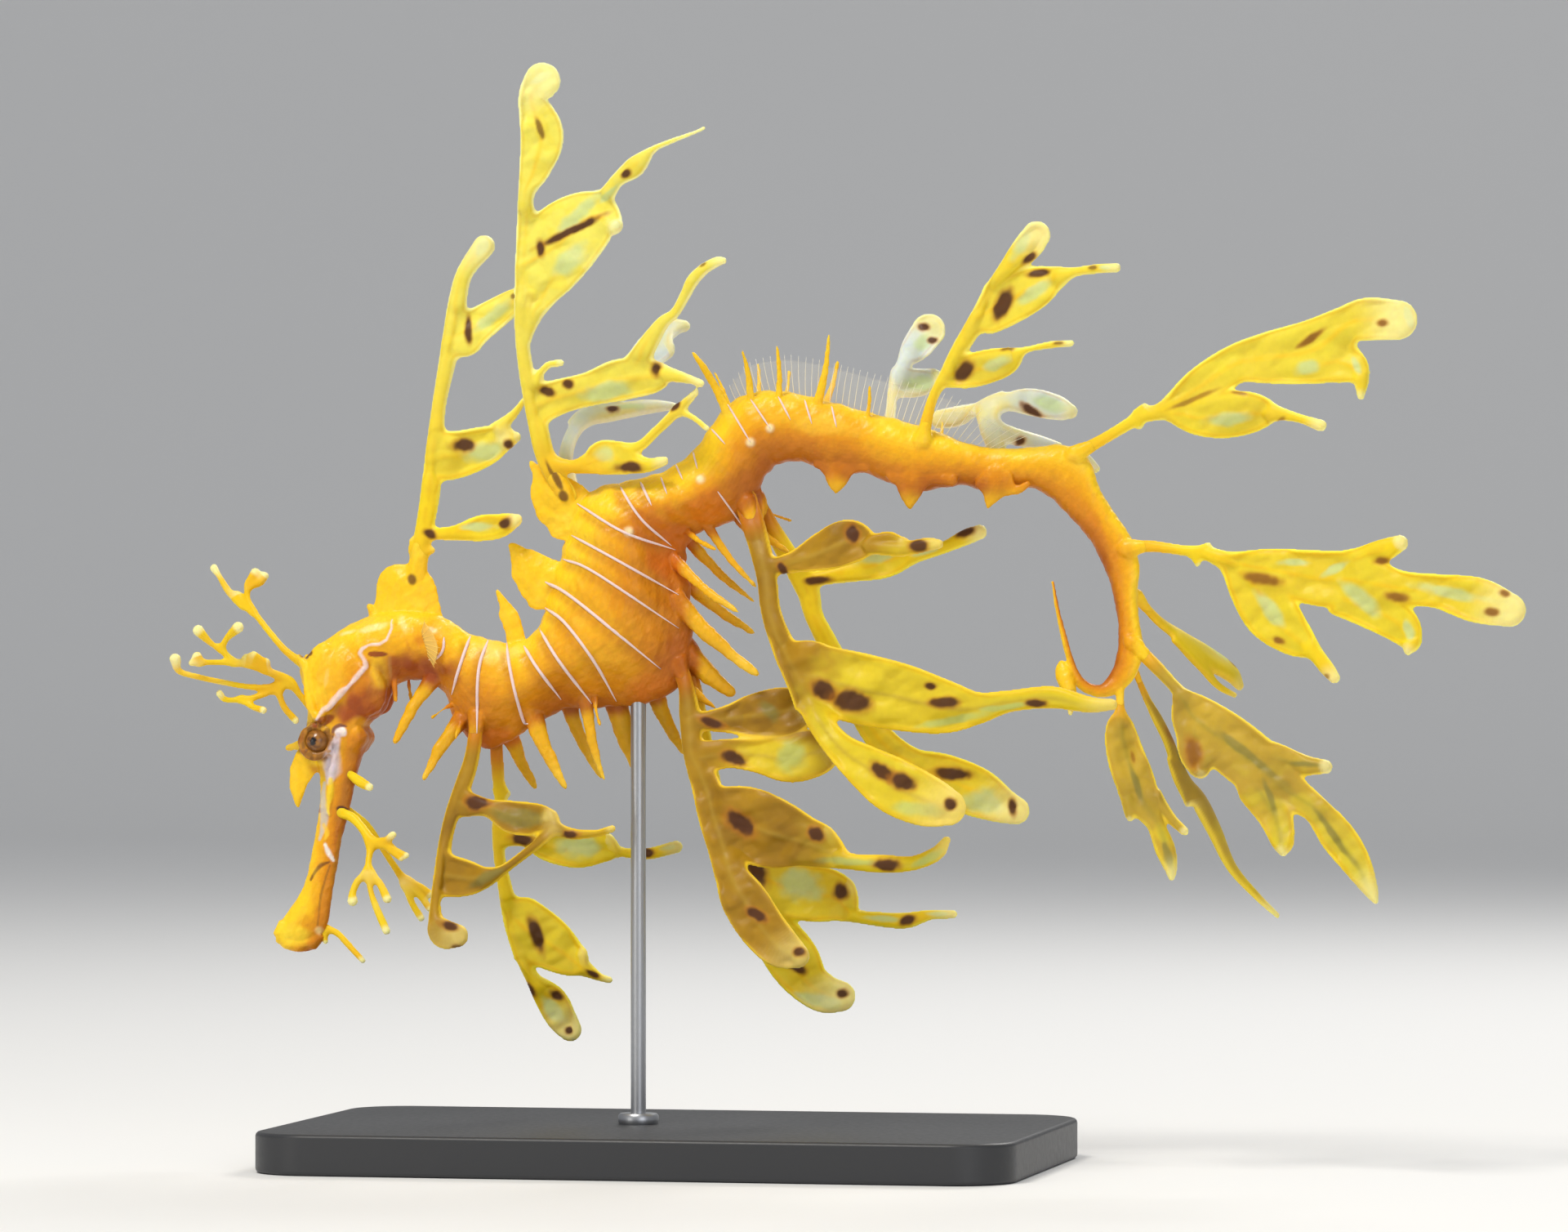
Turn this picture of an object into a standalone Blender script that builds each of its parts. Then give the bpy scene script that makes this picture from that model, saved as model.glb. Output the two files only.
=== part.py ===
"""A leafy seadragon, Phycodurus eques, life size, on a plain display stand.

Metres, +Z up. The animal faces -X and its left side faces -Y. The origin is the
middle of the stand's underside.
"""

import math

import bmesh
import bpy
import numpy as np
from mathutils import Matrix, Vector
from mathutils.geometry import delaunay_2d_cdt

# ---------------------------------------------------------------- drawing board
# The animal is laid out on a side elevation: u runs from the snout's side to the
# tail, v runs downwards, and y is the sideways offset in millimetres, negative on
# the animal's left. One board unit is UNIT metres.  The elevation is drawn from
# ELEVATION_TURN off square, so that both leaves of a pair show.
UNIT = 0.00016
ELEVATION_TURN = math.radians(12.0)
U_STAND, V_FLOOR = 822.0, 1428.0
COS_T, SIN_T = math.cos(ELEVATION_TURN), math.sin(ELEVATION_TURN)


def place(u, v, y):
    """Board (u, v) and sideways offset y in millimetres, as points in metres."""
    u, v, y = (np.asarray(a, float) for a in (u, v, y))
    y = y * 0.001
    x = ((u - U_STAND) * UNIT - y * SIN_T) / COS_T
    z = (V_FLOOR - v) * UNIT
    return np.stack(np.broadcast_arrays(x, y, z), axis=-1)


def smooth(t):
    t = np.clip(t, 0.0, 1.0)
    return t * t * (3 - 2 * t)


def spline(values, q):
    """Catmull-Rom through evenly spaced rows of values, at q from 0 to len-1."""
    p = np.asarray(values, float)
    if p.ndim == 1:
        return spline(p[:, None], q)[:, 0]
    if len(p) == 2:
        q = np.asarray(q, float)[:, None]
        return p[0] * (1 - q) + p[1] * q
    e = np.vstack([2 * p[0] - p[1], p, 2 * p[-1] - p[-2]])
    i = np.clip(np.floor(q).astype(int), 0, len(p) - 2)
    t = (np.asarray(q, float) - i)[:, None]
    a, b, c, d = e[i], e[i + 1], e[i + 2], e[i + 3]
    return 0.5 * (2 * b + (c - a) * t + (2 * a - 5 * b + 4 * c - d) * t ** 2
                  + (3 * b - a - 3 * c + d) * t ** 3)


# ---------------------------------------------------------------- the body
# Each row is a ring of the bony armour: its dorsal edge, its ventral edge, its
# half width and its sideways offset in millimetres. From NECK on, each row is
# one ring of plates.
RINGS = [
    # snout, from the mouth up
    ((338, 1161), (371, 1164), 5, -4.6), ((330, 1151), (386, 1151), 10, -4.6),
    ((334, 1136), (396, 1134), 13, -4.5), ((350, 1115), (400, 1112), 12, -4.3),
    ((366, 1085), (405, 1080), 11, -4.0), ((376, 1046), (411, 1042), 11, -3.6),
    ((383, 1003), (421, 1000), 12, -3.1), ((386, 967), (430, 962), 15, -2.7),
    # head, over the eye to the nape
    ((382, 942), (443, 930), 21, -2.4), ((371, 916), (455, 897), 28, -2.1),
    ((369, 886), (466, 874), 31, -1.8), ((368, 850), (473, 859), 33, -1.5),
    ((361, 812), (480, 843), 34, -1.2), ((399, 779), (487, 837), 35, -0.9),
    ((440, 757), (502, 833), 35, -0.6), ((485, 747), (522, 836), 33, -0.3),
    ((530, 752), (541, 850), 33, 0.0),
    # neck
    ((572, 776), (554, 884), 35, 0.0), ((596, 783), (580, 914), 38, 0.0),
    ((620, 787), (612, 914), 41, 0.0), ((641, 783), (650, 890), 44, 0.0),
    # trunk
    ((657, 768), (692, 869), 48, 0.0), ((666, 744), (738, 867), 52, 0.0),
    ((673, 714), (824, 849), 57, 0.0), ((684, 684), (847, 787), 60, 0.0),
    ((692, 654), (846, 740), 60, 0.0), ((700, 620), (841, 697), 57, 0.0),
    ((727, 598), (841, 670), 53, 0.0), ((756, 590), (850, 656), 49, 0.0),
    ((786, 584), (866, 648), 45, 0.0), ((812, 576), (888, 642), 42, 0.0),
    ((838, 561), (910, 628), 40, 0.0), ((858, 540), (926, 604), 38, 0.0),
    # tail, along the arch
    ((874, 515), (938, 583), 36, 0.0), ((893, 494), (949, 570), 35, 0.0),
    ((921, 481), (964, 565), 34, 0.0), ((953, 479), (983, 566), 33, 0.1),
    ((984, 484), (1004, 573), 32, 0.2), ((1016, 492), (1030, 580), 31, 0.3),
    ((1048, 501), (1060, 580), 30, 0.5), ((1080, 510), (1090, 592), 29, 0.7),
    ((1112, 518), (1120, 602), 28, 0.9), ((1145, 528), (1150, 598), 27, 1.1),
    ((1176, 541), (1180, 595), 25, 1.3), ((1208, 549), (1208, 602), 23, 1.5),
    ((1240, 550), (1238, 599), 22, 1.6), ((1272, 548), (1264, 599), 21, 1.6),
    ((1302, 546), (1287, 612), 20, 1.5),
    # tail, down the bend and into the curl
    ((1329, 561), (1303, 629), 19, 1.3), ((1343, 598), (1318, 645), 18, 1.0),
    ((1362, 630), (1334, 665), 17, 0.6), ((1382, 661), (1346, 690), 16, 0.2),
    ((1391, 694), (1356, 714), 15, -0.3), ((1388, 728), (1361, 738), 14, -0.9),
    ((1391, 762), (1365, 764), 13, -1.5), ((1395, 794), (1365, 790), 12, -2.2),
    ((1388, 822), (1360, 812), 11, -3.0), ((1372, 842), (1351, 829), 9, -3.8),
    ((1350, 852), (1342, 837), 8, -4.6), ((1328, 849), (1330, 835), 7, -5.2),
    ((1311, 836), (1320, 826), 6, -5.6), ((1303, 812), (1311, 808), 5, -5.9),
    ((1295, 780), (1302, 778), 4.5, -6.1), ((1288, 745), (1293, 744), 3.5, -6.2),
    ((1283, 712), (1287, 711), 2.2, -6.2),
]
HEAD, NECK, TRUNK, TAIL, CURL = 8, 16, 21, 33, 48
RING_ROWS = np.array([[*d, *v, w, y] for d, v, w, y in RINGS], float)
LEAST_HALF = 1.7  # board units: nothing on the body is thinner than about 0.5 mm


def body_frame(q):
    """At ring numbers q: centre (u, v), dorsal direction, half depth, half width, y."""
    r = spline(RING_ROWS, q)
    d, v = r[:, 0:2], r[:, 2:4]
    c, n = (d + v) / 2, d - v
    h = np.linalg.norm(n, axis=1) / 2
    n = n / (2 * h[:, None])
    return c, n, np.maximum(h, LEAST_HALF), np.maximum(r[:, 4], LEAST_HALF), r[:, 5]


def keel(q):
    """How far the section narrows towards its ventral edge, by region."""
    return np.interp(q, [0, HEAD, 12, NECK, TRUNK, 25, 31, TAIL + 2, CURL, 64],
                     [0.0, 0.10, 0.25, 0.45, 0.55, 0.62, 0.45, 0.15, 0.0, 0.0])


def section(q, phi, grow=0.0):
    """Points of the body's surface at rings q (n) and angles phi (m): (n, m, 3).
    phi is 0 at the dorsal edge and pi at the ventral one. grow is in board units."""
    c, n, h, w, y = body_frame(q)
    a, b = np.cos(phi)[None, :], np.sin(phi)[None, :]
    k = keel(q)[:, None]
    square = np.interp(q, [0, HEAD, TRUNK, TAIL, CURL, 64], [1, 1, .9, .8, .8, 1])[:, None]
    wide = np.sign(b) * np.abs(b) ** square * (1 - k * smooth((0.15 - a) / 1.15))
    along = a * (h[:, None] + grow)
    side = wide * (w[:, None] + grow)
    u = c[:, 0:1] + n[:, 0:1] * along
    v = c[:, 1:2] + n[:, 1:2] * along
    return place(u, v, y[:, None] + side * UNIT * 1000)


# ---------------------------------------------------------------- spines and plates
# Spine: base (u, v), tip (u, v), width at the base, sideways offset at base and tip.
THROAT_SPINES = [
    ((530, 832), (480, 911), 23, -3.0, -6.5), ((485, 830), (481, 860), 8, -2.0, -3.5),
    ((499, 828), (499, 860), 8, 2.0, 3.5), ((563, 882), (516, 956), 24, -3.5, -7.0),
    ((552, 868), (526, 880), 7, -3.5, -6.5), ((563, 890), (556, 906), 9, -4.5, -6.5),
]
BELLY_SPINES = [
    ((618, 905), (653, 968), 25, 3.0, 8.0), ((652, 880), (693, 966), 26, -3.0, -6.0),
    ((694, 862), (735, 955), 23, 3.5, 7.0), ((720, 860), (740, 956), 19, -3.0, -5.0),
    ((727, 850), (735, 888), 9, -5.5, -7.5), ((755, 852), (788, 962), 33, 3.0, 6.0),
    ((812, 848), (839, 926), 27, 4.0, 8.0),
]
RUMP_SPINES = [
    ((838, 738), (929, 826), 27, -3.0, -6.0), ((832, 700), (924, 776), 22, 3.0, 8.5),
    ((838, 690), (905, 750), 18, -3.5, -9.5), ((852, 664), (924, 737), 18, 3.0, 8.0),
    ((872, 645), (926, 719), 15, -1.5, -2.6), ((848, 655), (877, 673), 10, -5.5, -8.5),
    ((842, 792), (899, 851), 40, 0.6, 1.2), ((838, 830), (877, 868), 19, 0.6, 1.2),
    ((915, 640), (967, 677), 20, 0.0, 1.0), ((930, 628), (970, 637), 8, 4.5, 8.0),
]
BACK_SPINES = [
    ((888, 504), (848, 431), 15, -3.0, -5.0), ((892, 506), (874, 453), 9, 3.0, 5.0),
    ((919, 494), (909, 429), 12, -3.0, -5.0), ((927, 492), (928, 443), 9, 3.0, 5.0),
    ((953, 492), (951, 424), 10, -3.0, -5.0), ((961, 492), (966, 452), 9, 3.0, 5.0),
    ((999, 500), (1015, 410), 13, -2.8, -5.0), ((1008, 500), (1026, 441), 11, 2.8, 5.0),
    ((1061, 514), (1064, 473), 8, -2.6, -4.5), ((1150, 540), (1154, 516), 7, 2.6, 4.5),
]
FACE_SPINES = [((368, 915), (341, 919), 19, 2.0, 3.2), ((456, 760), (446, 742), 9, 0.0, 0.0)]
SPINES = THROAT_SPINES + BELLY_SPINES + RUMP_SPINES + BACK_SPINES + FACE_SPINES


def lobe(path, w, out=0.0, twist=0.0, bow=0.0):
    """A blade along path, a smooth curve through (u, v) points from root to tip. w are
    its full widths at even steps, out is how far its tip goes sideways in mm from
    its root, twist tilts it across its width, and bow bends a straight path to the
    right of its way."""
    return dict(path=[tuple(map(float, p)) for p in path], w=w, out=out, twist=twist, bow=bow)



def depth_place(u, v, lowest=7.6):
    """The ring number through a board point, and its place from 1 (dorsal) to -1 (ventral)."""
    q = np.linspace(lowest, len(RINGS) - 1, 1400)
    c, n, h, _, _ = body_frame(q)
    d = np.array([u, v]) - c
    a = (d * n).sum(axis=1) / h
    gap = np.hypot(d[:, 0] - np.clip(a, -1, 1) * h * n[:, 0], d[:, 1] - np.clip(a, -1, 1) * h * n[:, 1])
    i = int(np.argmin(gap))
    return q[i], float(a[i])


def half_width_at(q, a):
    """Half width of the section in millimetres, at ring q and place a."""
    phi = np.array([math.acos(max(-1.0, min(1.0, a)))])
    c = body_frame(np.array([q]))
    p = section(np.array([q]), phi)[0, 0]
    return float(p[1] * 1000 - c[4][0])


def seated(spine, deepest=0.72):
    """The spine with its base moved just inside the body."""
    (u, v), tip, w, y0, y1 = spine
    q, a = depth_place(u, v)
    a = max(-deepest, min(deepest, a))
    c, n, h, _, y = body_frame(np.array([q]))
    u, v = (float(t) for t in c[0] + n[0] * a * h[0])
    room = half_width_at(q, a) * 0.72
    side = max(-room, min(room, y0))
    return (u, v), tip, w, side + float(y[0]), y1 + float(y[0])


# Plates: flat bony crests that stand on the body's midline or ridges: y and thickness in mm.
def crest(pairs):
    """A plate's outline between two edges: each row is (u, v) of one edge and (u, v) of the other."""
    return lobe([((a + c) / 2, (b + d) / 2) for a, b, c, d in pairs],
                [math.hypot(a - c, b - d) for a, b, c, d in pairs])


PLATES = {
    "nape": (0.0, 3.2, [crest([(456, 776, 542, 782), (455, 742, 535, 746), (455, 722, 530, 735), (464, 706, 504, 714)]),
                        lobe([(484, 724), (477, 713)], (44, 40)), lobe([(502, 738), (504, 706), (508, 678)], (54, 23, 19)),
                        lobe([(452, 752), (446, 741)], (12, 6))]),
    "saddle_low": (-1.5, 2.6, [crest([(664, 744, 690, 690), (645, 736, 676, 683), (630, 706, 660, 678), (622, 676, 638, 672),
                                      (620, 668, 628, 666)]),
                               lobe([(668, 730), (650, 741)], (30, 9)), lobe([(650, 706), (630, 704)], (26, 10))]),
    "saddle_high": (-2.5, 3.4, [crest([(690, 656, 724, 606), (676, 640, 706, 588), (661, 622, 684, 578), (656, 580, 672, 572)]),
                                lobe([(672, 586), (654, 574), (649, 565)], (24, 12, 6)),
                                lobe([(690, 636), (668, 628), (661, 612)], (36, 26, 12)),
                                lobe([(700, 646), (680, 650)], (34, 18))]),
    "neck_fang": (0.0, 2.0, [crest([(619, 792, 643, 790), (613, 757, 633, 756), (606, 732, 617, 736), (604, 724, 609, 724)]),
                             lobe([(622, 762), (611, 752)], (12, 6))]),
    "hip": (0.0, 5.6, [lobe([(900, 596), (912, 616), (920, 640)], (60, 54, 44, 28))]),
    "keel_1": (-2.2, 1.8, [lobe([(1026, 568), (1025, 587), (1023, 602)], (42, 26, 6)),
                           lobe([(1003, 567), (1058, 571)], (16, 16))]),
    "keel_2": (-2.2, 1.8, [lobe([(1116, 584), (1114, 604), (1114, 622)], (44, 26, 5)),
                           lobe([(1093, 583), (1164, 588)], (16, 16))]),
    "keel_3": (-2.0, 1.8, [lobe([(1219, 590), (1213, 606), (1208, 621)], (40, 22, 6)),
                           lobe([(1199, 593), (1240, 601), (1256, 594)], (14, 12, 8))]),
    "cheek_blade": (-2.2, 1.5, [crest([(356, 926, 394, 930), (347, 942, 380, 946), (347, 960, 370, 962), (352, 979, 363, 980),
                                       (356, 990, 359, 990)])]),
}

# ---------------------------------------------------------------- leaves
# A leaf is a stem and its blades, each a ribbon or a lobe as above. root is the
# sideways offset of the stem's foot in millimetres. A blade's foot takes the stem's
# offset. spots are dark marks and panels are clear greenish windows: centre, length,
# width, angle in degrees. tone says how the leaf is lit from within.
def ribbon(pairs, out=0.0, twist=0.0):
    """A blade between two edges: each row is (u, v) of one edge and (u, v) of the other."""
    path = [((a + c) / 2, (b + d) / 2) for a, b, c, d in pairs]
    made = lobe(path, [math.hypot(a - c, b - d) for a, b, c, d in pairs], out, twist)
    a, b, c, d = pairs[0]
    across = np.array([d - b, a - c], float) / max(math.hypot(a - c, b - d), 1e-9)
    made["away"] = across * (1.0 if across @ (np.array(path[1]) - path[0]) > 0 else -1.0)
    return made


LEAVES = {
    "leaf_nape": dict(root=0.0, tone="sun", lobes=[
        ribbon([(490, 716, 516, 712), (499, 672, 521, 672), (508, 620, 532, 622), (517, 550, 541, 550),
                (524, 500, 542, 500), (532, 450, 551, 458), (540, 400, 564, 408), (546, 362, 569, 366),
                (556, 329, 577, 333), (579, 291, 602, 306)], out=-3.0),
        ribbon([(556, 374, 548, 446), (578, 375, 572, 424), (604, 363, 600, 402), (628, 350, 630, 380),
                (642, 350, 644, 366)], out=1.5, twist=.2),
        ribbon([(530, 526, 528, 590), (560, 525, 558, 583), (590, 520, 590, 569), (608, 518, 612, 552)],
               out=1.0, twist=-.2),
        ribbon([(604, 514, 612, 530), (624, 500, 631, 508), (638, 484, 643, 488)], out=0.4),
        ribbon([(606, 530, 612, 550), (628, 527, 630, 540)], out=0.4),
        ribbon([(520, 646, 522, 660), (553, 642, 554, 661), (584, 630, 588, 662), (610, 628, 610, 658),
                (630, 628, 631, 644)], out=-5.0),
        lobe([(508, 676), (525, 673)], (12, 8)), lobe([(502, 672), (499, 661)], (12, 5))],
        spots=[(571, 401, 34, 9, 88), (564, 543, 30, 15, 0), (621, 541, 13, 11, 60), (525, 652, 18, 11, 20),
               (621, 639, 16, 13, -40), (628, 362, 7, 6, 0), (500, 711, 13, 11, 80)],
        panels=[(600, 385, 60, 16, -38), (590, 550, 60, 26, -10), (585, 643, 50, 14, 0), (590, 300, 26, 12, -60)]),
    "leaf_shoulder_left": dict(root=-4.5, tone="sun", lobes=[
        ribbon([(682, 612, 704, 600), (657, 566, 680, 558), (644, 510, 668, 512), (634, 455, 653, 452),
                (629, 400, 647, 400), (630, 340, 651, 345), (632, 280, 656, 280), (634, 238, 655, 238),
                (636, 203, 677, 203), (637, 165, 691, 165), (635, 122, 669, 120), (644, 91, 685, 111)], out=-9.0),
        ribbon([(643, 262, 636, 384), (672, 256, 678, 357), (700, 239, 711, 325), (727, 238, 733, 298),
                (750, 266, 754, 290)], out=-6.0, twist=.2),
        lobe([(645, 412), (657, 378), (676, 344), (700, 306)], (11, 24, 44, 56), out=-4.0),
        ribbon([(702, 244, 708, 262), (733, 236, 743, 254), (752, 216, 763, 230), (772, 197, 786, 218),
                (798, 184, 803, 192), (820, 176, 823, 182), (850, 167, 852, 171), (862, 162, 864, 166)], out=-9.0),
        ribbon([(648, 470, 656, 522), (684, 463, 690, 506), (720, 455, 725, 497), (757, 440, 764, 491),
                (794, 442, 800, 483), (815, 450, 820, 470), (845, 461, 846, 472), (858, 467, 860, 476)],
               out=-9.0, twist=-.2),
        ribbon([(766, 442, 796, 448), (786, 414, 806, 426), (806, 392, 819, 402), (822, 382, 833, 388),
                (834, 361, 846, 367), (843, 342, 855, 352), (858, 328, 868, 338), (876, 319, 880, 331),
                (885, 319, 887, 328)], out=-6.0, twist=.2),
        lobe([(655, 468), (662, 455), (672, 446), (686, 444)], (16, 10, 9, 9), out=-2.0),
        ribbon([(668, 556, 672, 576), (700, 562, 702, 579), (722, 552, 726, 580), (740, 538, 742, 581),
                (760, 546, 762, 581), (790, 560, 792, 579), (812, 559, 814, 571)], out=-4.0),
        ribbon([(752, 545, 766, 557), (778, 542, 788, 551), (800, 524, 808, 533), (825, 500, 836, 507),
                (849, 480, 855, 486)], out=-6.0),
        lobe([(830, 503), (850, 513), (866, 526)], (9, 7, 7), out=-2.0)],
        spots=[(702, 283, 84, 9, -24), (663, 304, 22, 11, 80), (772, 215, 13, 9, -40), (669, 478, 22, 12, 15),
               (697, 470, 14, 11, 0), (806, 453, 19, 15, 80), (773, 572, 36, 13, 0), (829, 498, 16, 8, -40),
               (690, 606, 15, 12, 60), (677, 578, 34, 6, 62), (662, 158, 26, 7, 70), (864, 328, 9, 5, -25)],
        panels=[(712, 262, 70, 20, -40), (700, 318, 60, 26, -42), (748, 240, 40, 9, -42), (663, 97, 28, 14, -30),
                (745, 478, 70, 24, -10), (757, 280, 12, 8, 0), (740, 556, 30, 20, 0)]),
    "leaf_shoulder_right": dict(root=4.5, tone="pale", lobes=[
        ribbon([(680, 592, 706, 590), (682, 556, 700, 556), (691, 526, 707, 532), (708, 502, 719, 518),
                (745, 490, 748, 512), (785, 485, 788, 503), (818, 487, 819, 498), (836, 495, 837, 501)],
               out=22.0, twist=1.0),
        ribbon([(694, 510, 708, 524), (735, 472, 752, 490), (760, 434, 786, 454), (777, 408, 812, 432),
                (801, 388, 817, 411), (821, 381, 827, 400), (834, 382, 836, 396)], out=30.0, twist=.7),
        ribbon([(796, 412, 800, 440), (806, 410, 816, 432)], out=3.0)],
        spots=[(745, 503, 16, 8, 0)], panels=[(790, 420, 46, 20, -45), (760, 500, 50, 8, -4)]),
    "leaf_belly_left": dict(root=-3.5, tone="shade", lobes=[
        ribbon([(575, 872, 592, 870), (567, 925, 586, 925), (556, 958, 577, 960), (545, 990, 562, 997),
                (536, 1030, 553, 1030), (531, 1065, 550, 1068), (527, 1100, 540, 1103), (525, 1130, 544, 1124),
                (538, 1159, 549, 1125), (560, 1159, 560, 1130)], out=-13.0),
        ribbon([(570, 968, 556, 1000), (598, 978, 596, 1001), (630, 980, 626, 1020), (660, 983, 655, 1022),
                (675, 989, 671, 1015)], out=-7.0, twist=.3),
        ribbon([(544, 1044, 536, 1098), (572, 1052, 565, 1097), (598, 1061, 590, 1086), (620, 1057, 616, 1069),
                (645, 1036, 652, 1045), (668, 1020, 674, 1028), (679, 1013, 683, 1018)], out=-9.0),
        ribbon([(668, 1000, 672, 1014), (700, 1012, 702, 1026), (730, 1014, 732, 1023), (748, 1009, 754, 1016)],
               out=-3.0)],
        spots=[(588, 985, 32, 15, 8), (553, 1133, 22, 11, 10), (561, 1157, 11, 7, 0), (701, 1020, 24, 10, 0)],
        panels=[(600, 1072, 56, 12, -30), (640, 1002, 70, 26, 4)]),
    "leaf_belly_right": dict(root=3.5, tone="sun", lobes=[
        ribbon([(594, 892, 611, 892), (598, 950, 614, 950), (601, 984, 616, 982), (598, 1018, 614, 1015),
                (599, 1050, 614, 1050), (604, 1090, 622, 1088), (612, 1140, 634, 1132), (624, 1176, 643, 1172),
                (638, 1207, 656, 1204), (651, 1238, 688, 1226), (665, 1262, 700, 1248), (681, 1278, 705, 1262)],
               out=15.0),
        lobe([(607, 968), (617, 974)], (12, 9), out=1.0),
        ribbon([(604, 1012, 612, 1040), (640, 1018, 638, 1041), (670, 1020, 668, 1059), (705, 1020, 702, 1067),
                (734, 1024, 735, 1060), (756, 1040, 757, 1054), (790, 1042, 790, 1057), (825, 1033, 827, 1049)],
               out=11.0, twist=-.2),
        ribbon([(722, 1024, 724, 1050), (738, 1024, 740, 1042)]),
        ribbon([(615, 1094, 627, 1160), (640, 1109, 645, 1182), (665, 1128, 668, 1193), (690, 1154, 690, 1201),
                (708, 1178, 708, 1202), (730, 1197, 728, 1208), (744, 1203, 741, 1211)], out=6.0, twist=.25),
        ribbon([(692, 1164, 692, 1186), (705, 1167, 706, 1184)])],
        spots=[(636, 1030, 30, 13, 5), (789, 1047, 20, 12, 0), (652, 1150, 48, 15, 72), (721, 1199, 20, 8, 25),
               (645, 1217, 22, 9, 62), (677, 1226, 17, 12, 30), (692, 1271, 13, 11, 30)],
        panels=[(705, 1040, 60, 30, 0), (815, 1041, 26, 9, -8), (672, 1245, 44, 20, 55)]),
    "leaf_rump_left": dict(root=-1.3, tone="shade", lobes=[
        ribbon([(817, 808, 838, 804), (830, 842, 850, 840), (832, 880, 858, 876), (837, 925, 862, 920), (847, 965, 882, 957),
                (856, 1004, 896, 1000), (866, 1036, 905, 1030), (876, 1070, 918, 1072), (884, 1104, 940, 1094),
                (906, 1138, 962, 1126), (932, 1164, 978, 1144), (963, 1172, 989, 1157)], out=-17.5),
        ribbon([(848, 874, 852, 894), (893, 863, 890, 897), (925, 849, 925, 902), (955, 841, 960, 901),
                (982, 844, 984, 888)], out=1.0, twist=.2),
        ribbon([(852, 908, 862, 946), (892, 904, 896, 940), (930, 904, 930, 946), (965, 900, 968, 957),
                (993, 893, 998, 950), (1012, 902, 1015, 936)], out=0.5, twist=.2),
        ribbon([(862, 966, 886, 1040), (905, 961, 915, 1050), (940, 973, 945, 1061), (975, 993, 980, 1058),
                (1004, 1009, 1005, 1060), (1035, 1039, 1036, 1061), (1080, 1042, 1080, 1065),
                (1115, 1043, 1118, 1061), (1140, 1032, 1148, 1048), (1152, 1021, 1160, 1027)], out=-8.0, twist=-.2),
        ribbon([(992, 1008, 994, 1040), (1008, 1010, 1009, 1030)])],
        spots=[(873, 886, 34, 12, 20), (898, 928, 34, 17, 20), (908, 1006, 42, 25, 35), (999, 1018, 20, 17, 30),
               (1087, 1053, 32, 15, 3), (928, 1116, 28, 14, 22), (979, 1160, 15, 11, 0)],
        panels=[(942, 870, 30, 20, 50), (970, 925, 40, 40, 0), (1135, 1045, 40, 12, -30), (1040, 1050, 80, 9, 0)]),
    "leaf_rump_right": dict(root=1.3, tone="sun", lobes=[
        ribbon([(828, 806, 846, 800), (842, 844, 858, 838), (852, 890, 868, 888), (862, 950, 880, 946), (872, 1010, 894, 1004),
                (885, 1060, 915, 1050), (900, 1110, 945, 1098), (918, 1150, 975, 1136), (938, 1185, 1002, 1169),
                (964, 1217, 1012, 1192), (992, 1237, 1027, 1204), (1018, 1240, 1040, 1208)], out=15.5),
        ribbon([(890, 1044, 888, 1075), (925, 1048, 930, 1098), (960, 1058, 965, 1124), (995, 1061, 998, 1131),
                (1022, 1072, 1022, 1130), (1045, 1112, 1046, 1132), (1085, 1119, 1085, 1138),
                (1112, 1119, 1112, 1139), (1140, 1116, 1140, 1129), (1168, 1116, 1168, 1127)], out=8.0, twist=.2),
        ribbon([(1015, 1070, 1012, 1100), (1036, 1079, 1036, 1098)])],
        spots=[(925, 1062, 52, 22, 62), (1030, 1094, 20, 18, 80), (1113, 1130, 22, 12, -20), (973, 1185, 32, 14, 30),
               (1032, 1220, 14, 11, 0)],
        panels=[(980, 1085, 60, 44, 20), (1000, 1228, 70, 20, 8), (1080, 1128, 50, 9, 4), (1150, 1122, 30, 7, 0)]),
    "leaf_hip_left": dict(root=-1.9, tone="shade", lobes=[
        ribbon([(898, 606, 926, 616), (912, 645, 938, 656), (926, 705, 951, 703), (932, 750, 957, 750), (945, 795, 974, 788),
                (956, 822, 990, 812), (972, 855, 1004, 845), (990, 890, 1020, 880), (1012, 922, 1045, 905),
                (1042, 957, 1078, 917), (1075, 987, 1112, 930), (1115, 1003, 1143, 947), (1145, 1002, 1167, 964)],
               out=-25.0),
        ribbon([(940, 686, 946, 704), (975, 672, 980, 701), (1010, 649, 1015, 698), (1038, 637, 1044, 690),
                (1064, 660, 1068, 680), (1100, 664, 1104, 682), (1132, 659, 1134, 676), (1146, 661, 1148, 673)],
               out=-4.0, twist=.2),
        ribbon([(1058, 660, 1064, 670), (1085, 651, 1086, 665), (1104, 658, 1104, 668)]),
        ribbon([(958, 776, 978, 868), (1005, 789, 1010, 872), (1050, 798, 1050, 885), (1100, 811, 1100, 893),
                (1150, 830, 1150, 896), (1190, 845, 1192, 885), (1230, 843, 1232, 870), (1280, 838, 1282, 865),
                (1325, 850, 1325, 870), (1352, 853, 1352, 867)], out=-9.0, twist=-.15)],
        spots=[(960, 697, 18, 11, 60), (1044, 654, 24, 18, 70), (1125, 670, 24, 15, -10), (1010, 844, 34, 24, 25),
               (1042, 857, 46, 27, 10), (1138, 838, 14, 9, 20), (1154, 858, 36, 13, -2), (1265, 858, 26, 10, 0),
               (1080, 942, 34, 19, 28), (1104, 953, 32, 20, 15), (1160, 979, 14, 14, 0)],
        panels=[(1160, 880, 90, 12, -12), (1230, 862, 70, 8, -8), (1120, 985, 70, 18, 5)]),
    "leaf_hip_right": dict(root=1.9, tone="sun", lobes=[
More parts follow.
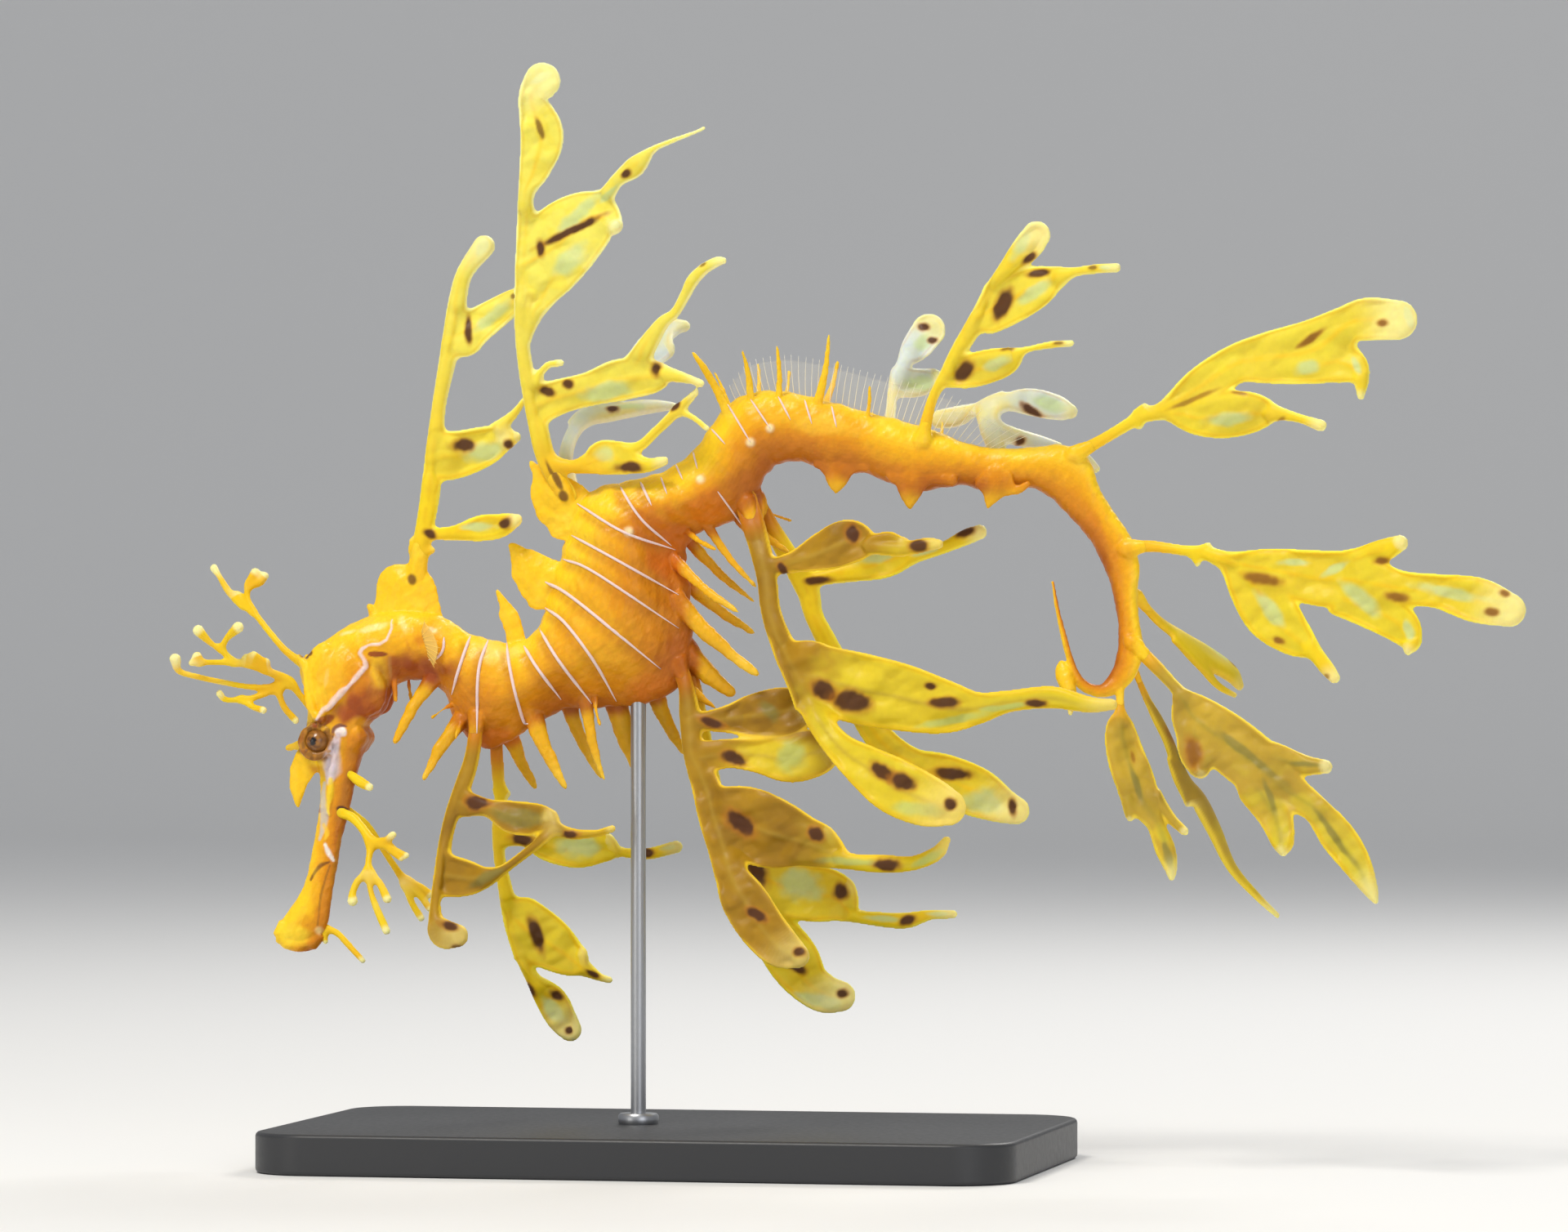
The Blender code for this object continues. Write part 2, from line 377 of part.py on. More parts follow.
        ribbon([(914, 602, 932, 612), (932, 634, 950, 646), (953, 668, 972, 684), (974, 718, 1002, 722), (985, 755, 1008, 750),
                (1002, 792, 1026, 784), (1023, 838, 1050, 828), (1044, 880, 1079, 880), (1066, 914, 1102, 908),
                (1100, 948, 1136, 926), (1140, 980, 1172, 928), (1182, 998, 1210, 943), (1216, 1005, 1242, 970),
                (1234, 1006, 1258, 982)], out=18.0),
        ribbon([(972, 702, 982, 722), (1010, 696, 1012, 716), (1045, 686, 1050, 712), (1080, 669, 1088, 707),
                (1115, 668, 1122, 690), (1150, 664, 1156, 678), (1180, 648, 1186, 667), (1198, 642, 1202, 660)],
               out=6.0, twist=.2)],
        spots=[(1002, 710, 34, 10, 0), (1183, 653, 24, 13, -20), (1167, 948, 46, 15, 4), (1242, 989, 22, 10, 85)],
        panels=[(1075, 683, 60, 15, -12), (1208, 984, 58, 34, 10), (1135, 677, 40, 8, -18)]),
    "leaf_back_left": dict(root=-2.6, tone="sun", lobes=[
        ribbon([(1118, 544, 1136, 546), (1134, 490, 1146, 494), (1150, 456, 1165, 462), (1163, 428, 1181, 436),
                (1182, 395, 1202, 404), (1202, 358, 1222, 366), (1220, 330, 1240, 338), (1238, 301, 1268, 319),
                (1249, 288, 1280, 301)], out=-9.0),
        ribbon([(1206, 366, 1190, 416), (1235, 347, 1222, 403), (1262, 333, 1255, 386), (1283, 332, 1284, 364),
                (1308, 334, 1308, 347), (1335, 331, 1335, 343), (1358, 330, 1359, 342)], out=-8.0, twist=.2),
        ribbon([(1166, 444, 1154, 476), (1190, 437, 1178, 477), (1210, 431, 1206, 472), (1228, 429, 1230, 462),
                (1250, 429, 1252, 438), (1280, 423, 1281, 432), (1304, 422, 1306, 430)], out=-9.0, twist=-.2)],
        spots=[(1226, 377, 40, 19, -64), (1268, 341, 28, 10, -6), (1257, 322, 20, 10, -35), (1333, 336, 11, 6, 0),
               (1180, 457, 30, 18, -52), (1231, 432, 18, 6, -8), (1292, 425, 13, 5, 0)],
        panels=[(1248, 305, 40, 18, -58), (1262, 364, 50, 18, -35), (1218, 448, 34, 16, -25), (1348, 336, 16, 7, 0)]),
    "leaf_back_right_front": dict(root=2.6, tone="pale", lobes=[
        ribbon([(1082, 520, 1096, 520), (1089, 470, 1101, 474), (1100, 437, 1116, 446), (1108, 413, 1138, 433),
                (1119, 394, 1157, 411)], out=11.0, twist=.4),
        ribbon([(1096, 450, 1095, 486), (1120, 450, 1122, 486), (1144, 449, 1140, 478)], out=7.0, twist=.3)],
        spots=[(1133, 399, 15, 11, 0), (1143, 416, 13, 9, 0)], panels=[(1125, 470, 40, 24, 0), (1130, 420, 30, 20, -40)]),
    "leaf_back_right_rear": dict(root=2.6, tone="pale", lobes=[
        ribbon([(1212, 560, 1234, 558), (1199, 522, 1224, 526), (1200, 497, 1226, 508), (1225, 483, 1238, 502),
                (1262, 475, 1262, 509), (1293, 482, 1291, 514), (1313, 494, 1310, 512)], out=13.0, twist=.4),
        ribbon([(1214, 512, 1210, 534), (1240, 523, 1240, 545), (1275, 533, 1275, 550), (1298, 541, 1298, 549)],
               out=9.0),
        lobe([(1226, 484), (1200, 495), (1176, 508), (1152, 512)], (9, 8, 25, 24), out=4.0)],
        spots=[(1246, 540, 12, 14, 20), (1262, 503, 30, 9, 25)], panels=[(1285, 496, 44, 18, 18), (1240, 520, 40, 10, 30)]),
    "leaf_tail_top": dict(root=-1.4, tone="sun", lobes=[
        ribbon([(1304, 554, 1318, 566), (1350, 530, 1355, 543), (1390, 505, 1396, 521), (1420, 492, 1424, 516),
                (1458, 454, 1470, 500), (1500, 427, 1510, 474), (1545, 411, 1552, 475), (1592, 398, 1600, 472),
                (1628, 383, 1638, 430), (1658, 373, 1660, 425), (1688, 377, 1697, 424)], out=-10.0),
        lobe([(1388, 508), (1396, 500)], (10, 7)), lobe([(1388, 516), (1391, 525)], (9, 6)),
        ribbon([(1596, 436, 1592, 474), (1625, 424, 1620, 475), (1648, 438, 1634, 474), (1658, 464, 1643, 478),
                (1655, 490, 1646, 492)], out=-2.0, twist=.2),
        ribbon([(1424, 498, 1428, 518), (1460, 494, 1455, 535), (1490, 484, 1490, 540), (1520, 485, 1522, 534),
                (1548, 500, 1550, 521), (1575, 511, 1577, 522), (1601, 519, 1604, 533)], out=-8.0, twist=-.3)],
        spots=[(1455, 493, 60, 7, -23), (1592, 421, 36, 8, -35), (1676, 404, 14, 9, 0), (1558, 519, 14, 6, -40),
               (1508, 487, 20, 5, 10)],
        panels=[(1495, 516, 56, 18, -8), (1588, 456, 30, 18, -10), (1647, 456, 26, 9, 70), (1706, 398, 30, 10, 75)]),
    "leaf_tail_top_right": dict(root=1.3, tone="pale", lobes=[
        lobe([(1314, 554), (1330, 562), (1341, 574)], (8, 10, 11), out=9.0, twist=.8)], spots=[], panels=[]),
    "leaf_tail_upper_left": dict(root=-1.6, tone="sun", lobes=[
        ribbon([(1372, 664, 1372, 684), (1400, 662, 1400, 677), (1440, 668, 1440, 681), (1470, 671, 1474, 688),
                (1500, 676, 1500, 704), (1545, 673, 1545, 724), (1600, 675, 1598, 742), (1645, 678, 1643, 745),
                (1688, 699, 1696, 742), (1735, 704, 1740, 745), (1780, 708, 1785, 762), (1822, 727, 1816, 767)],
               out=-17.0),
        lobe([(1462, 677), (1472, 668)], (10, 6)), lobe([(1456, 682), (1459, 691)], (9, 7)),
        ribbon([(1636, 676, 1640, 700), (1668, 664, 1678, 690), (1691, 658, 1699, 676)], out=-2.0, twist=.2),
        ribbon([(1626, 708, 1616, 752), (1660, 720, 1650, 766), (1699, 738, 1682, 782), (1716, 770, 1698, 792),
                (1709, 794, 1700, 798)], out=-3.0, twist=-.2),
        ribbon([(1486, 694, 1520, 692), (1497, 728, 1562, 712), (1515, 760, 1578, 745), (1550, 788, 1592, 769),
                (1584, 800, 1604, 793), (1603, 822, 1618, 813), (1613, 832, 1624, 824)], out=-6.0, twist=-.3)],
        spots=[(1535, 709, 46, 13, 12), (1675, 688, 20, 10, -12), (1692, 731, 26, 11, 12), (1555, 783, 14, 9, 20),
               (1800, 749, 17, 10, 10), (1815, 728, 13, 8, 10), (1612, 826, 8, 7, 0)],
        panels=[(1545, 745, 56, 20, 55), (1652, 733, 64, 22, 42), (1622, 697, 40, 11, -28), (1752, 726, 90, 16, 12),
                (1706, 770, 30, 11, 70), (1574, 690, 44, 10, 2)]),
    "leaf_tail_upper_right": dict(root=1.2, tone="shade", lobes=[
        ribbon([(1382, 722, 1388, 734), (1418, 755, 1411, 763), (1448, 774, 1440, 786), (1480, 793, 1467, 812),
                (1510, 815, 1500, 831), (1522, 836, 1516, 844)], out=20.0, twist=2.2),
        lobe([(1436, 784), (1467, 815), (1490, 839), (1511, 851)], (9, 9, 8, 6), out=11.0, twist=2.0)],
        spots=[(1505, 815, 16, 6, 45)], panels=[(1480, 798, 60, 8, 40)]),
    "leaf_tail_lower_left": dict(root=-3.4, tone="dusk", lobes=[
        ribbon([(1384, 778, 1376, 792), (1410, 804, 1401, 818), (1438, 835, 1428, 847), (1452, 845, 1434, 868),
                (1480, 858, 1440, 905), (1512, 877, 1475, 935), (1548, 907, 1510, 963), (1578, 945, 1556, 984),
                (1605, 971, 1588, 1000), (1635, 1001, 1608, 1034), (1655, 1035, 1629, 1060), (1667, 1075, 1650, 1084),
                (1668, 1091, 1661, 1095)], out=-13.0),
        ribbon([(1540, 905, 1552, 940), (1580, 920, 1585, 945), (1607, 926, 1609, 943)], out=-2.0, twist=.2),
        ribbon([(1498, 948, 1548, 958), (1526, 990, 1568, 990), (1542, 1020, 1571, 1022), (1551, 1035, 1563, 1036)],
               out=-4.0, twist=-.2),
        ribbon([(1440, 876, 1468, 878), (1434, 905, 1480, 915), (1446, 934, 1474, 936), (1458, 943, 1468, 941)],
               out=-3.0)],
        spots=[(1453, 919, 38, 20, 78)],
        panels=[(1520, 922, 110, 11, 38), (1620, 1020, 90, 9, 55), (1545, 975, 50, 9, 70), (1585, 933, 46, 7, 4)]),
    "leaf_tail_lower_right": dict(root=0.0, tone="dusk", lobes=[
        ribbon([(1384, 808, 1378, 811), (1402, 848, 1394, 852), (1418, 875, 1408, 882), (1433, 905, 1422, 910),
                (1450, 945, 1437, 955), (1472, 973, 1458, 985), (1492, 1012, 1478, 1020), (1512, 1058, 1502, 1064),
                (1542, 1094, 1536, 1100), (1566, 1118, 1562, 1123)], out=20.0, twist=1.7),
        lobe([(1434, 930), (1444, 958), (1451, 983)], (14, 14, 7), out=3.0, twist=1.0)],
        spots=[(1425, 900, 30, 6, 60)], panels=[(1440, 930, 40, 6, 65)]),
    "leaf_tail_curl": dict(root=-4.2, tone="dusk", lobes=[
        ribbon([(1362, 834, 1370, 833), (1360, 868, 1373, 868), (1348, 893, 1385, 893), (1350, 925, 1397, 925),
                (1361, 958, 1409, 955), (1378, 985, 1413, 980), (1396, 1006, 1418, 1003), (1406, 1035, 1431, 1032),
                (1417, 1058, 1433, 1055), (1422, 1069, 1430, 1068)], out=-7.0, twist=.5),
        ribbon([(1366, 960, 1390, 968), (1369, 988, 1384, 988), (1373, 998, 1381, 998)], out=-1.0),
        ribbon([(1398, 972, 1416, 968), (1420, 1000, 1431, 993), (1437, 1015, 1447, 1011)], out=-2.0)],
        spots=[(1381, 925, 14, 5, 75)], panels=[(1385, 960, 50, 9, 72), (1420, 1045, 44, 10, 75)]),
    "leaf_tail_end": dict(root=-7.2, tone="dusk", lobes=[
        ribbon([(1290, 818, 1306, 820), (1294, 838, 1313, 842), (1299, 858, 1313, 856), (1303, 872, 1308, 872)],
               out=-3.0, twist=.5)],
        spots=[(1303, 848, 12, 7, 80)], panels=[]),
}

# Threads of skin: the same kind of table, thin and round, with knobs at the tips.
THREADS = {
    "brow_threads_right": dict(root=3.2, tone="thread", lobes=[
        lobe([(366, 816), (340, 797), (318, 773), (298, 750), (280, 738), (264, 722), (252, 704), (245, 694)],
             (13, 9, 8, 8, 9, 9, 7, 10), out=9.0),
        lobe([(284, 740), (277, 728)], (7, 10), out=1.0),
        lobe([(297, 748), (290, 730), (291, 714), (299, 700)], (7, 6, 9, 12), out=2.0),
        lobe([(292, 716), (304, 712), (311, 704)], (8, 11, 10), out=1.0)], spots=[], panels=[]),
    "brow_threads_left": dict(root=-7.0, tone="thread", lobes=[
        lobe([(380, 874), (362, 852), (348, 834), (316, 820), (290, 813), (260, 811), (230, 812)],
             (11, 8, 12, 9, 8, 7, 7), out=-9.0),
        lobe([(282, 811), (268, 797), (254, 788), (238, 772)], (7, 7, 7, 14), out=-2.0),
        lobe([(266, 794), (274, 781), (288, 768)], (7, 8, 14), out=-2.0),
        lobe([(320, 818), (311, 806), (306, 802)], (8, 8, 9), out=-1.5), lobe([(310, 808), (296, 805)], (6, 8)),
        lobe([(314, 811), (322, 810)], (6, 7)), lobe([(240, 811), (237, 804)], (7, 12)),
        lobe([(348, 838), (322, 842), (296, 841), (268, 836), (240, 830), (214, 822), (209, 807)],
             (10, 8, 7, 7, 7, 8, 14), out=-7.0),
        lobe([(336, 842), (312, 853), (288, 857), (270, 857), (263, 850)], (8, 7, 7, 7, 9), out=-3.0),
        lobe([(290, 857), (304, 866), (318, 870)], (7, 7, 9), out=-2.0),
        lobe([(334, 843), (342, 866), (356, 883)], (8, 8, 9), out=2.0)], spots=[], panels=[]),
    "snout_threads_left": dict(root=-5.2, tone="thread", lobes=[
        lobe([(412, 997), (427, 1003), (440, 1016), (453, 1032), (468, 1032), (479, 1023)],
             (13, 12, 11, 14, 10, 9), out=-5.0),
        lobe([(466, 1034), (480, 1042), (496, 1048)], (9, 8, 7), out=-1.0),
        lobe([(478, 1042), (489, 1053)], (8, 5), out=-1.0),
        lobe([(451, 1034), (449, 1054), (449, 1070)], (11, 8, 12), out=-3.0),
        lobe([(447, 1070), (436, 1080), (430, 1094), (430, 1104)], (9, 9, 9, 13), out=-2.0),
        lobe([(451, 1070), (463, 1082), (473, 1101)], (9, 9, 11), out=-2.0),
        lobe([(450, 1072), (452, 1092), (460, 1114), (472, 1140)], (9, 7, 9, 10), out=-2.0)], spots=[], panels=[]),
    "snout_threads_right": dict(root=-1.6, tone="thread", lobes=[
        lobe([(418, 992), (444, 1013), (466, 1048), (480, 1070), (490, 1085)], (9, 8, 8, 9, 12), out=7.0),
        lobe([(492, 1082), (508, 1089), (521, 1099)], (9, 7, 9), out=1.0),
        lobe([(493, 1087), (508, 1102), (520, 1117)], (9, 7, 9), out=1.0),
        lobe([(490, 1088), (497, 1109), (509, 1129)], (9, 8, 9), out=1.0)], spots=[], panels=[]),
    "chin_thread": dict(root=-4.4, tone="thread", lobes=[
        lobe([(390, 1138), (408, 1146), (421, 1159), (440, 1179)], (9, 8, 8, 7), out=-1.5),
        lobe([(391, 1142), (393, 1156)], (9, 7))], spots=[], panels=[]),
    "throat_lobe": dict(root=-5.0, tone="thread", lobes=[
        lobe([(422, 948), (436, 958), (449, 965)], (9, 13, 10), out=-2.0)], spots=[], panels=[]),
}
for _leaf in list(LEAVES.values()) + list(THREADS.values()):
    for _branch in _leaf["lobes"][1:]:
        _branch["foot"] = True


# ---------------------------------------------------------------- fields of lobes
def lobe_samples(lb, n_per=8):
    """The lobe's smooth path, its half widths and its place along, from 0 to 1."""
    p = np.array(lb["path"], float)
    n = (len(p) - 1) * n_per + 1
    c = spline(p, np.linspace(0, len(p) - 1, n)) if len(p) > 2 else p[0] + (p[1] - p[0]) * np.linspace(0, 1, n)[:, None]
    step = np.linalg.norm(np.diff(c, axis=0), axis=1)
    t = np.concatenate([[0], np.cumsum(step)]) / step.sum()
    w = np.array(lb["w"], float)
    r = spline(w, np.linspace(0, len(w) - 1, n)) / 2 if len(w) > 2 else np.linspace(w[0], w[-1], n) / 2
    if lb.get("foot"):  # a branch flares from inside its stem
        r = np.minimum(r, 9.0 + 1.7 * t * step.sum())
    return c, np.maximum(r, LEAST_HALF), t, step.sum()


def lobe_field(P, lb):
    """For points P (n, 2): signed distance to the lobe, place along it, signed offset."""
    c, r, t, _ = lobe_samples(lb)
    best = np.full(len(P), 1e9)
    along = np.zeros(len(P))
    off = np.zeros(len(P))
    for i in range(len(c) - 1):
        e = c[i + 1] - c[i]
        ll = e @ e
        if ll < 1e-9:
            continue
        d = P - c[i]
        s = np.clip((d @ e) / ll, 0, 1)
        g = np.hypot(d[:, 0] - s * e[0], d[:, 1] - s * e[1])
        f = g - (r[i] + s * (r[i + 1] - r[i]))
        hit = f < best
        best[hit] = f[hit]
        along[hit] = (t[i] + s * (t[i + 1] - t[i]))[hit]
        off[hit] = ((d[:, 0] * e[1] - d[:, 1] * e[0]) / math.sqrt(ll))[hit]
    if lb.get("foot"):  # and stops at its stem's middle
        e = c[min(6, len(c) - 1)] - c[0]
        e = lb["away"] if "away" in lb else e / np.linalg.norm(e)
        best = np.maximum(best, -4.0 - (P - c[0]) @ e)
    return best, along, off


def smooth_min(fields, k):
    """The least of the fields, with its inside corners filled to about k units."""
    low = fields[0]
    for f in fields[1:]:
        low = np.minimum(low, f) - k / 4 * np.clip(1 - np.abs(low - f) / k, 0, 1) ** 2
    return low


def leaf_depth_starts(leaf):
    """Each lobe's own sideways offset at its foot: it takes it from what it grows from."""
    starts = [leaf["root"]]
    for i, lb in enumerate(leaf["lobes"][1:], 1):
        foot = np.array([lb["path"][0]], float)
        best, y = 1e9, leaf["root"]
        for j in range(i):
            f, a, o = lobe_field(foot, leaf["lobes"][j])
            if f[0] < best:
                best, y = f[0], starts[j] + lobe_rise(leaf["lobes"][j], a, o)[0]
        starts.append(y)
    return starts


def lobe_rise(lb, along, off):
    half = max(lb["w"]) / 2
    return lb["out"] * along ** 1.15 + lb["twist"] * np.clip(off, -half, half) * UNIT * 1000 * smooth(along * 3)


def leaf_fields(leaf, P, blend=None):
    """At points P: the leaf's signed distance and its sideways offset in millimetres,
    and each lobe's distance, place along and offset."""
    parts = [lobe_field(P, lb) for lb in leaf["lobes"]]
    f = smooth_min([p[0] for p in parts], leaf.get("blend", 8.0) if blend is None else blend)
    starts = leaf_depth_starts(leaf)
    d = np.array([p[0] for p in parts])
    w = np.exp(-(d - d.min(axis=0)) / 6.0)
    y = np.array([s + lobe_rise(lb, p[1], p[2]) for s, lb, p in zip(starts, leaf["lobes"], parts)])
    return f, (w * y).sum(axis=0) / w.sum(axis=0), parts, w


def cell_polygons(leaf, step, grow=0.0):
    """Marching squares over the leaf: (points, polygons) in board units."""
    paths = np.vstack([lb["path"] for lb in leaf["lobes"]])
    pad = max(max(lb["w"]) for lb in leaf["lobes"]) / 2 + 8 + grow
    lo, hi = paths.min(axis=0) - pad, paths.max(axis=0) + pad
    nx, ny = (np.ceil((hi - lo) / step).astype(int) + 1)
    gx, gy = lo[0] + step * np.arange(nx), lo[1] + step * np.arange(ny)
    P = np.stack(np.meshgrid(gx, gy, indexing="ij"), -1).reshape(-1, 2)
    F = (leaf_fields(leaf, P)[0] - grow).reshape(nx, ny)
    F = np.where(np.abs(F) < 0.12 * step, -0.12 * step, F)
    inside = F < 0
    points, polygons, index = [], [], {}

    def corner(i, j):
        key = (i, j)
        if key not in index:
            index[key] = len(points)
            points.append((gx[i], gy[j]))
        return index[key]

    def crossing(a, b):
        key = (a, b) if a < b else (b, a)
        if key not in index:
            (i, j), (k, l) = key
            t = F[i, j] / (F[i, j] - F[k, l])
            index[key] = len(points)
            points.append((gx[i] + t * (gx[k] - gx[i]), gy[j] + t * (gy[l] - gy[j])))
        return index[key]

    some = inside[:-1, :-1] | inside[1:, :-1] | inside[:-1, 1:] | inside[1:, 1:]
    for i, j in zip(*np.nonzero(some)):
        ring = [(i, j), (i + 1, j), (i + 1, j + 1), (i, j + 1)]
        poly = []
        for a, b in zip(ring, ring[1:] + ring[:1]):
            if inside[a]:
                poly.append(corner(*a))
            if inside[a] != inside[b]:
                poly.append(crossing(a, b))
        if len(poly) > 2:
            polygons.append(poly)
    return np.array(points), polygons


def outline(polygons):
    """The longest closed loop of edges used by one polygon."""
    used = {}
    for poly in polygons:
        for a, b in zip(poly, poly[1:] + poly[:1]):
            used[(a, b)] = True
    nxt = {}
    for a, b in used:
        if (b, a) not in used:
            nxt[a] = b
    loops = []
    while nxt:
        a = next(iter(nxt))
        loop = []
        while a in nxt:
            loop.append(a)
            a = nxt.pop(a)
        loops.append(loop)
    return max(loops, key=len)


def simplify(loop, tol):
    """Douglas-Peucker on a closed loop of points."""
    P = np.asarray(loop)
    far = int(np.argmax(np.linalg.norm(P - P[0], axis=1)))

    def thin(a, b):
        seg = P[a:b + 1]
        e = seg[-1] - seg[0]
        n = np.linalg.norm(e)
        d = np.abs((seg - seg[0]) @ np.array([e[1], -e[0]])) / n if n > 1e-9 else np.linalg.norm(seg - seg[0], axis=1)
        k = int(np.argmax(d))
        return [a] if d[k] < tol or b - a < 2 else thin(a, a + k) + thin(a + k, b)

    P = np.vstack([P, P[:1]])
    keep = thin(0, far) + thin(far, len(P) - 1)
    return P[keep]


LEAF_ROOT_PLATE = {"leaf_nape": "nape", "leaf_shoulder_left": "saddle_high", "leaf_shoulder_right": "saddle_high",
                   "leaf_hip_left": "hip", "leaf_hip_right": "hip"}


def seat_roots():
    """Moves each stem's foot sideways until it starts inside what it grows from."""
    for name, leaf in list(LEAVES.items()) + list(THREADS.items()):
        u, v = leaf["lobes"][0]["path"][0]
        plate = LEAF_ROOT_PLATE.get(name)
        if plate:
            mid, room = PLATES[plate][0], PLATES[plate][1] / 2 - 0.25
        else:
            q, a = depth_place(u, v, 0.3)
            mid, room = float(body_frame(np.array([q]))[4][0]), half_width_at(q, max(-.97, min(.97, a))) - 0.35
        old = leaf["root"]
        leaf["root"] = mid + max(-room, min(room, old - mid))
        leaf["lobes"][0]["out"] += old - leaf["root"]


seat_roots()

# ---------------------------------------------------------------- solids
GAP = 1.9  # board units: about 0.3 mm between one solid and the next
LEAF_THICK = 0.0009
SKIN_COLOURS = {
    "skin": (0.86, 0.55, 0.05, 1), "leaf": (0.80, 0.68, 0.12, 1), "thread": (0.75, 0.58, 0.12, 1),
    "eye": (0.10, 0.05, 0.02, 1), "fin": (0.85, 0.80, 0.62, 1), "stand": (0.06, 0.06, 0.065, 1),
    "rod": (0.62, 0.63, 0.65, 1),
}


def collection(name, shown=True):
    c = bpy.data.collections.new(name)
    bpy.context.scene.collection.children.link(c)
    c.hide_render = not shown
    return c


helpers = {}


def add(name, points, polygons, kind, home=None):
    mesh = bpy.data.meshes.new(name)
    mesh.from_pydata([tuple(map(float, p)) for p in points], [], [tuple(map(int, p)) for p in polygons])
    bm = bmesh.new()
    bm.from_mesh(mesh)
    bmesh.ops.recalc_face_normals(bm, faces=bm.faces)
    bm.to_mesh(mesh)
    bm.free()
    obj = bpy.data.objects.new(name, mesh)
    if home is None:
        material = bpy.data.materials.new("mat_" + name)
        material.use_nodes = True
        shader = material.node_tree.nodes["Principled BSDF"]
        shader.inputs["Base Color"].default_value = SKIN_COLOURS[kind]
        shader.inputs["Roughness"].default_value = 0.45
        mesh.materials.append(material)
        home = collection(name)
    else:
        obj.hide_render = True
        obj.display_type = "WIRE"
    home.objects.link(obj)
    return obj


def helper_home(name):
    if name not in helpers:
        helpers[name] = collection(name, shown=False)
    return helpers[name]


def boolean(obj, operation, other, name):
    m = obj.modifiers.new(name, "BOOLEAN")
    m.operation, m.solver = operation, "EXACT"
    if isinstance(other, bpy.types.Collection):
        m.operand_type, m.collection = "COLLECTION", other
    else:
        m.object = other
    return m


def loft(rings, closed_ends=True):
    """Rings (n, m, 3) as one closed body with flat ends."""
    n, m = rings.shape[:2]
    faces = []
    for i in range(n - 1):
        for j in range(m):
            k = (j + 1) % m
            faces.append((i * m + j, i * m + k, (i + 1) * m + k, (i + 1) * m + j))
    faces.append(tuple(range(m)))
    faces.append(tuple((n - 1) * m + j for j in range(m)))
    return rings.reshape(-1, 3), faces


def body_rings(q0, q1, sides, grow=0.0, per_ring=1):
    inner = [q for q in np.arange(math.ceil(q0 * per_ring) , math.floor(q1 * per_ring) + 1) / per_ring
             if q0 + 0.25 < q < q1 - 0.25]
    q = np.array([q0] + inner + [q1])
    phi = np.linspace(0, 2 * math.pi, sides, endpoint=False)
    return section(q, phi, grow)


def ring_pitch(q):
    c = body_frame(np.array([max(q - .5, 0), min(q + .5, len(RINGS) - 1)]))[0]
    return np.linalg.norm(c[1] - c[0])


def spine_solid(name, spine, home, sides=5):
    """A blunt thorn, flattened from side to side."""
    (u0, v0), (u1, v1), w, y0, y1 = spine
    a, b = Vector(place(u0, v0, y0)), Vector(place(u1, v1, y1))
    axis = (b - a).normalized()
    flat = axis.cross(Vector((0, 1, 0))).normalized()
    side = flat.cross(axis)
    rings = []
    for t, r in ((0.0, w / 2 * UNIT), (0.86, max(w * 0.22 * UNIT, 0.00028)), (1.0, 0.00026)):
        at = a + (b - a) * t
        rings.append([tuple(at + flat * (r * math.cos(2 * math.pi * j / sides))
                            + side * (max(0.62 * r, 0.00026) * math.sin(2 * math.pi * j / sides))) for j in range(sides)])
    return add(name, *loft(np.array(rings)), "skin", home)


def flat_leaf(leaf, step, tol, grow=0.0, inner_step=46.0):
    """Outline of a leaf thinned to tol, filled with triangles: (board points, triangles)."""
    pts, polys = cell_polygons(leaf, step, grow)
    edge = simplify(pts[outline(polys)], tol)
    seeds = []
    for lb in leaf["lobes"]:
        c, r, t, length = lobe_samples(lb)
        for s in np.arange(0.5, max(length / inner_step, 1.0)) / max(length / inner_step, 1.0):
            p = c[int(round(s * (len(c) - 1)))]
            if all(np.linalg.norm(p - q) > 12 for q in seeds) and np.linalg.norm(edge - p, axis=1).min() > 5.5:
                seeds.append(p)
    if seeds and grow == 0.0:
        seeds = [s for s, f in zip(seeds, leaf_fields(leaf, np.array(seeds))[0]) if f < -4.5]
    else:
        seeds = []
    verts = [Vector(p) for p in edge] + [Vector(p) for p in seeds]
    n = len(edge)
    out = delaunay_2d_cdt(verts, [], [list(range(n))], 1, 1e-4)
    return np.array([tuple(p) for p in out[0]]), out[2]


def sheet(name, leaf, kind, thick, step=2.5, tol=2.2, home=None, grow=0.0):
    P, tris = flat_leaf(leaf, step, tol, grow)
    y = leaf_fields(leaf, P)[1]
    obj = add(name, place(P[:, 0], P[:, 1], y), tris, kind, home)
    m = obj.modifiers.new("thickness", "SOLIDIFY")
    m.thickness, m.offset = thick, 0.0
    m.use_rim = True
    return obj


for old in list(bpy.data.objects):
    bpy.data.objects.remove(old, do_unlink=True)

SEGMENTS = [
    ("snout", 0.0, 7.5), ("head", 7.5, 16.6), ("neck", 16.6, 20.5), ("trunk_front", 20.5, 27.0),
    ("trunk_rear", 27.0, 33.0), ("tail_base", 33.0, 39.55), ("tail_middle", 39.55, 43.1),
    ("tail_rear", 43.1, 46.5), ("tail_bend", 46.5, 53.4), ("tail_tip", 53.4, 64.0)]
PLATE_HOME = {"nape": "head", "saddle_low": "trunk_front", "saddle_high": "trunk_front", "neck_fang": "neck",
              "hip": "trunk_rear", "keel_1": "tail_base", "keel_2": "tail_middle", "keel_3": "tail_rear",
              "cheek_blade": "head"}
SIDES = 12


def plate_leaf(name):
    y, thick, lobes = PLATES[name]
    return dict(root=y, lobes=lobes)


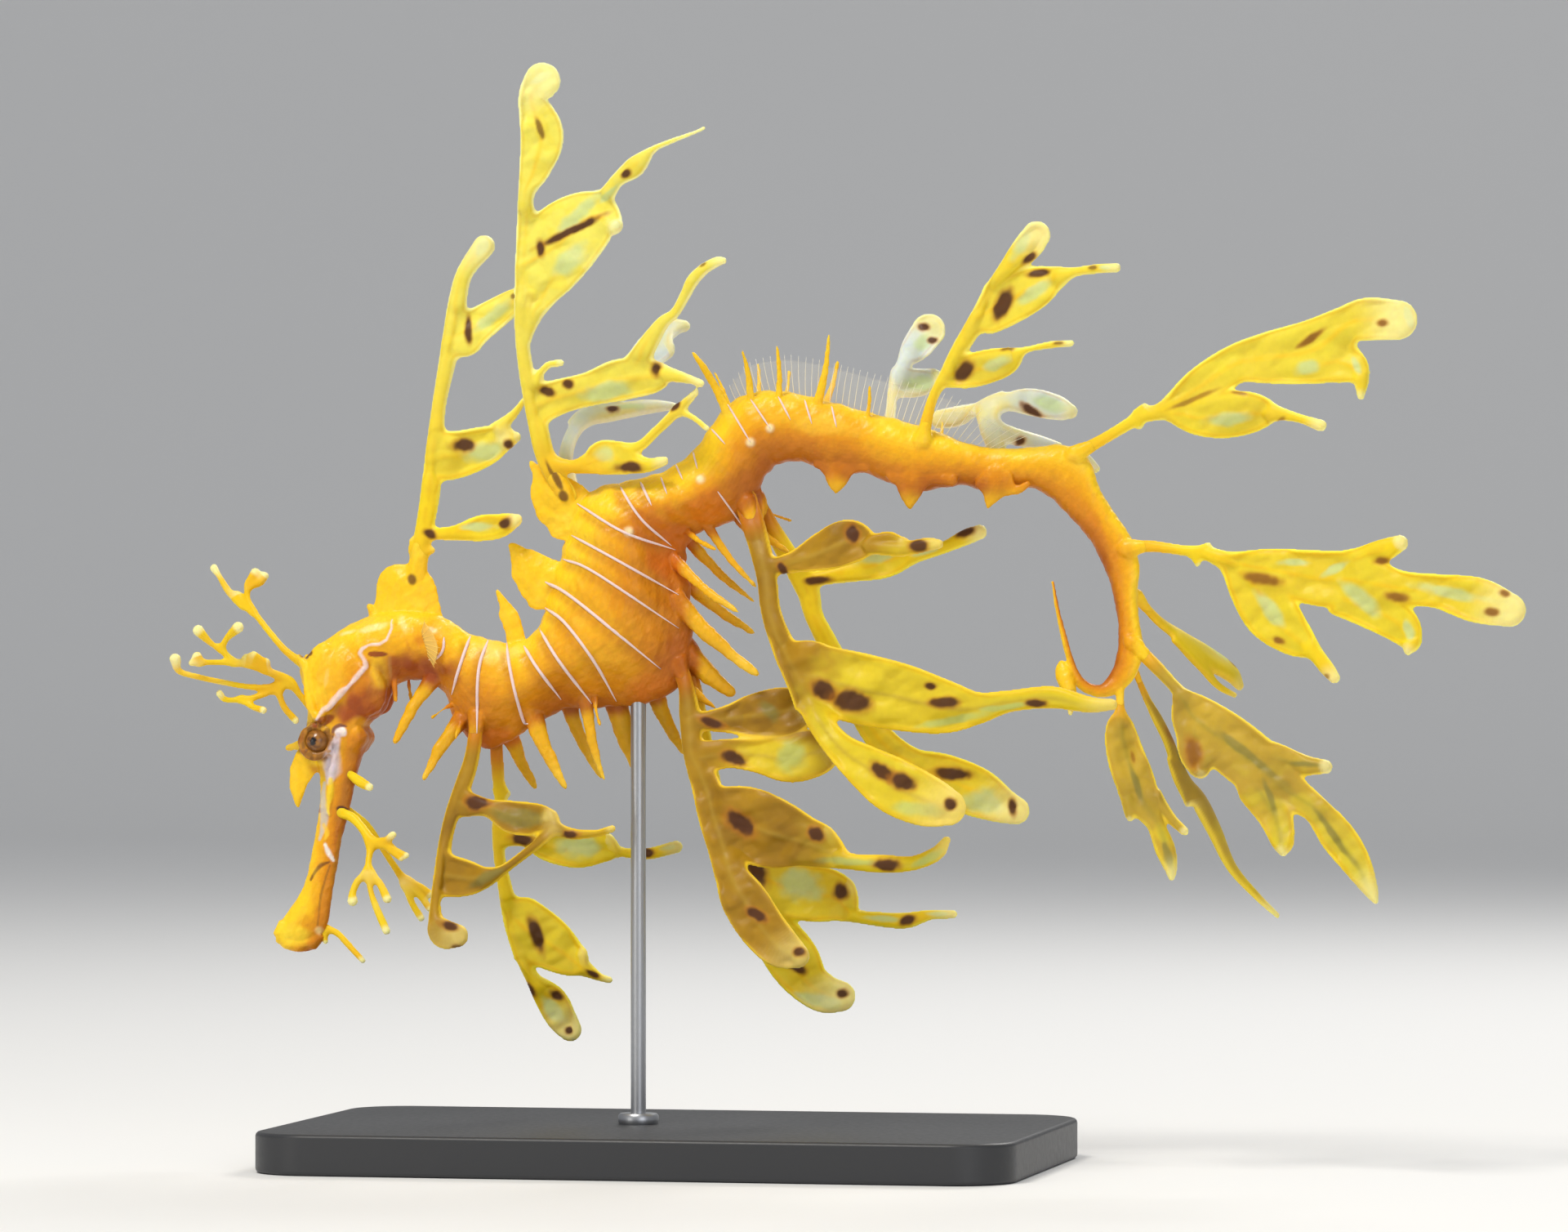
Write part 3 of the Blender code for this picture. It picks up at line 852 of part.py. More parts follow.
core_cutter = add("cut_body", *loft(body_rings(0.0, 64.0, SIDES, GAP)), "skin", helper_home("body_cutter"))
plate_cutter = {}
for name, (y, thick, lobes) in PLATES.items():
    plate_cutter[name] = sheet("cut_" + name, plate_leaf(name), "skin", thick * 0.001 + 0.0006,
                               home=helper_home("plate_cutters"), grow=GAP)

segment = {}
for name, q0, q1 in SEGMENTS:
    a = q0 + (0.5 * GAP / ring_pitch(q0) if q0 > 0 else 0)
    b = q1 - (0.5 * GAP / ring_pitch(q1) if q1 < 64 else 0)
    obj = add(name, *loft(body_rings(a, b, SIDES)), "skin")
    segment[name] = obj
    grown = helper_home(name + "_growths")
    for plate, owner in PLATE_HOME.items():
        if owner == name:
            sheet("plate_" + plate, plate_leaf(plate), "skin", PLATES[plate][1] * 0.001, home=grown)
    for i, spine in enumerate(SPINES):
        if q0 <= depth_place(*spine[0])[0] < q1:
            spine_solid("spine_%02d_%s" % (i, name), seated(spine), grown)
    if len(grown.objects):
        boolean(obj, "UNION", grown, "growths")

# Eyes: balls sunk in round sockets.
EYE_U, EYE_V, EYE_R, EYE_OUT = 385.0, 907.0, 0.0027, 3.3
_, _, _, _, eye_mid = body_frame(np.array([9.3]))
for name, y, shift in (("eye_left", -1, 0), ("eye_right", 1, 1)):
    offset = y * EYE_OUT
    u = EYE_U + (0.0 if y < 0 else 2 * EYE_OUT * 0.001 * SIN_T / UNIT)
    at = place(u, EYE_V, eye_mid[0] + offset)
    for ball, r, home in ((name, EYE_R, None), ("cut_" + name, EYE_R + 0.0003, helper_home("eye_cutters"))):
        bm = bmesh.new()
        bmesh.ops.create_uvsphere(bm, u_segments=12, v_segments=7, radius=r, matrix=Matrix.Translation(Vector(at)))
        pts = [tuple(v.co) for v in bm.verts]
        faces = [[v.index for v in f.verts] for f in bm.faces]
        bm.free()
        made = add(ball, pts, faces, "eye", home)
        if home:
            for owner in ("head", "snout"):
                boolean(segment[owner], "DIFFERENCE", made, ball)

# Leaves and threads, each cut clear of what it grows from.
thorn_cutters = [spine_solid("cut_thorn_%d" % t[2], seated((*t[:2], t[2] + 5, *t[3:])), helper_home("thorn_cutters"))
                 for t in RUMP_SPINES if t[2] in (40, 19)]
for name, leaf in LEAVES.items():
    obj = sheet(name, leaf, "leaf", LEAF_THICK)
    boolean(obj, "DIFFERENCE", core_cutter, "clear_of_body")
    if name.startswith("leaf_rump"):
        for cutter in thorn_cutters:
            boolean(obj, "DIFFERENCE", cutter, "clear_of_" + cutter.name)
    if name in LEAF_ROOT_PLATE:
        boolean(obj, "DIFFERENCE", plate_cutter[LEAF_ROOT_PLATE[name]], "clear_of_plate")
for name, leaf in THREADS.items():
    obj = sheet(name, leaf, "thread", 0.0009, tol=1.7)
    boolean(obj, "DIFFERENCE", core_cutter, "clear_of_body")

# The dorsal fin: a thin fan on the tail's back.
q = np.linspace(34.6, 43.6, 11)
foot = section(q, np.array([0.0]), GAP)[:, 0]
r = spline(RING_ROWS, q)
tall = 62 * np.interp(q, [34.6, 35.6, 37, 41, 42.6, 43.6], [0.45, 0.85, 1.0, 1.0, 0.8, 0.35])
c, n, h, w, y = body_frame(q)
tip_u = c[:, 0] + n[:, 0] * (h + tall) + 8
tip_v = c[:, 1] + n[:, 1] * (h + tall)
tips = place(tip_u, tip_v, y)
m = len(q)
fin = add("dorsal_fin", np.vstack([foot, tips]), [(i, i + 1, m + i + 1, m + i) for i in range(m - 1)], "fin")
mod = fin.modifiers.new("thickness", "SOLIDIFY")
mod.thickness, mod.offset = 0.0005, 0.0

# Small round fins on the sides of the neck.
PECTORAL_Q = 15.45
for name, sign in (("pectoral_fin_left", -1), ("pectoral_fin_right", 1)):
    up = np.linspace(0.36, 0.56, 5) * math.pi
    base = np.array([section(np.array([PECTORAL_Q]), np.array([sign * a]), GAP + 0.6)[0, 0] for a in up])
    spread = np.array([section(np.array([PECTORAL_Q + 0.55 * math.cos((k - 2) * 0.55)]),
                               np.array([sign * (0.455 + 0.15 * (k - 2) / 2) * math.pi]), 15.0)[0, 0] for k in range(5)])
    pts = np.vstack([base, spread])
    fin = add(name, pts, [(i, i + 1, 5 + i + 1, 5 + i) for i in range(4)], "fin")
    mod = fin.modifiers.new("thickness", "SOLIDIFY")
    mod.thickness, mod.offset = 0.0005, 0.0

# The display stand: a flat plate and one rod under the belly.
BASE_X, BASE_Y, BASE_Z = 0.075, 0.045, 0.008


def rounded_box(x, y, z, r, bevel):
    bm = bmesh.new()
    ring = []
    for cx, cy, a0 in ((x - r, y - r, 0), (-x + r, y - r, 90), (-x + r, -y + r, 180), (x - r, -y + r, 270)):
        for k in range(5):
            t = math.radians(a0 + 22.5 * k)
            ring.append((cx + r * math.cos(t), cy + r * math.sin(t)))
    levels = [(0.0, 0.0), (0.0, z - bevel), (bevel, z)]
    rows = []
    for inset, height in levels:
        rows.append([(px - inset * px / abs(px), py - inset * py / abs(py), height) for px, py in ring])
    bm.free()
    return np.array(rows)


add("stand_base", *loft(rounded_box(BASE_X, BASE_Y, BASE_Z, 0.012, 0.001)), "stand")
ROD_U, ROD_R = 781.0, 0.0015
rod_x = float(place(ROD_U, 0, 0)[0])
belly = spline(RING_ROWS, np.linspace(22, 23.6, 60))
belly_v = float(np.interp(ROD_U, belly[:, 2], belly[:, 3]))
rod_top = float(place(ROD_U, belly_v, 0)[2]) - 0.0004
t = np.linspace(0, 2 * math.pi, 16, endpoint=False)
rod = np.array([[(rod_x + ROD_R * math.cos(a), ROD_R * math.sin(a), z) for a in t] for z in (BASE_Z + 0.0003, rod_top)])
add("stand_rod", *loft(rod), "rod")
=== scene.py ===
"""The looks of the leafy seadragon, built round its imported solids."""

import math

import bmesh
import bpy
import numpy as np
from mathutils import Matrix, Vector, kdtree
from mathutils.bvhtree import BVHTree


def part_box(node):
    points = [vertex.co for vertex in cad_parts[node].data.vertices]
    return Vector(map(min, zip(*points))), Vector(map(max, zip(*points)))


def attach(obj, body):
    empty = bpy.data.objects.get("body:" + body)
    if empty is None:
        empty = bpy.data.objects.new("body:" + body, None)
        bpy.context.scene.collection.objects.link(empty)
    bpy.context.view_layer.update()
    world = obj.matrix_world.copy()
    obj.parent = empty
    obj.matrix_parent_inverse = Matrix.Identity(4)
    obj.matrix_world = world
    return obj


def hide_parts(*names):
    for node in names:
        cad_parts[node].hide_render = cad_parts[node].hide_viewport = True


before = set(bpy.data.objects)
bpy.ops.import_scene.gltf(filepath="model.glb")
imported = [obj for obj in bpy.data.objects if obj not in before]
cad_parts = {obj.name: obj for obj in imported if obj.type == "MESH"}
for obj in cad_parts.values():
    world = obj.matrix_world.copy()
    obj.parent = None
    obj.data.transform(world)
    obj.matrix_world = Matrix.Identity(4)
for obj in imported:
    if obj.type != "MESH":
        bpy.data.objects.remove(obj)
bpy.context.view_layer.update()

# ---------------------------------------------------------------- drawing board
# The animal is laid out on a side elevation: u runs from the snout's side to the
# tail, v runs downwards, and y is the sideways offset in millimetres, negative on
# the animal's left. One board unit is UNIT metres.  The elevation is drawn from
# ELEVATION_TURN off square, so that both leaves of a pair show.
UNIT = 0.00016
ELEVATION_TURN = math.radians(12.0)
U_STAND, V_FLOOR = 822.0, 1428.0
COS_T, SIN_T = math.cos(ELEVATION_TURN), math.sin(ELEVATION_TURN)


def place(u, v, y):
    """Board (u, v) and sideways offset y in millimetres, as points in metres."""
    u, v, y = (np.asarray(a, float) for a in (u, v, y))
    y = y * 0.001
    x = ((u - U_STAND) * UNIT - y * SIN_T) / COS_T
    z = (V_FLOOR - v) * UNIT
    return np.stack(np.broadcast_arrays(x, y, z), axis=-1)


def smooth(t):
    t = np.clip(t, 0.0, 1.0)
    return t * t * (3 - 2 * t)


def spline(values, q):
    """Catmull-Rom through evenly spaced rows of values, at q from 0 to len-1."""
    p = np.asarray(values, float)
    if p.ndim == 1:
        return spline(p[:, None], q)[:, 0]
    if len(p) == 2:
        q = np.asarray(q, float)[:, None]
        return p[0] * (1 - q) + p[1] * q
    e = np.vstack([2 * p[0] - p[1], p, 2 * p[-1] - p[-2]])
    i = np.clip(np.floor(q).astype(int), 0, len(p) - 2)
    t = (np.asarray(q, float) - i)[:, None]
    a, b, c, d = e[i], e[i + 1], e[i + 2], e[i + 3]
    return 0.5 * (2 * b + (c - a) * t + (2 * a - 5 * b + 4 * c - d) * t ** 2
                  + (3 * b - a - 3 * c + d) * t ** 3)


# ---------------------------------------------------------------- the body
# Each row is a ring of the bony armour: its dorsal edge, its ventral edge, its
# half width and its sideways offset in millimetres. From NECK on, each row is
# one ring of plates.
RINGS = [
    # snout, from the mouth up
    ((338, 1161), (371, 1164), 5, -4.6), ((330, 1151), (386, 1151), 10, -4.6),
    ((334, 1136), (396, 1134), 13, -4.5), ((350, 1115), (400, 1112), 12, -4.3),
    ((366, 1085), (405, 1080), 11, -4.0), ((376, 1046), (411, 1042), 11, -3.6),
    ((383, 1003), (421, 1000), 12, -3.1), ((386, 967), (430, 962), 15, -2.7),
    # head, over the eye to the nape
    ((382, 942), (443, 930), 21, -2.4), ((371, 916), (455, 897), 28, -2.1),
    ((369, 886), (466, 874), 31, -1.8), ((368, 850), (473, 859), 33, -1.5),
    ((361, 812), (480, 843), 34, -1.2), ((399, 779), (487, 837), 35, -0.9),
    ((440, 757), (502, 833), 35, -0.6), ((485, 747), (522, 836), 33, -0.3),
    ((530, 752), (541, 850), 33, 0.0),
    # neck
    ((572, 776), (554, 884), 35, 0.0), ((596, 783), (580, 914), 38, 0.0),
    ((620, 787), (612, 914), 41, 0.0), ((641, 783), (650, 890), 44, 0.0),
    # trunk
    ((657, 768), (692, 869), 48, 0.0), ((666, 744), (738, 867), 52, 0.0),
    ((673, 714), (824, 849), 57, 0.0), ((684, 684), (847, 787), 60, 0.0),
    ((692, 654), (846, 740), 60, 0.0), ((700, 620), (841, 697), 57, 0.0),
    ((727, 598), (841, 670), 53, 0.0), ((756, 590), (850, 656), 49, 0.0),
    ((786, 584), (866, 648), 45, 0.0), ((812, 576), (888, 642), 42, 0.0),
    ((838, 561), (910, 628), 40, 0.0), ((858, 540), (926, 604), 38, 0.0),
    # tail, along the arch
    ((874, 515), (938, 583), 36, 0.0), ((893, 494), (949, 570), 35, 0.0),
    ((921, 481), (964, 565), 34, 0.0), ((953, 479), (983, 566), 33, 0.1),
    ((984, 484), (1004, 573), 32, 0.2), ((1016, 492), (1030, 580), 31, 0.3),
    ((1048, 501), (1060, 580), 30, 0.5), ((1080, 510), (1090, 592), 29, 0.7),
    ((1112, 518), (1120, 602), 28, 0.9), ((1145, 528), (1150, 598), 27, 1.1),
    ((1176, 541), (1180, 595), 25, 1.3), ((1208, 549), (1208, 602), 23, 1.5),
    ((1240, 550), (1238, 599), 22, 1.6), ((1272, 548), (1264, 599), 21, 1.6),
    ((1302, 546), (1287, 612), 20, 1.5),
    # tail, down the bend and into the curl
    ((1329, 561), (1303, 629), 19, 1.3), ((1343, 598), (1318, 645), 18, 1.0),
    ((1362, 630), (1334, 665), 17, 0.6), ((1382, 661), (1346, 690), 16, 0.2),
    ((1391, 694), (1356, 714), 15, -0.3), ((1388, 728), (1361, 738), 14, -0.9),
    ((1391, 762), (1365, 764), 13, -1.5), ((1395, 794), (1365, 790), 12, -2.2),
    ((1388, 822), (1360, 812), 11, -3.0), ((1372, 842), (1351, 829), 9, -3.8),
    ((1350, 852), (1342, 837), 8, -4.6), ((1328, 849), (1330, 835), 7, -5.2),
    ((1311, 836), (1320, 826), 6, -5.6), ((1303, 812), (1311, 808), 5, -5.9),
    ((1295, 780), (1302, 778), 4.5, -6.1), ((1288, 745), (1293, 744), 3.5, -6.2),
    ((1283, 712), (1287, 711), 2.2, -6.2),
]
HEAD, NECK, TRUNK, TAIL, CURL = 8, 16, 21, 33, 48
RING_ROWS = np.array([[*d, *v, w, y] for d, v, w, y in RINGS], float)
LEAST_HALF = 1.7  # board units: nothing on the body is thinner than about 0.5 mm


def body_frame(q):
    """At ring numbers q: centre (u, v), dorsal direction, half depth, half width, y."""
    r = spline(RING_ROWS, q)
    d, v = r[:, 0:2], r[:, 2:4]
    c, n = (d + v) / 2, d - v
    h = np.linalg.norm(n, axis=1) / 2
    n = n / (2 * h[:, None])
    return c, n, np.maximum(h, LEAST_HALF), np.maximum(r[:, 4], LEAST_HALF), r[:, 5]


def keel(q):
    """How far the section narrows towards its ventral edge, by region."""
    return np.interp(q, [0, HEAD, 12, NECK, TRUNK, 25, 31, TAIL + 2, CURL, 64],
                     [0.0, 0.10, 0.25, 0.45, 0.55, 0.62, 0.45, 0.15, 0.0, 0.0])


def section(q, phi, grow=0.0):
    """Points of the body's surface at rings q (n) and angles phi (m): (n, m, 3).
    phi is 0 at the dorsal edge and pi at the ventral one. grow is in board units."""
    c, n, h, w, y = body_frame(q)
    a, b = np.cos(phi)[None, :], np.sin(phi)[None, :]
    k = keel(q)[:, None]
    square = np.interp(q, [0, HEAD, TRUNK, TAIL, CURL, 64], [1, 1, .9, .8, .8, 1])[:, None]
    wide = np.sign(b) * np.abs(b) ** square * (1 - k * smooth((0.15 - a) / 1.15))
    along = a * (h[:, None] + grow)
    side = wide * (w[:, None] + grow)
    u = c[:, 0:1] + n[:, 0:1] * along
    v = c[:, 1:2] + n[:, 1:2] * along
    return place(u, v, y[:, None] + side * UNIT * 1000)


# ---------------------------------------------------------------- spines and plates
# Spine: base (u, v), tip (u, v), width at the base, sideways offset at base and tip.
THROAT_SPINES = [
    ((530, 832), (480, 911), 23, -3.0, -6.5), ((485, 830), (481, 860), 8, -2.0, -3.5),
    ((499, 828), (499, 860), 8, 2.0, 3.5), ((563, 882), (516, 956), 24, -3.5, -7.0),
    ((552, 868), (526, 880), 7, -3.5, -6.5), ((563, 890), (556, 906), 9, -4.5, -6.5),
]
BELLY_SPINES = [
    ((618, 905), (653, 968), 25, 3.0, 8.0), ((652, 880), (693, 966), 26, -3.0, -6.0),
    ((694, 862), (735, 955), 23, 3.5, 7.0), ((720, 860), (740, 956), 19, -3.0, -5.0),
    ((727, 850), (735, 888), 9, -5.5, -7.5), ((755, 852), (788, 962), 33, 3.0, 6.0),
    ((812, 848), (839, 926), 27, 4.0, 8.0),
]
RUMP_SPINES = [
    ((838, 738), (929, 826), 27, -3.0, -6.0), ((832, 700), (924, 776), 22, 3.0, 8.5),
    ((838, 690), (905, 750), 18, -3.5, -9.5), ((852, 664), (924, 737), 18, 3.0, 8.0),
    ((872, 645), (926, 719), 15, -1.5, -2.6), ((848, 655), (877, 673), 10, -5.5, -8.5),
    ((842, 792), (899, 851), 40, 0.6, 1.2), ((838, 830), (877, 868), 19, 0.6, 1.2),
    ((915, 640), (967, 677), 20, 0.0, 1.0), ((930, 628), (970, 637), 8, 4.5, 8.0),
]
BACK_SPINES = [
    ((888, 504), (848, 431), 15, -3.0, -5.0), ((892, 506), (874, 453), 9, 3.0, 5.0),
    ((919, 494), (909, 429), 12, -3.0, -5.0), ((927, 492), (928, 443), 9, 3.0, 5.0),
    ((953, 492), (951, 424), 10, -3.0, -5.0), ((961, 492), (966, 452), 9, 3.0, 5.0),
    ((999, 500), (1015, 410), 13, -2.8, -5.0), ((1008, 500), (1026, 441), 11, 2.8, 5.0),
    ((1061, 514), (1064, 473), 8, -2.6, -4.5), ((1150, 540), (1154, 516), 7, 2.6, 4.5),
]
FACE_SPINES = [((368, 915), (341, 919), 19, 2.0, 3.2), ((456, 760), (446, 742), 9, 0.0, 0.0)]
SPINES = THROAT_SPINES + BELLY_SPINES + RUMP_SPINES + BACK_SPINES + FACE_SPINES


def lobe(path, w, out=0.0, twist=0.0, bow=0.0):
    """A blade along path, a smooth curve through (u, v) points from root to tip. w are
    its full widths at even steps, out is how far its tip goes sideways in mm from
    its root, and twist tilts it across its width. bow is not used."""
    return dict(path=[tuple(map(float, p)) for p in path], w=w, out=out, twist=twist, bow=bow)



def depth_place(u, v, lowest=7.6):
    """The ring number through a board point, and its place from 1 (dorsal) to -1 (ventral)."""
    q = np.linspace(lowest, len(RINGS) - 1, 1400)
    c, n, h, _, _ = body_frame(q)
    d = np.array([u, v]) - c
    a = (d * n).sum(axis=1) / h
    gap = np.hypot(d[:, 0] - np.clip(a, -1, 1) * h * n[:, 0], d[:, 1] - np.clip(a, -1, 1) * h * n[:, 1])
    i = int(np.argmin(gap))
    return q[i], float(a[i])


def half_width_at(q, a):
    """Half width of the section in millimetres, at ring q and place a."""
    phi = np.array([math.acos(max(-1.0, min(1.0, a)))])
    c = body_frame(np.array([q]))
    p = section(np.array([q]), phi)[0, 0]
    return float(p[1] * 1000 - c[4][0])


def seated(spine, deepest=0.72):
    """The spine with its base moved just inside the body."""
    (u, v), tip, w, y0, y1 = spine
    q, a = depth_place(u, v)
    a = max(-deepest, min(deepest, a))
    c, n, h, _, y = body_frame(np.array([q]))
    u, v = (float(t) for t in c[0] + n[0] * a * h[0])
    room = half_width_at(q, a) * 0.72
    side = max(-room, min(room, y0))
    return (u, v), tip, w, side + float(y[0]), y1 + float(y[0])


# Plates: flat bony crests that stand on the body's midline or ridges: y and thickness in mm.
def crest(pairs):
    """A plate's outline between two edges: each row is (u, v) of one edge and (u, v) of the other."""
    return lobe([((a + c) / 2, (b + d) / 2) for a, b, c, d in pairs],
                [math.hypot(a - c, b - d) for a, b, c, d in pairs])


PLATES = {
    "nape": (0.0, 3.2, [crest([(456, 776, 542, 782), (455, 742, 535, 746), (455, 722, 530, 735), (464, 706, 504, 714)]),
                        lobe([(484, 724), (477, 713)], (44, 40)), lobe([(502, 738), (504, 706), (508, 678)], (54, 23, 19)),
                        lobe([(452, 752), (446, 741)], (12, 6))]),
    "saddle_low": (-1.5, 2.6, [crest([(664, 744, 690, 690), (645, 736, 676, 683), (630, 706, 660, 678), (622, 676, 638, 672),
                                      (620, 668, 628, 666)]),
                               lobe([(668, 730), (650, 741)], (30, 9)), lobe([(650, 706), (630, 704)], (26, 10))]),
    "saddle_high": (-2.5, 3.4, [crest([(690, 656, 724, 606), (676, 640, 706, 588), (661, 622, 684, 578), (656, 580, 672, 572)]),
                                lobe([(672, 586), (654, 574), (649, 565)], (24, 12, 6)),
                                lobe([(690, 636), (668, 628), (661, 612)], (36, 26, 12)),
                                lobe([(700, 646), (680, 650)], (34, 18))]),
    "neck_fang": (0.0, 2.0, [crest([(619, 792, 643, 790), (613, 757, 633, 756), (606, 732, 617, 736), (604, 724, 609, 724)]),
                             lobe([(622, 762), (611, 752)], (12, 6))]),
    "hip": (0.0, 5.6, [lobe([(900, 596), (912, 616), (920, 640)], (60, 54, 44, 28))]),
    "keel_1": (-2.2, 1.8, [lobe([(1026, 568), (1025, 587), (1023, 602)], (42, 26, 6)),
                           lobe([(1003, 567), (1058, 571)], (16, 16))]),
    "keel_2": (-2.2, 1.8, [lobe([(1116, 584), (1114, 604), (1114, 622)], (44, 26, 5)),
                           lobe([(1093, 583), (1164, 588)], (16, 16))]),
    "keel_3": (-2.0, 1.8, [lobe([(1219, 590), (1213, 606), (1208, 621)], (40, 22, 6)),
                           lobe([(1199, 593), (1240, 601), (1256, 594)], (14, 12, 8))]),
    "cheek_blade": (-2.2, 1.5, [crest([(356, 926, 394, 930), (347, 942, 380, 946), (347, 960, 370, 962), (352, 979, 363, 980),
                                       (356, 990, 359, 990)])]),
}

# ---------------------------------------------------------------- leaves
# A leaf is a stem and its blades, each a ribbon or a lobe as above. root is the
# sideways offset of the stem's foot in millimetres. A blade's foot takes the stem's
# offset. spots are dark marks and panels are clear greenish windows: centre, length,
# width, angle in degrees. tone picks the leaf's painted light and shade: sun paints it
# sunlit, shade and dusk paint it in shade, pale is for the pale leaves.
def ribbon(pairs, out=0.0, twist=0.0):
    """A blade between two edges: each row is (u, v) of one edge and (u, v) of the other."""
    path = [((a + c) / 2, (b + d) / 2) for a, b, c, d in pairs]
    made = lobe(path, [math.hypot(a - c, b - d) for a, b, c, d in pairs], out, twist)
    a, b, c, d = pairs[0]
    across = np.array([d - b, a - c], float) / max(math.hypot(a - c, b - d), 1e-9)
    made["away"] = across * (1.0 if across @ (np.array(path[1]) - path[0]) > 0 else -1.0)
    return made


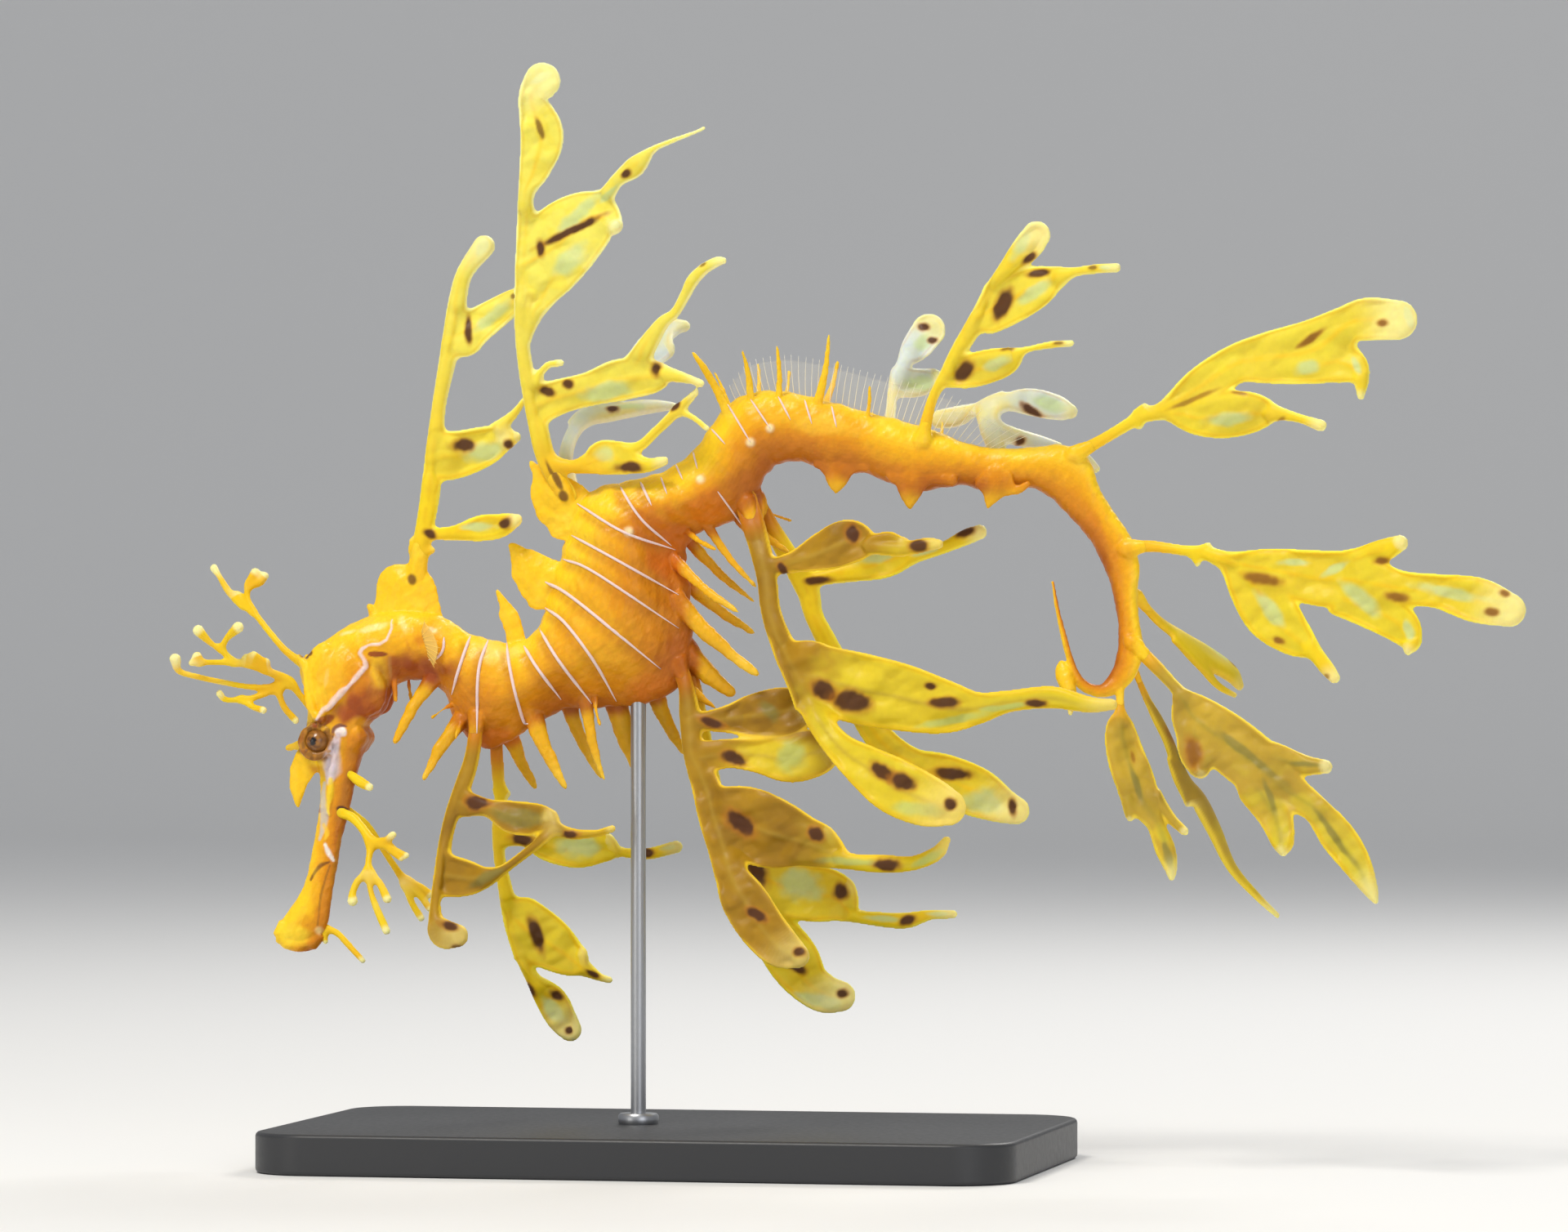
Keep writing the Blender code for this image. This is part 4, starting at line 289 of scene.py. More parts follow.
LEAVES = {
    "leaf_nape": dict(root=0.0, tone="sun", lobes=[
        ribbon([(490, 716, 516, 712), (499, 672, 521, 672), (508, 620, 532, 622), (517, 550, 541, 550),
                (524, 500, 542, 500), (532, 450, 551, 458), (540, 400, 564, 408), (546, 362, 569, 366),
                (556, 329, 577, 333), (579, 291, 602, 306)], out=-3.0),
        ribbon([(556, 374, 548, 446), (578, 375, 572, 424), (604, 363, 600, 402), (628, 350, 630, 380),
                (642, 350, 644, 366)], out=1.5, twist=.2),
        ribbon([(530, 526, 528, 590), (560, 525, 558, 583), (590, 520, 590, 569), (608, 518, 612, 552)],
               out=1.0, twist=-.2),
        ribbon([(604, 514, 612, 530), (624, 500, 631, 508), (638, 484, 643, 488)], out=0.4),
        ribbon([(606, 530, 612, 550), (628, 527, 630, 540)], out=0.4),
        ribbon([(520, 646, 522, 660), (553, 642, 554, 661), (584, 630, 588, 662), (610, 628, 610, 658),
                (630, 628, 631, 644)], out=-5.0),
        lobe([(508, 676), (525, 673)], (12, 8)), lobe([(502, 672), (499, 661)], (12, 5))],
        spots=[(571, 401, 34, 9, 88), (564, 543, 30, 15, 0), (621, 541, 13, 11, 60), (525, 652, 18, 11, 20),
               (621, 639, 16, 13, -40), (628, 362, 7, 6, 0), (500, 711, 13, 11, 80)],
        panels=[(600, 385, 60, 16, -38), (590, 550, 60, 26, -10), (585, 643, 50, 14, 0), (590, 300, 26, 12, -60)]),
    "leaf_shoulder_left": dict(root=-4.5, tone="sun", lobes=[
        ribbon([(682, 612, 704, 600), (657, 566, 680, 558), (644, 510, 668, 512), (634, 455, 653, 452),
                (629, 400, 647, 400), (630, 340, 651, 345), (632, 280, 656, 280), (634, 238, 655, 238),
                (636, 203, 677, 203), (637, 165, 691, 165), (635, 122, 669, 120), (644, 91, 685, 111)], out=-9.0),
        ribbon([(643, 262, 636, 384), (672, 256, 678, 357), (700, 239, 711, 325), (727, 238, 733, 298),
                (750, 266, 754, 290)], out=-6.0, twist=.2),
        lobe([(645, 412), (657, 378), (676, 344), (700, 306)], (11, 24, 44, 56), out=-4.0),
        ribbon([(702, 244, 708, 262), (733, 236, 743, 254), (752, 216, 763, 230), (772, 197, 786, 218),
                (798, 184, 803, 192), (820, 176, 823, 182), (850, 167, 852, 171), (862, 162, 864, 166)], out=-9.0),
        ribbon([(648, 470, 656, 522), (684, 463, 690, 506), (720, 455, 725, 497), (757, 440, 764, 491),
                (794, 442, 800, 483), (815, 450, 820, 470), (845, 461, 846, 472), (858, 467, 860, 476)],
               out=-9.0, twist=-.2),
        ribbon([(766, 442, 796, 448), (786, 414, 806, 426), (806, 392, 819, 402), (822, 382, 833, 388),
                (834, 361, 846, 367), (843, 342, 855, 352), (858, 328, 868, 338), (876, 319, 880, 331),
                (885, 319, 887, 328)], out=-6.0, twist=.2),
        lobe([(655, 468), (662, 455), (672, 446), (686, 444)], (16, 10, 9, 9), out=-2.0),
        ribbon([(668, 556, 672, 576), (700, 562, 702, 579), (722, 552, 726, 580), (740, 538, 742, 581),
                (760, 546, 762, 581), (790, 560, 792, 579), (812, 559, 814, 571)], out=-4.0),
        ribbon([(752, 545, 766, 557), (778, 542, 788, 551), (800, 524, 808, 533), (825, 500, 836, 507),
                (849, 480, 855, 486)], out=-6.0),
        lobe([(830, 503), (850, 513), (866, 526)], (9, 7, 7), out=-2.0)],
        spots=[(702, 283, 84, 9, -24), (663, 304, 22, 11, 80), (772, 215, 13, 9, -40), (669, 478, 22, 12, 15),
               (697, 470, 14, 11, 0), (806, 453, 19, 15, 80), (773, 572, 36, 13, 0), (829, 498, 16, 8, -40),
               (690, 606, 15, 12, 60), (677, 578, 34, 6, 62), (662, 158, 26, 7, 70), (864, 328, 9, 5, -25)],
        panels=[(712, 262, 70, 20, -40), (700, 318, 60, 26, -42), (748, 240, 40, 9, -42), (663, 97, 28, 14, -30),
                (745, 478, 70, 24, -10), (757, 280, 12, 8, 0), (740, 556, 30, 20, 0)]),
    "leaf_shoulder_right": dict(root=4.5, tone="pale", lobes=[
        ribbon([(680, 592, 706, 590), (682, 556, 700, 556), (691, 526, 707, 532), (708, 502, 719, 518),
                (745, 490, 748, 512), (785, 485, 788, 503), (818, 487, 819, 498), (836, 495, 837, 501)],
               out=22.0, twist=1.0),
        ribbon([(694, 510, 708, 524), (735, 472, 752, 490), (760, 434, 786, 454), (777, 408, 812, 432),
                (801, 388, 817, 411), (821, 381, 827, 400), (834, 382, 836, 396)], out=30.0, twist=.7),
        ribbon([(796, 412, 800, 440), (806, 410, 816, 432)], out=3.0)],
        spots=[(745, 503, 16, 8, 0)], panels=[(790, 420, 46, 20, -45), (760, 500, 50, 8, -4)]),
    "leaf_belly_left": dict(root=-3.5, tone="shade", lobes=[
        ribbon([(575, 872, 592, 870), (567, 925, 586, 925), (556, 958, 577, 960), (545, 990, 562, 997),
                (536, 1030, 553, 1030), (531, 1065, 550, 1068), (527, 1100, 540, 1103), (525, 1130, 544, 1124),
                (538, 1159, 549, 1125), (560, 1159, 560, 1130)], out=-13.0),
        ribbon([(570, 968, 556, 1000), (598, 978, 596, 1001), (630, 980, 626, 1020), (660, 983, 655, 1022),
                (675, 989, 671, 1015)], out=-7.0, twist=.3),
        ribbon([(544, 1044, 536, 1098), (572, 1052, 565, 1097), (598, 1061, 590, 1086), (620, 1057, 616, 1069),
                (645, 1036, 652, 1045), (668, 1020, 674, 1028), (679, 1013, 683, 1018)], out=-9.0),
        ribbon([(668, 1000, 672, 1014), (700, 1012, 702, 1026), (730, 1014, 732, 1023), (748, 1009, 754, 1016)],
               out=-3.0)],
        spots=[(588, 985, 32, 15, 8), (553, 1133, 22, 11, 10), (561, 1157, 11, 7, 0), (701, 1020, 24, 10, 0)],
        panels=[(600, 1072, 56, 12, -30), (640, 1002, 70, 26, 4)]),
    "leaf_belly_right": dict(root=3.5, tone="sun", lobes=[
        ribbon([(594, 892, 611, 892), (598, 950, 614, 950), (601, 984, 616, 982), (598, 1018, 614, 1015),
                (599, 1050, 614, 1050), (604, 1090, 622, 1088), (612, 1140, 634, 1132), (624, 1176, 643, 1172),
                (638, 1207, 656, 1204), (651, 1238, 688, 1226), (665, 1262, 700, 1248), (681, 1278, 705, 1262)],
               out=15.0),
        lobe([(607, 968), (617, 974)], (12, 9), out=1.0),
        ribbon([(604, 1012, 612, 1040), (640, 1018, 638, 1041), (670, 1020, 668, 1059), (705, 1020, 702, 1067),
                (734, 1024, 735, 1060), (756, 1040, 757, 1054), (790, 1042, 790, 1057), (825, 1033, 827, 1049)],
               out=11.0, twist=-.2),
        ribbon([(722, 1024, 724, 1050), (738, 1024, 740, 1042)]),
        ribbon([(615, 1094, 627, 1160), (640, 1109, 645, 1182), (665, 1128, 668, 1193), (690, 1154, 690, 1201),
                (708, 1178, 708, 1202), (730, 1197, 728, 1208), (744, 1203, 741, 1211)], out=6.0, twist=.25),
        ribbon([(692, 1164, 692, 1186), (705, 1167, 706, 1184)])],
        spots=[(636, 1030, 30, 13, 5), (789, 1047, 20, 12, 0), (652, 1150, 48, 15, 72), (721, 1199, 20, 8, 25),
               (645, 1217, 22, 9, 62), (677, 1226, 17, 12, 30), (692, 1271, 13, 11, 30)],
        panels=[(705, 1040, 60, 30, 0), (815, 1041, 26, 9, -8), (672, 1245, 44, 20, 55)]),
    "leaf_rump_left": dict(root=-1.3, tone="shade", lobes=[
        ribbon([(817, 808, 838, 804), (830, 842, 850, 840), (832, 880, 858, 876), (837, 925, 862, 920), (847, 965, 882, 957),
                (856, 1004, 896, 1000), (866, 1036, 905, 1030), (876, 1070, 918, 1072), (884, 1104, 940, 1094),
                (906, 1138, 962, 1126), (932, 1164, 978, 1144), (963, 1172, 989, 1157)], out=-17.5),
        ribbon([(848, 874, 852, 894), (893, 863, 890, 897), (925, 849, 925, 902), (955, 841, 960, 901),
                (982, 844, 984, 888)], out=1.0, twist=.2),
        ribbon([(852, 908, 862, 946), (892, 904, 896, 940), (930, 904, 930, 946), (965, 900, 968, 957),
                (993, 893, 998, 950), (1012, 902, 1015, 936)], out=0.5, twist=.2),
        ribbon([(862, 966, 886, 1040), (905, 961, 915, 1050), (940, 973, 945, 1061), (975, 993, 980, 1058),
                (1004, 1009, 1005, 1060), (1035, 1039, 1036, 1061), (1080, 1042, 1080, 1065),
                (1115, 1043, 1118, 1061), (1140, 1032, 1148, 1048), (1152, 1021, 1160, 1027)], out=-8.0, twist=-.2),
        ribbon([(992, 1008, 994, 1040), (1008, 1010, 1009, 1030)])],
        spots=[(873, 886, 34, 12, 20), (898, 928, 34, 17, 20), (908, 1006, 42, 25, 35), (999, 1018, 20, 17, 30),
               (1087, 1053, 32, 15, 3), (928, 1116, 28, 14, 22), (979, 1160, 15, 11, 0)],
        panels=[(942, 870, 30, 20, 50), (970, 925, 40, 40, 0), (1135, 1045, 40, 12, -30), (1040, 1050, 80, 9, 0)]),
    "leaf_rump_right": dict(root=1.3, tone="sun", lobes=[
        ribbon([(828, 806, 846, 800), (842, 844, 858, 838), (852, 890, 868, 888), (862, 950, 880, 946), (872, 1010, 894, 1004),
                (885, 1060, 915, 1050), (900, 1110, 945, 1098), (918, 1150, 975, 1136), (938, 1185, 1002, 1169),
                (964, 1217, 1012, 1192), (992, 1237, 1027, 1204), (1018, 1240, 1040, 1208)], out=15.5),
        ribbon([(890, 1044, 888, 1075), (925, 1048, 930, 1098), (960, 1058, 965, 1124), (995, 1061, 998, 1131),
                (1022, 1072, 1022, 1130), (1045, 1112, 1046, 1132), (1085, 1119, 1085, 1138),
                (1112, 1119, 1112, 1139), (1140, 1116, 1140, 1129), (1168, 1116, 1168, 1127)], out=8.0, twist=.2),
        ribbon([(1015, 1070, 1012, 1100), (1036, 1079, 1036, 1098)])],
        spots=[(925, 1062, 52, 22, 62), (1030, 1094, 20, 18, 80), (1113, 1130, 22, 12, -20), (973, 1185, 32, 14, 30),
               (1032, 1220, 14, 11, 0)],
        panels=[(980, 1085, 60, 44, 20), (1000, 1228, 70, 20, 8), (1080, 1128, 50, 9, 4), (1150, 1122, 30, 7, 0)]),
    "leaf_hip_left": dict(root=-1.9, tone="shade", lobes=[
        ribbon([(898, 606, 926, 616), (912, 645, 938, 656), (926, 705, 951, 703), (932, 750, 957, 750), (945, 795, 974, 788),
                (956, 822, 990, 812), (972, 855, 1004, 845), (990, 890, 1020, 880), (1012, 922, 1045, 905),
                (1042, 957, 1078, 917), (1075, 987, 1112, 930), (1115, 1003, 1143, 947), (1145, 1002, 1167, 964)],
               out=-25.0),
        ribbon([(940, 686, 946, 704), (975, 672, 980, 701), (1010, 649, 1015, 698), (1038, 637, 1044, 690),
                (1064, 660, 1068, 680), (1100, 664, 1104, 682), (1132, 659, 1134, 676), (1146, 661, 1148, 673)],
               out=-4.0, twist=.2),
        ribbon([(1058, 660, 1064, 670), (1085, 651, 1086, 665), (1104, 658, 1104, 668)]),
        ribbon([(958, 776, 978, 868), (1005, 789, 1010, 872), (1050, 798, 1050, 885), (1100, 811, 1100, 893),
                (1150, 830, 1150, 896), (1190, 845, 1192, 885), (1230, 843, 1232, 870), (1280, 838, 1282, 865),
                (1325, 850, 1325, 870), (1352, 853, 1352, 867)], out=-9.0, twist=-.15)],
        spots=[(960, 697, 18, 11, 60), (1044, 654, 24, 18, 70), (1125, 670, 24, 15, -10), (1010, 844, 34, 24, 25),
               (1042, 857, 46, 27, 10), (1138, 838, 14, 9, 20), (1154, 858, 36, 13, -2), (1265, 858, 26, 10, 0),
               (1080, 942, 34, 19, 28), (1104, 953, 32, 20, 15), (1160, 979, 14, 14, 0)],
        panels=[(1160, 880, 90, 12, -12), (1230, 862, 70, 8, -8), (1120, 985, 70, 18, 5)]),
    "leaf_hip_right": dict(root=1.9, tone="sun", lobes=[
        ribbon([(914, 602, 932, 612), (932, 634, 950, 646), (953, 668, 972, 684), (974, 718, 1002, 722), (985, 755, 1008, 750),
                (1002, 792, 1026, 784), (1023, 838, 1050, 828), (1044, 880, 1079, 880), (1066, 914, 1102, 908),
                (1100, 948, 1136, 926), (1140, 980, 1172, 928), (1182, 998, 1210, 943), (1216, 1005, 1242, 970),
                (1234, 1006, 1258, 982)], out=18.0),
        ribbon([(972, 702, 982, 722), (1010, 696, 1012, 716), (1045, 686, 1050, 712), (1080, 669, 1088, 707),
                (1115, 668, 1122, 690), (1150, 664, 1156, 678), (1180, 648, 1186, 667), (1198, 642, 1202, 660)],
               out=6.0, twist=.2)],
        spots=[(1002, 710, 34, 10, 0), (1183, 653, 24, 13, -20), (1167, 948, 46, 15, 4), (1242, 989, 22, 10, 85)],
        panels=[(1075, 683, 60, 15, -12), (1208, 984, 58, 34, 10), (1135, 677, 40, 8, -18)]),
    "leaf_back_left": dict(root=-2.6, tone="sun", lobes=[
        ribbon([(1118, 544, 1136, 546), (1134, 490, 1146, 494), (1150, 456, 1165, 462), (1163, 428, 1181, 436),
                (1182, 395, 1202, 404), (1202, 358, 1222, 366), (1220, 330, 1240, 338), (1238, 301, 1268, 319),
                (1249, 288, 1280, 301)], out=-9.0),
        ribbon([(1206, 366, 1190, 416), (1235, 347, 1222, 403), (1262, 333, 1255, 386), (1283, 332, 1284, 364),
                (1308, 334, 1308, 347), (1335, 331, 1335, 343), (1358, 330, 1359, 342)], out=-8.0, twist=.2),
        ribbon([(1166, 444, 1154, 476), (1190, 437, 1178, 477), (1210, 431, 1206, 472), (1228, 429, 1230, 462),
                (1250, 429, 1252, 438), (1280, 423, 1281, 432), (1304, 422, 1306, 430)], out=-9.0, twist=-.2)],
        spots=[(1226, 377, 40, 19, -64), (1268, 341, 28, 10, -6), (1257, 322, 20, 10, -35), (1333, 336, 11, 6, 0),
               (1180, 457, 30, 18, -52), (1231, 432, 18, 6, -8), (1292, 425, 13, 5, 0)],
        panels=[(1248, 305, 40, 18, -58), (1262, 364, 50, 18, -35), (1218, 448, 34, 16, -25), (1348, 336, 16, 7, 0)]),
    "leaf_back_right_front": dict(root=2.6, tone="pale", lobes=[
        ribbon([(1082, 520, 1096, 520), (1089, 470, 1101, 474), (1100, 437, 1116, 446), (1108, 413, 1138, 433),
                (1119, 394, 1157, 411)], out=11.0, twist=.4),
        ribbon([(1096, 450, 1095, 486), (1120, 450, 1122, 486), (1144, 449, 1140, 478)], out=7.0, twist=.3)],
        spots=[(1133, 399, 15, 11, 0), (1143, 416, 13, 9, 0)], panels=[(1125, 470, 40, 24, 0), (1130, 420, 30, 20, -40)]),
    "leaf_back_right_rear": dict(root=2.6, tone="pale", lobes=[
        ribbon([(1212, 560, 1234, 558), (1199, 522, 1224, 526), (1200, 497, 1226, 508), (1225, 483, 1238, 502),
                (1262, 475, 1262, 509), (1293, 482, 1291, 514), (1313, 494, 1310, 512)], out=13.0, twist=.4),
        ribbon([(1214, 512, 1210, 534), (1240, 523, 1240, 545), (1275, 533, 1275, 550), (1298, 541, 1298, 549)],
               out=9.0),
        lobe([(1226, 484), (1200, 495), (1176, 508), (1152, 512)], (9, 8, 25, 24), out=4.0)],
        spots=[(1246, 540, 12, 14, 20), (1262, 503, 30, 9, 25)], panels=[(1285, 496, 44, 18, 18), (1240, 520, 40, 10, 30)]),
    "leaf_tail_top": dict(root=-1.4, tone="sun", lobes=[
        ribbon([(1304, 554, 1318, 566), (1350, 530, 1355, 543), (1390, 505, 1396, 521), (1420, 492, 1424, 516),
                (1458, 454, 1470, 500), (1500, 427, 1510, 474), (1545, 411, 1552, 475), (1592, 398, 1600, 472),
                (1628, 383, 1638, 430), (1658, 373, 1660, 425), (1688, 377, 1697, 424)], out=-10.0),
        lobe([(1388, 508), (1396, 500)], (10, 7)), lobe([(1388, 516), (1391, 525)], (9, 6)),
        ribbon([(1596, 436, 1592, 474), (1625, 424, 1620, 475), (1648, 438, 1634, 474), (1658, 464, 1643, 478),
                (1655, 490, 1646, 492)], out=-2.0, twist=.2),
        ribbon([(1424, 498, 1428, 518), (1460, 494, 1455, 535), (1490, 484, 1490, 540), (1520, 485, 1522, 534),
                (1548, 500, 1550, 521), (1575, 511, 1577, 522), (1601, 519, 1604, 533)], out=-8.0, twist=-.3)],
        spots=[(1455, 493, 60, 7, -23), (1592, 421, 36, 8, -35), (1676, 404, 14, 9, 0), (1558, 519, 14, 6, -40),
               (1508, 487, 20, 5, 10)],
        panels=[(1495, 516, 56, 18, -8), (1588, 456, 30, 18, -10), (1647, 456, 26, 9, 70), (1706, 398, 30, 10, 75)]),
    "leaf_tail_top_right": dict(root=1.3, tone="pale", lobes=[
        lobe([(1314, 554), (1330, 562), (1341, 574)], (8, 10, 11), out=9.0, twist=.8)], spots=[], panels=[]),
    "leaf_tail_upper_left": dict(root=-1.6, tone="sun", lobes=[
        ribbon([(1372, 664, 1372, 684), (1400, 662, 1400, 677), (1440, 668, 1440, 681), (1470, 671, 1474, 688),
                (1500, 676, 1500, 704), (1545, 673, 1545, 724), (1600, 675, 1598, 742), (1645, 678, 1643, 745),
                (1688, 699, 1696, 742), (1735, 704, 1740, 745), (1780, 708, 1785, 762), (1822, 727, 1816, 767)],
               out=-17.0),
        lobe([(1462, 677), (1472, 668)], (10, 6)), lobe([(1456, 682), (1459, 691)], (9, 7)),
        ribbon([(1636, 676, 1640, 700), (1668, 664, 1678, 690), (1691, 658, 1699, 676)], out=-2.0, twist=.2),
        ribbon([(1626, 708, 1616, 752), (1660, 720, 1650, 766), (1699, 738, 1682, 782), (1716, 770, 1698, 792),
                (1709, 794, 1700, 798)], out=-3.0, twist=-.2),
        ribbon([(1486, 694, 1520, 692), (1497, 728, 1562, 712), (1515, 760, 1578, 745), (1550, 788, 1592, 769),
                (1584, 800, 1604, 793), (1603, 822, 1618, 813), (1613, 832, 1624, 824)], out=-6.0, twist=-.3)],
        spots=[(1535, 709, 46, 13, 12), (1675, 688, 20, 10, -12), (1692, 731, 26, 11, 12), (1555, 783, 14, 9, 20),
               (1800, 749, 17, 10, 10), (1815, 728, 13, 8, 10), (1612, 826, 8, 7, 0)],
        panels=[(1545, 745, 56, 20, 55), (1652, 733, 64, 22, 42), (1622, 697, 40, 11, -28), (1752, 726, 90, 16, 12),
                (1706, 770, 30, 11, 70), (1574, 690, 44, 10, 2)]),
    "leaf_tail_upper_right": dict(root=1.2, tone="shade", lobes=[
        ribbon([(1382, 722, 1388, 734), (1418, 755, 1411, 763), (1448, 774, 1440, 786), (1480, 793, 1467, 812),
                (1510, 815, 1500, 831), (1522, 836, 1516, 844)], out=20.0, twist=2.2),
        lobe([(1436, 784), (1467, 815), (1490, 839), (1511, 851)], (9, 9, 8, 6), out=11.0, twist=2.0)],
        spots=[(1505, 815, 16, 6, 45)], panels=[(1480, 798, 60, 8, 40)]),
    "leaf_tail_lower_left": dict(root=-3.4, tone="dusk", lobes=[
        ribbon([(1384, 778, 1376, 792), (1410, 804, 1401, 818), (1438, 835, 1428, 847), (1452, 845, 1434, 868),
                (1480, 858, 1440, 905), (1512, 877, 1475, 935), (1548, 907, 1510, 963), (1578, 945, 1556, 984),
                (1605, 971, 1588, 1000), (1635, 1001, 1608, 1034), (1655, 1035, 1629, 1060), (1667, 1075, 1650, 1084),
                (1668, 1091, 1661, 1095)], out=-13.0),
        ribbon([(1540, 905, 1552, 940), (1580, 920, 1585, 945), (1607, 926, 1609, 943)], out=-2.0, twist=.2),
        ribbon([(1498, 948, 1548, 958), (1526, 990, 1568, 990), (1542, 1020, 1571, 1022), (1551, 1035, 1563, 1036)],
               out=-4.0, twist=-.2),
        ribbon([(1440, 876, 1468, 878), (1434, 905, 1480, 915), (1446, 934, 1474, 936), (1458, 943, 1468, 941)],
               out=-3.0)],
        spots=[(1453, 919, 38, 20, 78)],
        panels=[(1520, 922, 110, 11, 38), (1620, 1020, 90, 9, 55), (1545, 975, 50, 9, 70), (1585, 933, 46, 7, 4)]),
    "leaf_tail_lower_right": dict(root=0.0, tone="dusk", lobes=[
        ribbon([(1384, 808, 1378, 811), (1402, 848, 1394, 852), (1418, 875, 1408, 882), (1433, 905, 1422, 910),
                (1450, 945, 1437, 955), (1472, 973, 1458, 985), (1492, 1012, 1478, 1020), (1512, 1058, 1502, 1064),
                (1542, 1094, 1536, 1100), (1566, 1118, 1562, 1123)], out=20.0, twist=1.7),
        lobe([(1434, 930), (1444, 958), (1451, 983)], (14, 14, 7), out=3.0, twist=1.0)],
        spots=[(1425, 900, 30, 6, 60)], panels=[(1440, 930, 40, 6, 65)]),
    "leaf_tail_curl": dict(root=-4.2, tone="dusk", lobes=[
        ribbon([(1362, 834, 1370, 833), (1360, 868, 1373, 868), (1348, 893, 1385, 893), (1350, 925, 1397, 925),
                (1361, 958, 1409, 955), (1378, 985, 1413, 980), (1396, 1006, 1418, 1003), (1406, 1035, 1431, 1032),
                (1417, 1058, 1433, 1055), (1422, 1069, 1430, 1068)], out=-7.0, twist=.5),
        ribbon([(1366, 960, 1390, 968), (1369, 988, 1384, 988), (1373, 998, 1381, 998)], out=-1.0),
        ribbon([(1398, 972, 1416, 968), (1420, 1000, 1431, 993), (1437, 1015, 1447, 1011)], out=-2.0)],
        spots=[(1381, 925, 14, 5, 75)], panels=[(1385, 960, 50, 9, 72), (1420, 1045, 44, 10, 75)]),
    "leaf_tail_end": dict(root=-7.2, tone="dusk", lobes=[
        ribbon([(1290, 818, 1306, 820), (1294, 838, 1313, 842), (1299, 858, 1313, 856), (1303, 872, 1308, 872)],
               out=-3.0, twist=.5)],
        spots=[(1303, 848, 12, 7, 80)], panels=[]),
}

# Threads of skin: the same kind of table, thin and round, with knobs at the tips.
THREADS = {
    "brow_threads_right": dict(root=3.2, tone="thread", lobes=[
        lobe([(366, 816), (340, 797), (318, 773), (298, 750), (280, 738), (264, 722), (252, 704), (245, 694)],
             (13, 9, 8, 8, 9, 9, 7, 10), out=9.0),
        lobe([(284, 740), (277, 728)], (7, 10), out=1.0),
        lobe([(297, 748), (290, 730), (291, 714), (299, 700)], (7, 6, 9, 12), out=2.0),
        lobe([(292, 716), (304, 712), (311, 704)], (8, 11, 10), out=1.0)], spots=[], panels=[]),
    "brow_threads_left": dict(root=-7.0, tone="thread", lobes=[
        lobe([(380, 874), (362, 852), (348, 834), (316, 820), (290, 813), (260, 811), (230, 812)],
             (11, 8, 12, 9, 8, 7, 7), out=-9.0),
        lobe([(282, 811), (268, 797), (254, 788), (238, 772)], (7, 7, 7, 14), out=-2.0),
        lobe([(266, 794), (274, 781), (288, 768)], (7, 8, 14), out=-2.0),
        lobe([(320, 818), (311, 806), (306, 802)], (8, 8, 9), out=-1.5), lobe([(310, 808), (296, 805)], (6, 8)),
        lobe([(314, 811), (322, 810)], (6, 7)), lobe([(240, 811), (237, 804)], (7, 12)),
        lobe([(348, 838), (322, 842), (296, 841), (268, 836), (240, 830), (214, 822), (209, 807)],
             (10, 8, 7, 7, 7, 8, 14), out=-7.0),
        lobe([(336, 842), (312, 853), (288, 857), (270, 857), (263, 850)], (8, 7, 7, 7, 9), out=-3.0),
        lobe([(290, 857), (304, 866), (318, 870)], (7, 7, 9), out=-2.0),
        lobe([(334, 843), (342, 866), (356, 883)], (8, 8, 9), out=2.0)], spots=[], panels=[]),
    "snout_threads_left": dict(root=-5.2, tone="thread", lobes=[
        lobe([(412, 997), (427, 1003), (440, 1016), (453, 1032), (468, 1032), (479, 1023)],
             (13, 12, 11, 14, 10, 9), out=-5.0),
        lobe([(466, 1034), (480, 1042), (496, 1048)], (9, 8, 7), out=-1.0),
        lobe([(478, 1042), (489, 1053)], (8, 5), out=-1.0),
        lobe([(451, 1034), (449, 1054), (449, 1070)], (11, 8, 12), out=-3.0),
        lobe([(447, 1070), (436, 1080), (430, 1094), (430, 1104)], (9, 9, 9, 13), out=-2.0),
        lobe([(451, 1070), (463, 1082), (473, 1101)], (9, 9, 11), out=-2.0),
        lobe([(450, 1072), (452, 1092), (460, 1114), (472, 1140)], (9, 7, 9, 10), out=-2.0)], spots=[], panels=[]),
    "snout_threads_right": dict(root=-1.6, tone="thread", lobes=[
        lobe([(418, 992), (444, 1013), (466, 1048), (480, 1070), (490, 1085)], (9, 8, 8, 9, 12), out=7.0),
        lobe([(492, 1082), (508, 1089), (521, 1099)], (9, 7, 9), out=1.0),
        lobe([(493, 1087), (508, 1102), (520, 1117)], (9, 7, 9), out=1.0),
        lobe([(490, 1088), (497, 1109), (509, 1129)], (9, 8, 9), out=1.0)], spots=[], panels=[]),
    "chin_thread": dict(root=-4.4, tone="thread", lobes=[
        lobe([(390, 1138), (408, 1146), (421, 1159), (440, 1179)], (9, 8, 8, 7), out=-1.5),
        lobe([(391, 1142), (393, 1156)], (9, 7))], spots=[], panels=[]),
    "throat_lobe": dict(root=-5.0, tone="thread", lobes=[
        lobe([(422, 948), (436, 958), (449, 965)], (9, 13, 10), out=-2.0)], spots=[], panels=[]),
}
for _leaf in list(LEAVES.values()) + list(THREADS.values()):
    for _branch in _leaf["lobes"][1:]:
        _branch["foot"] = True


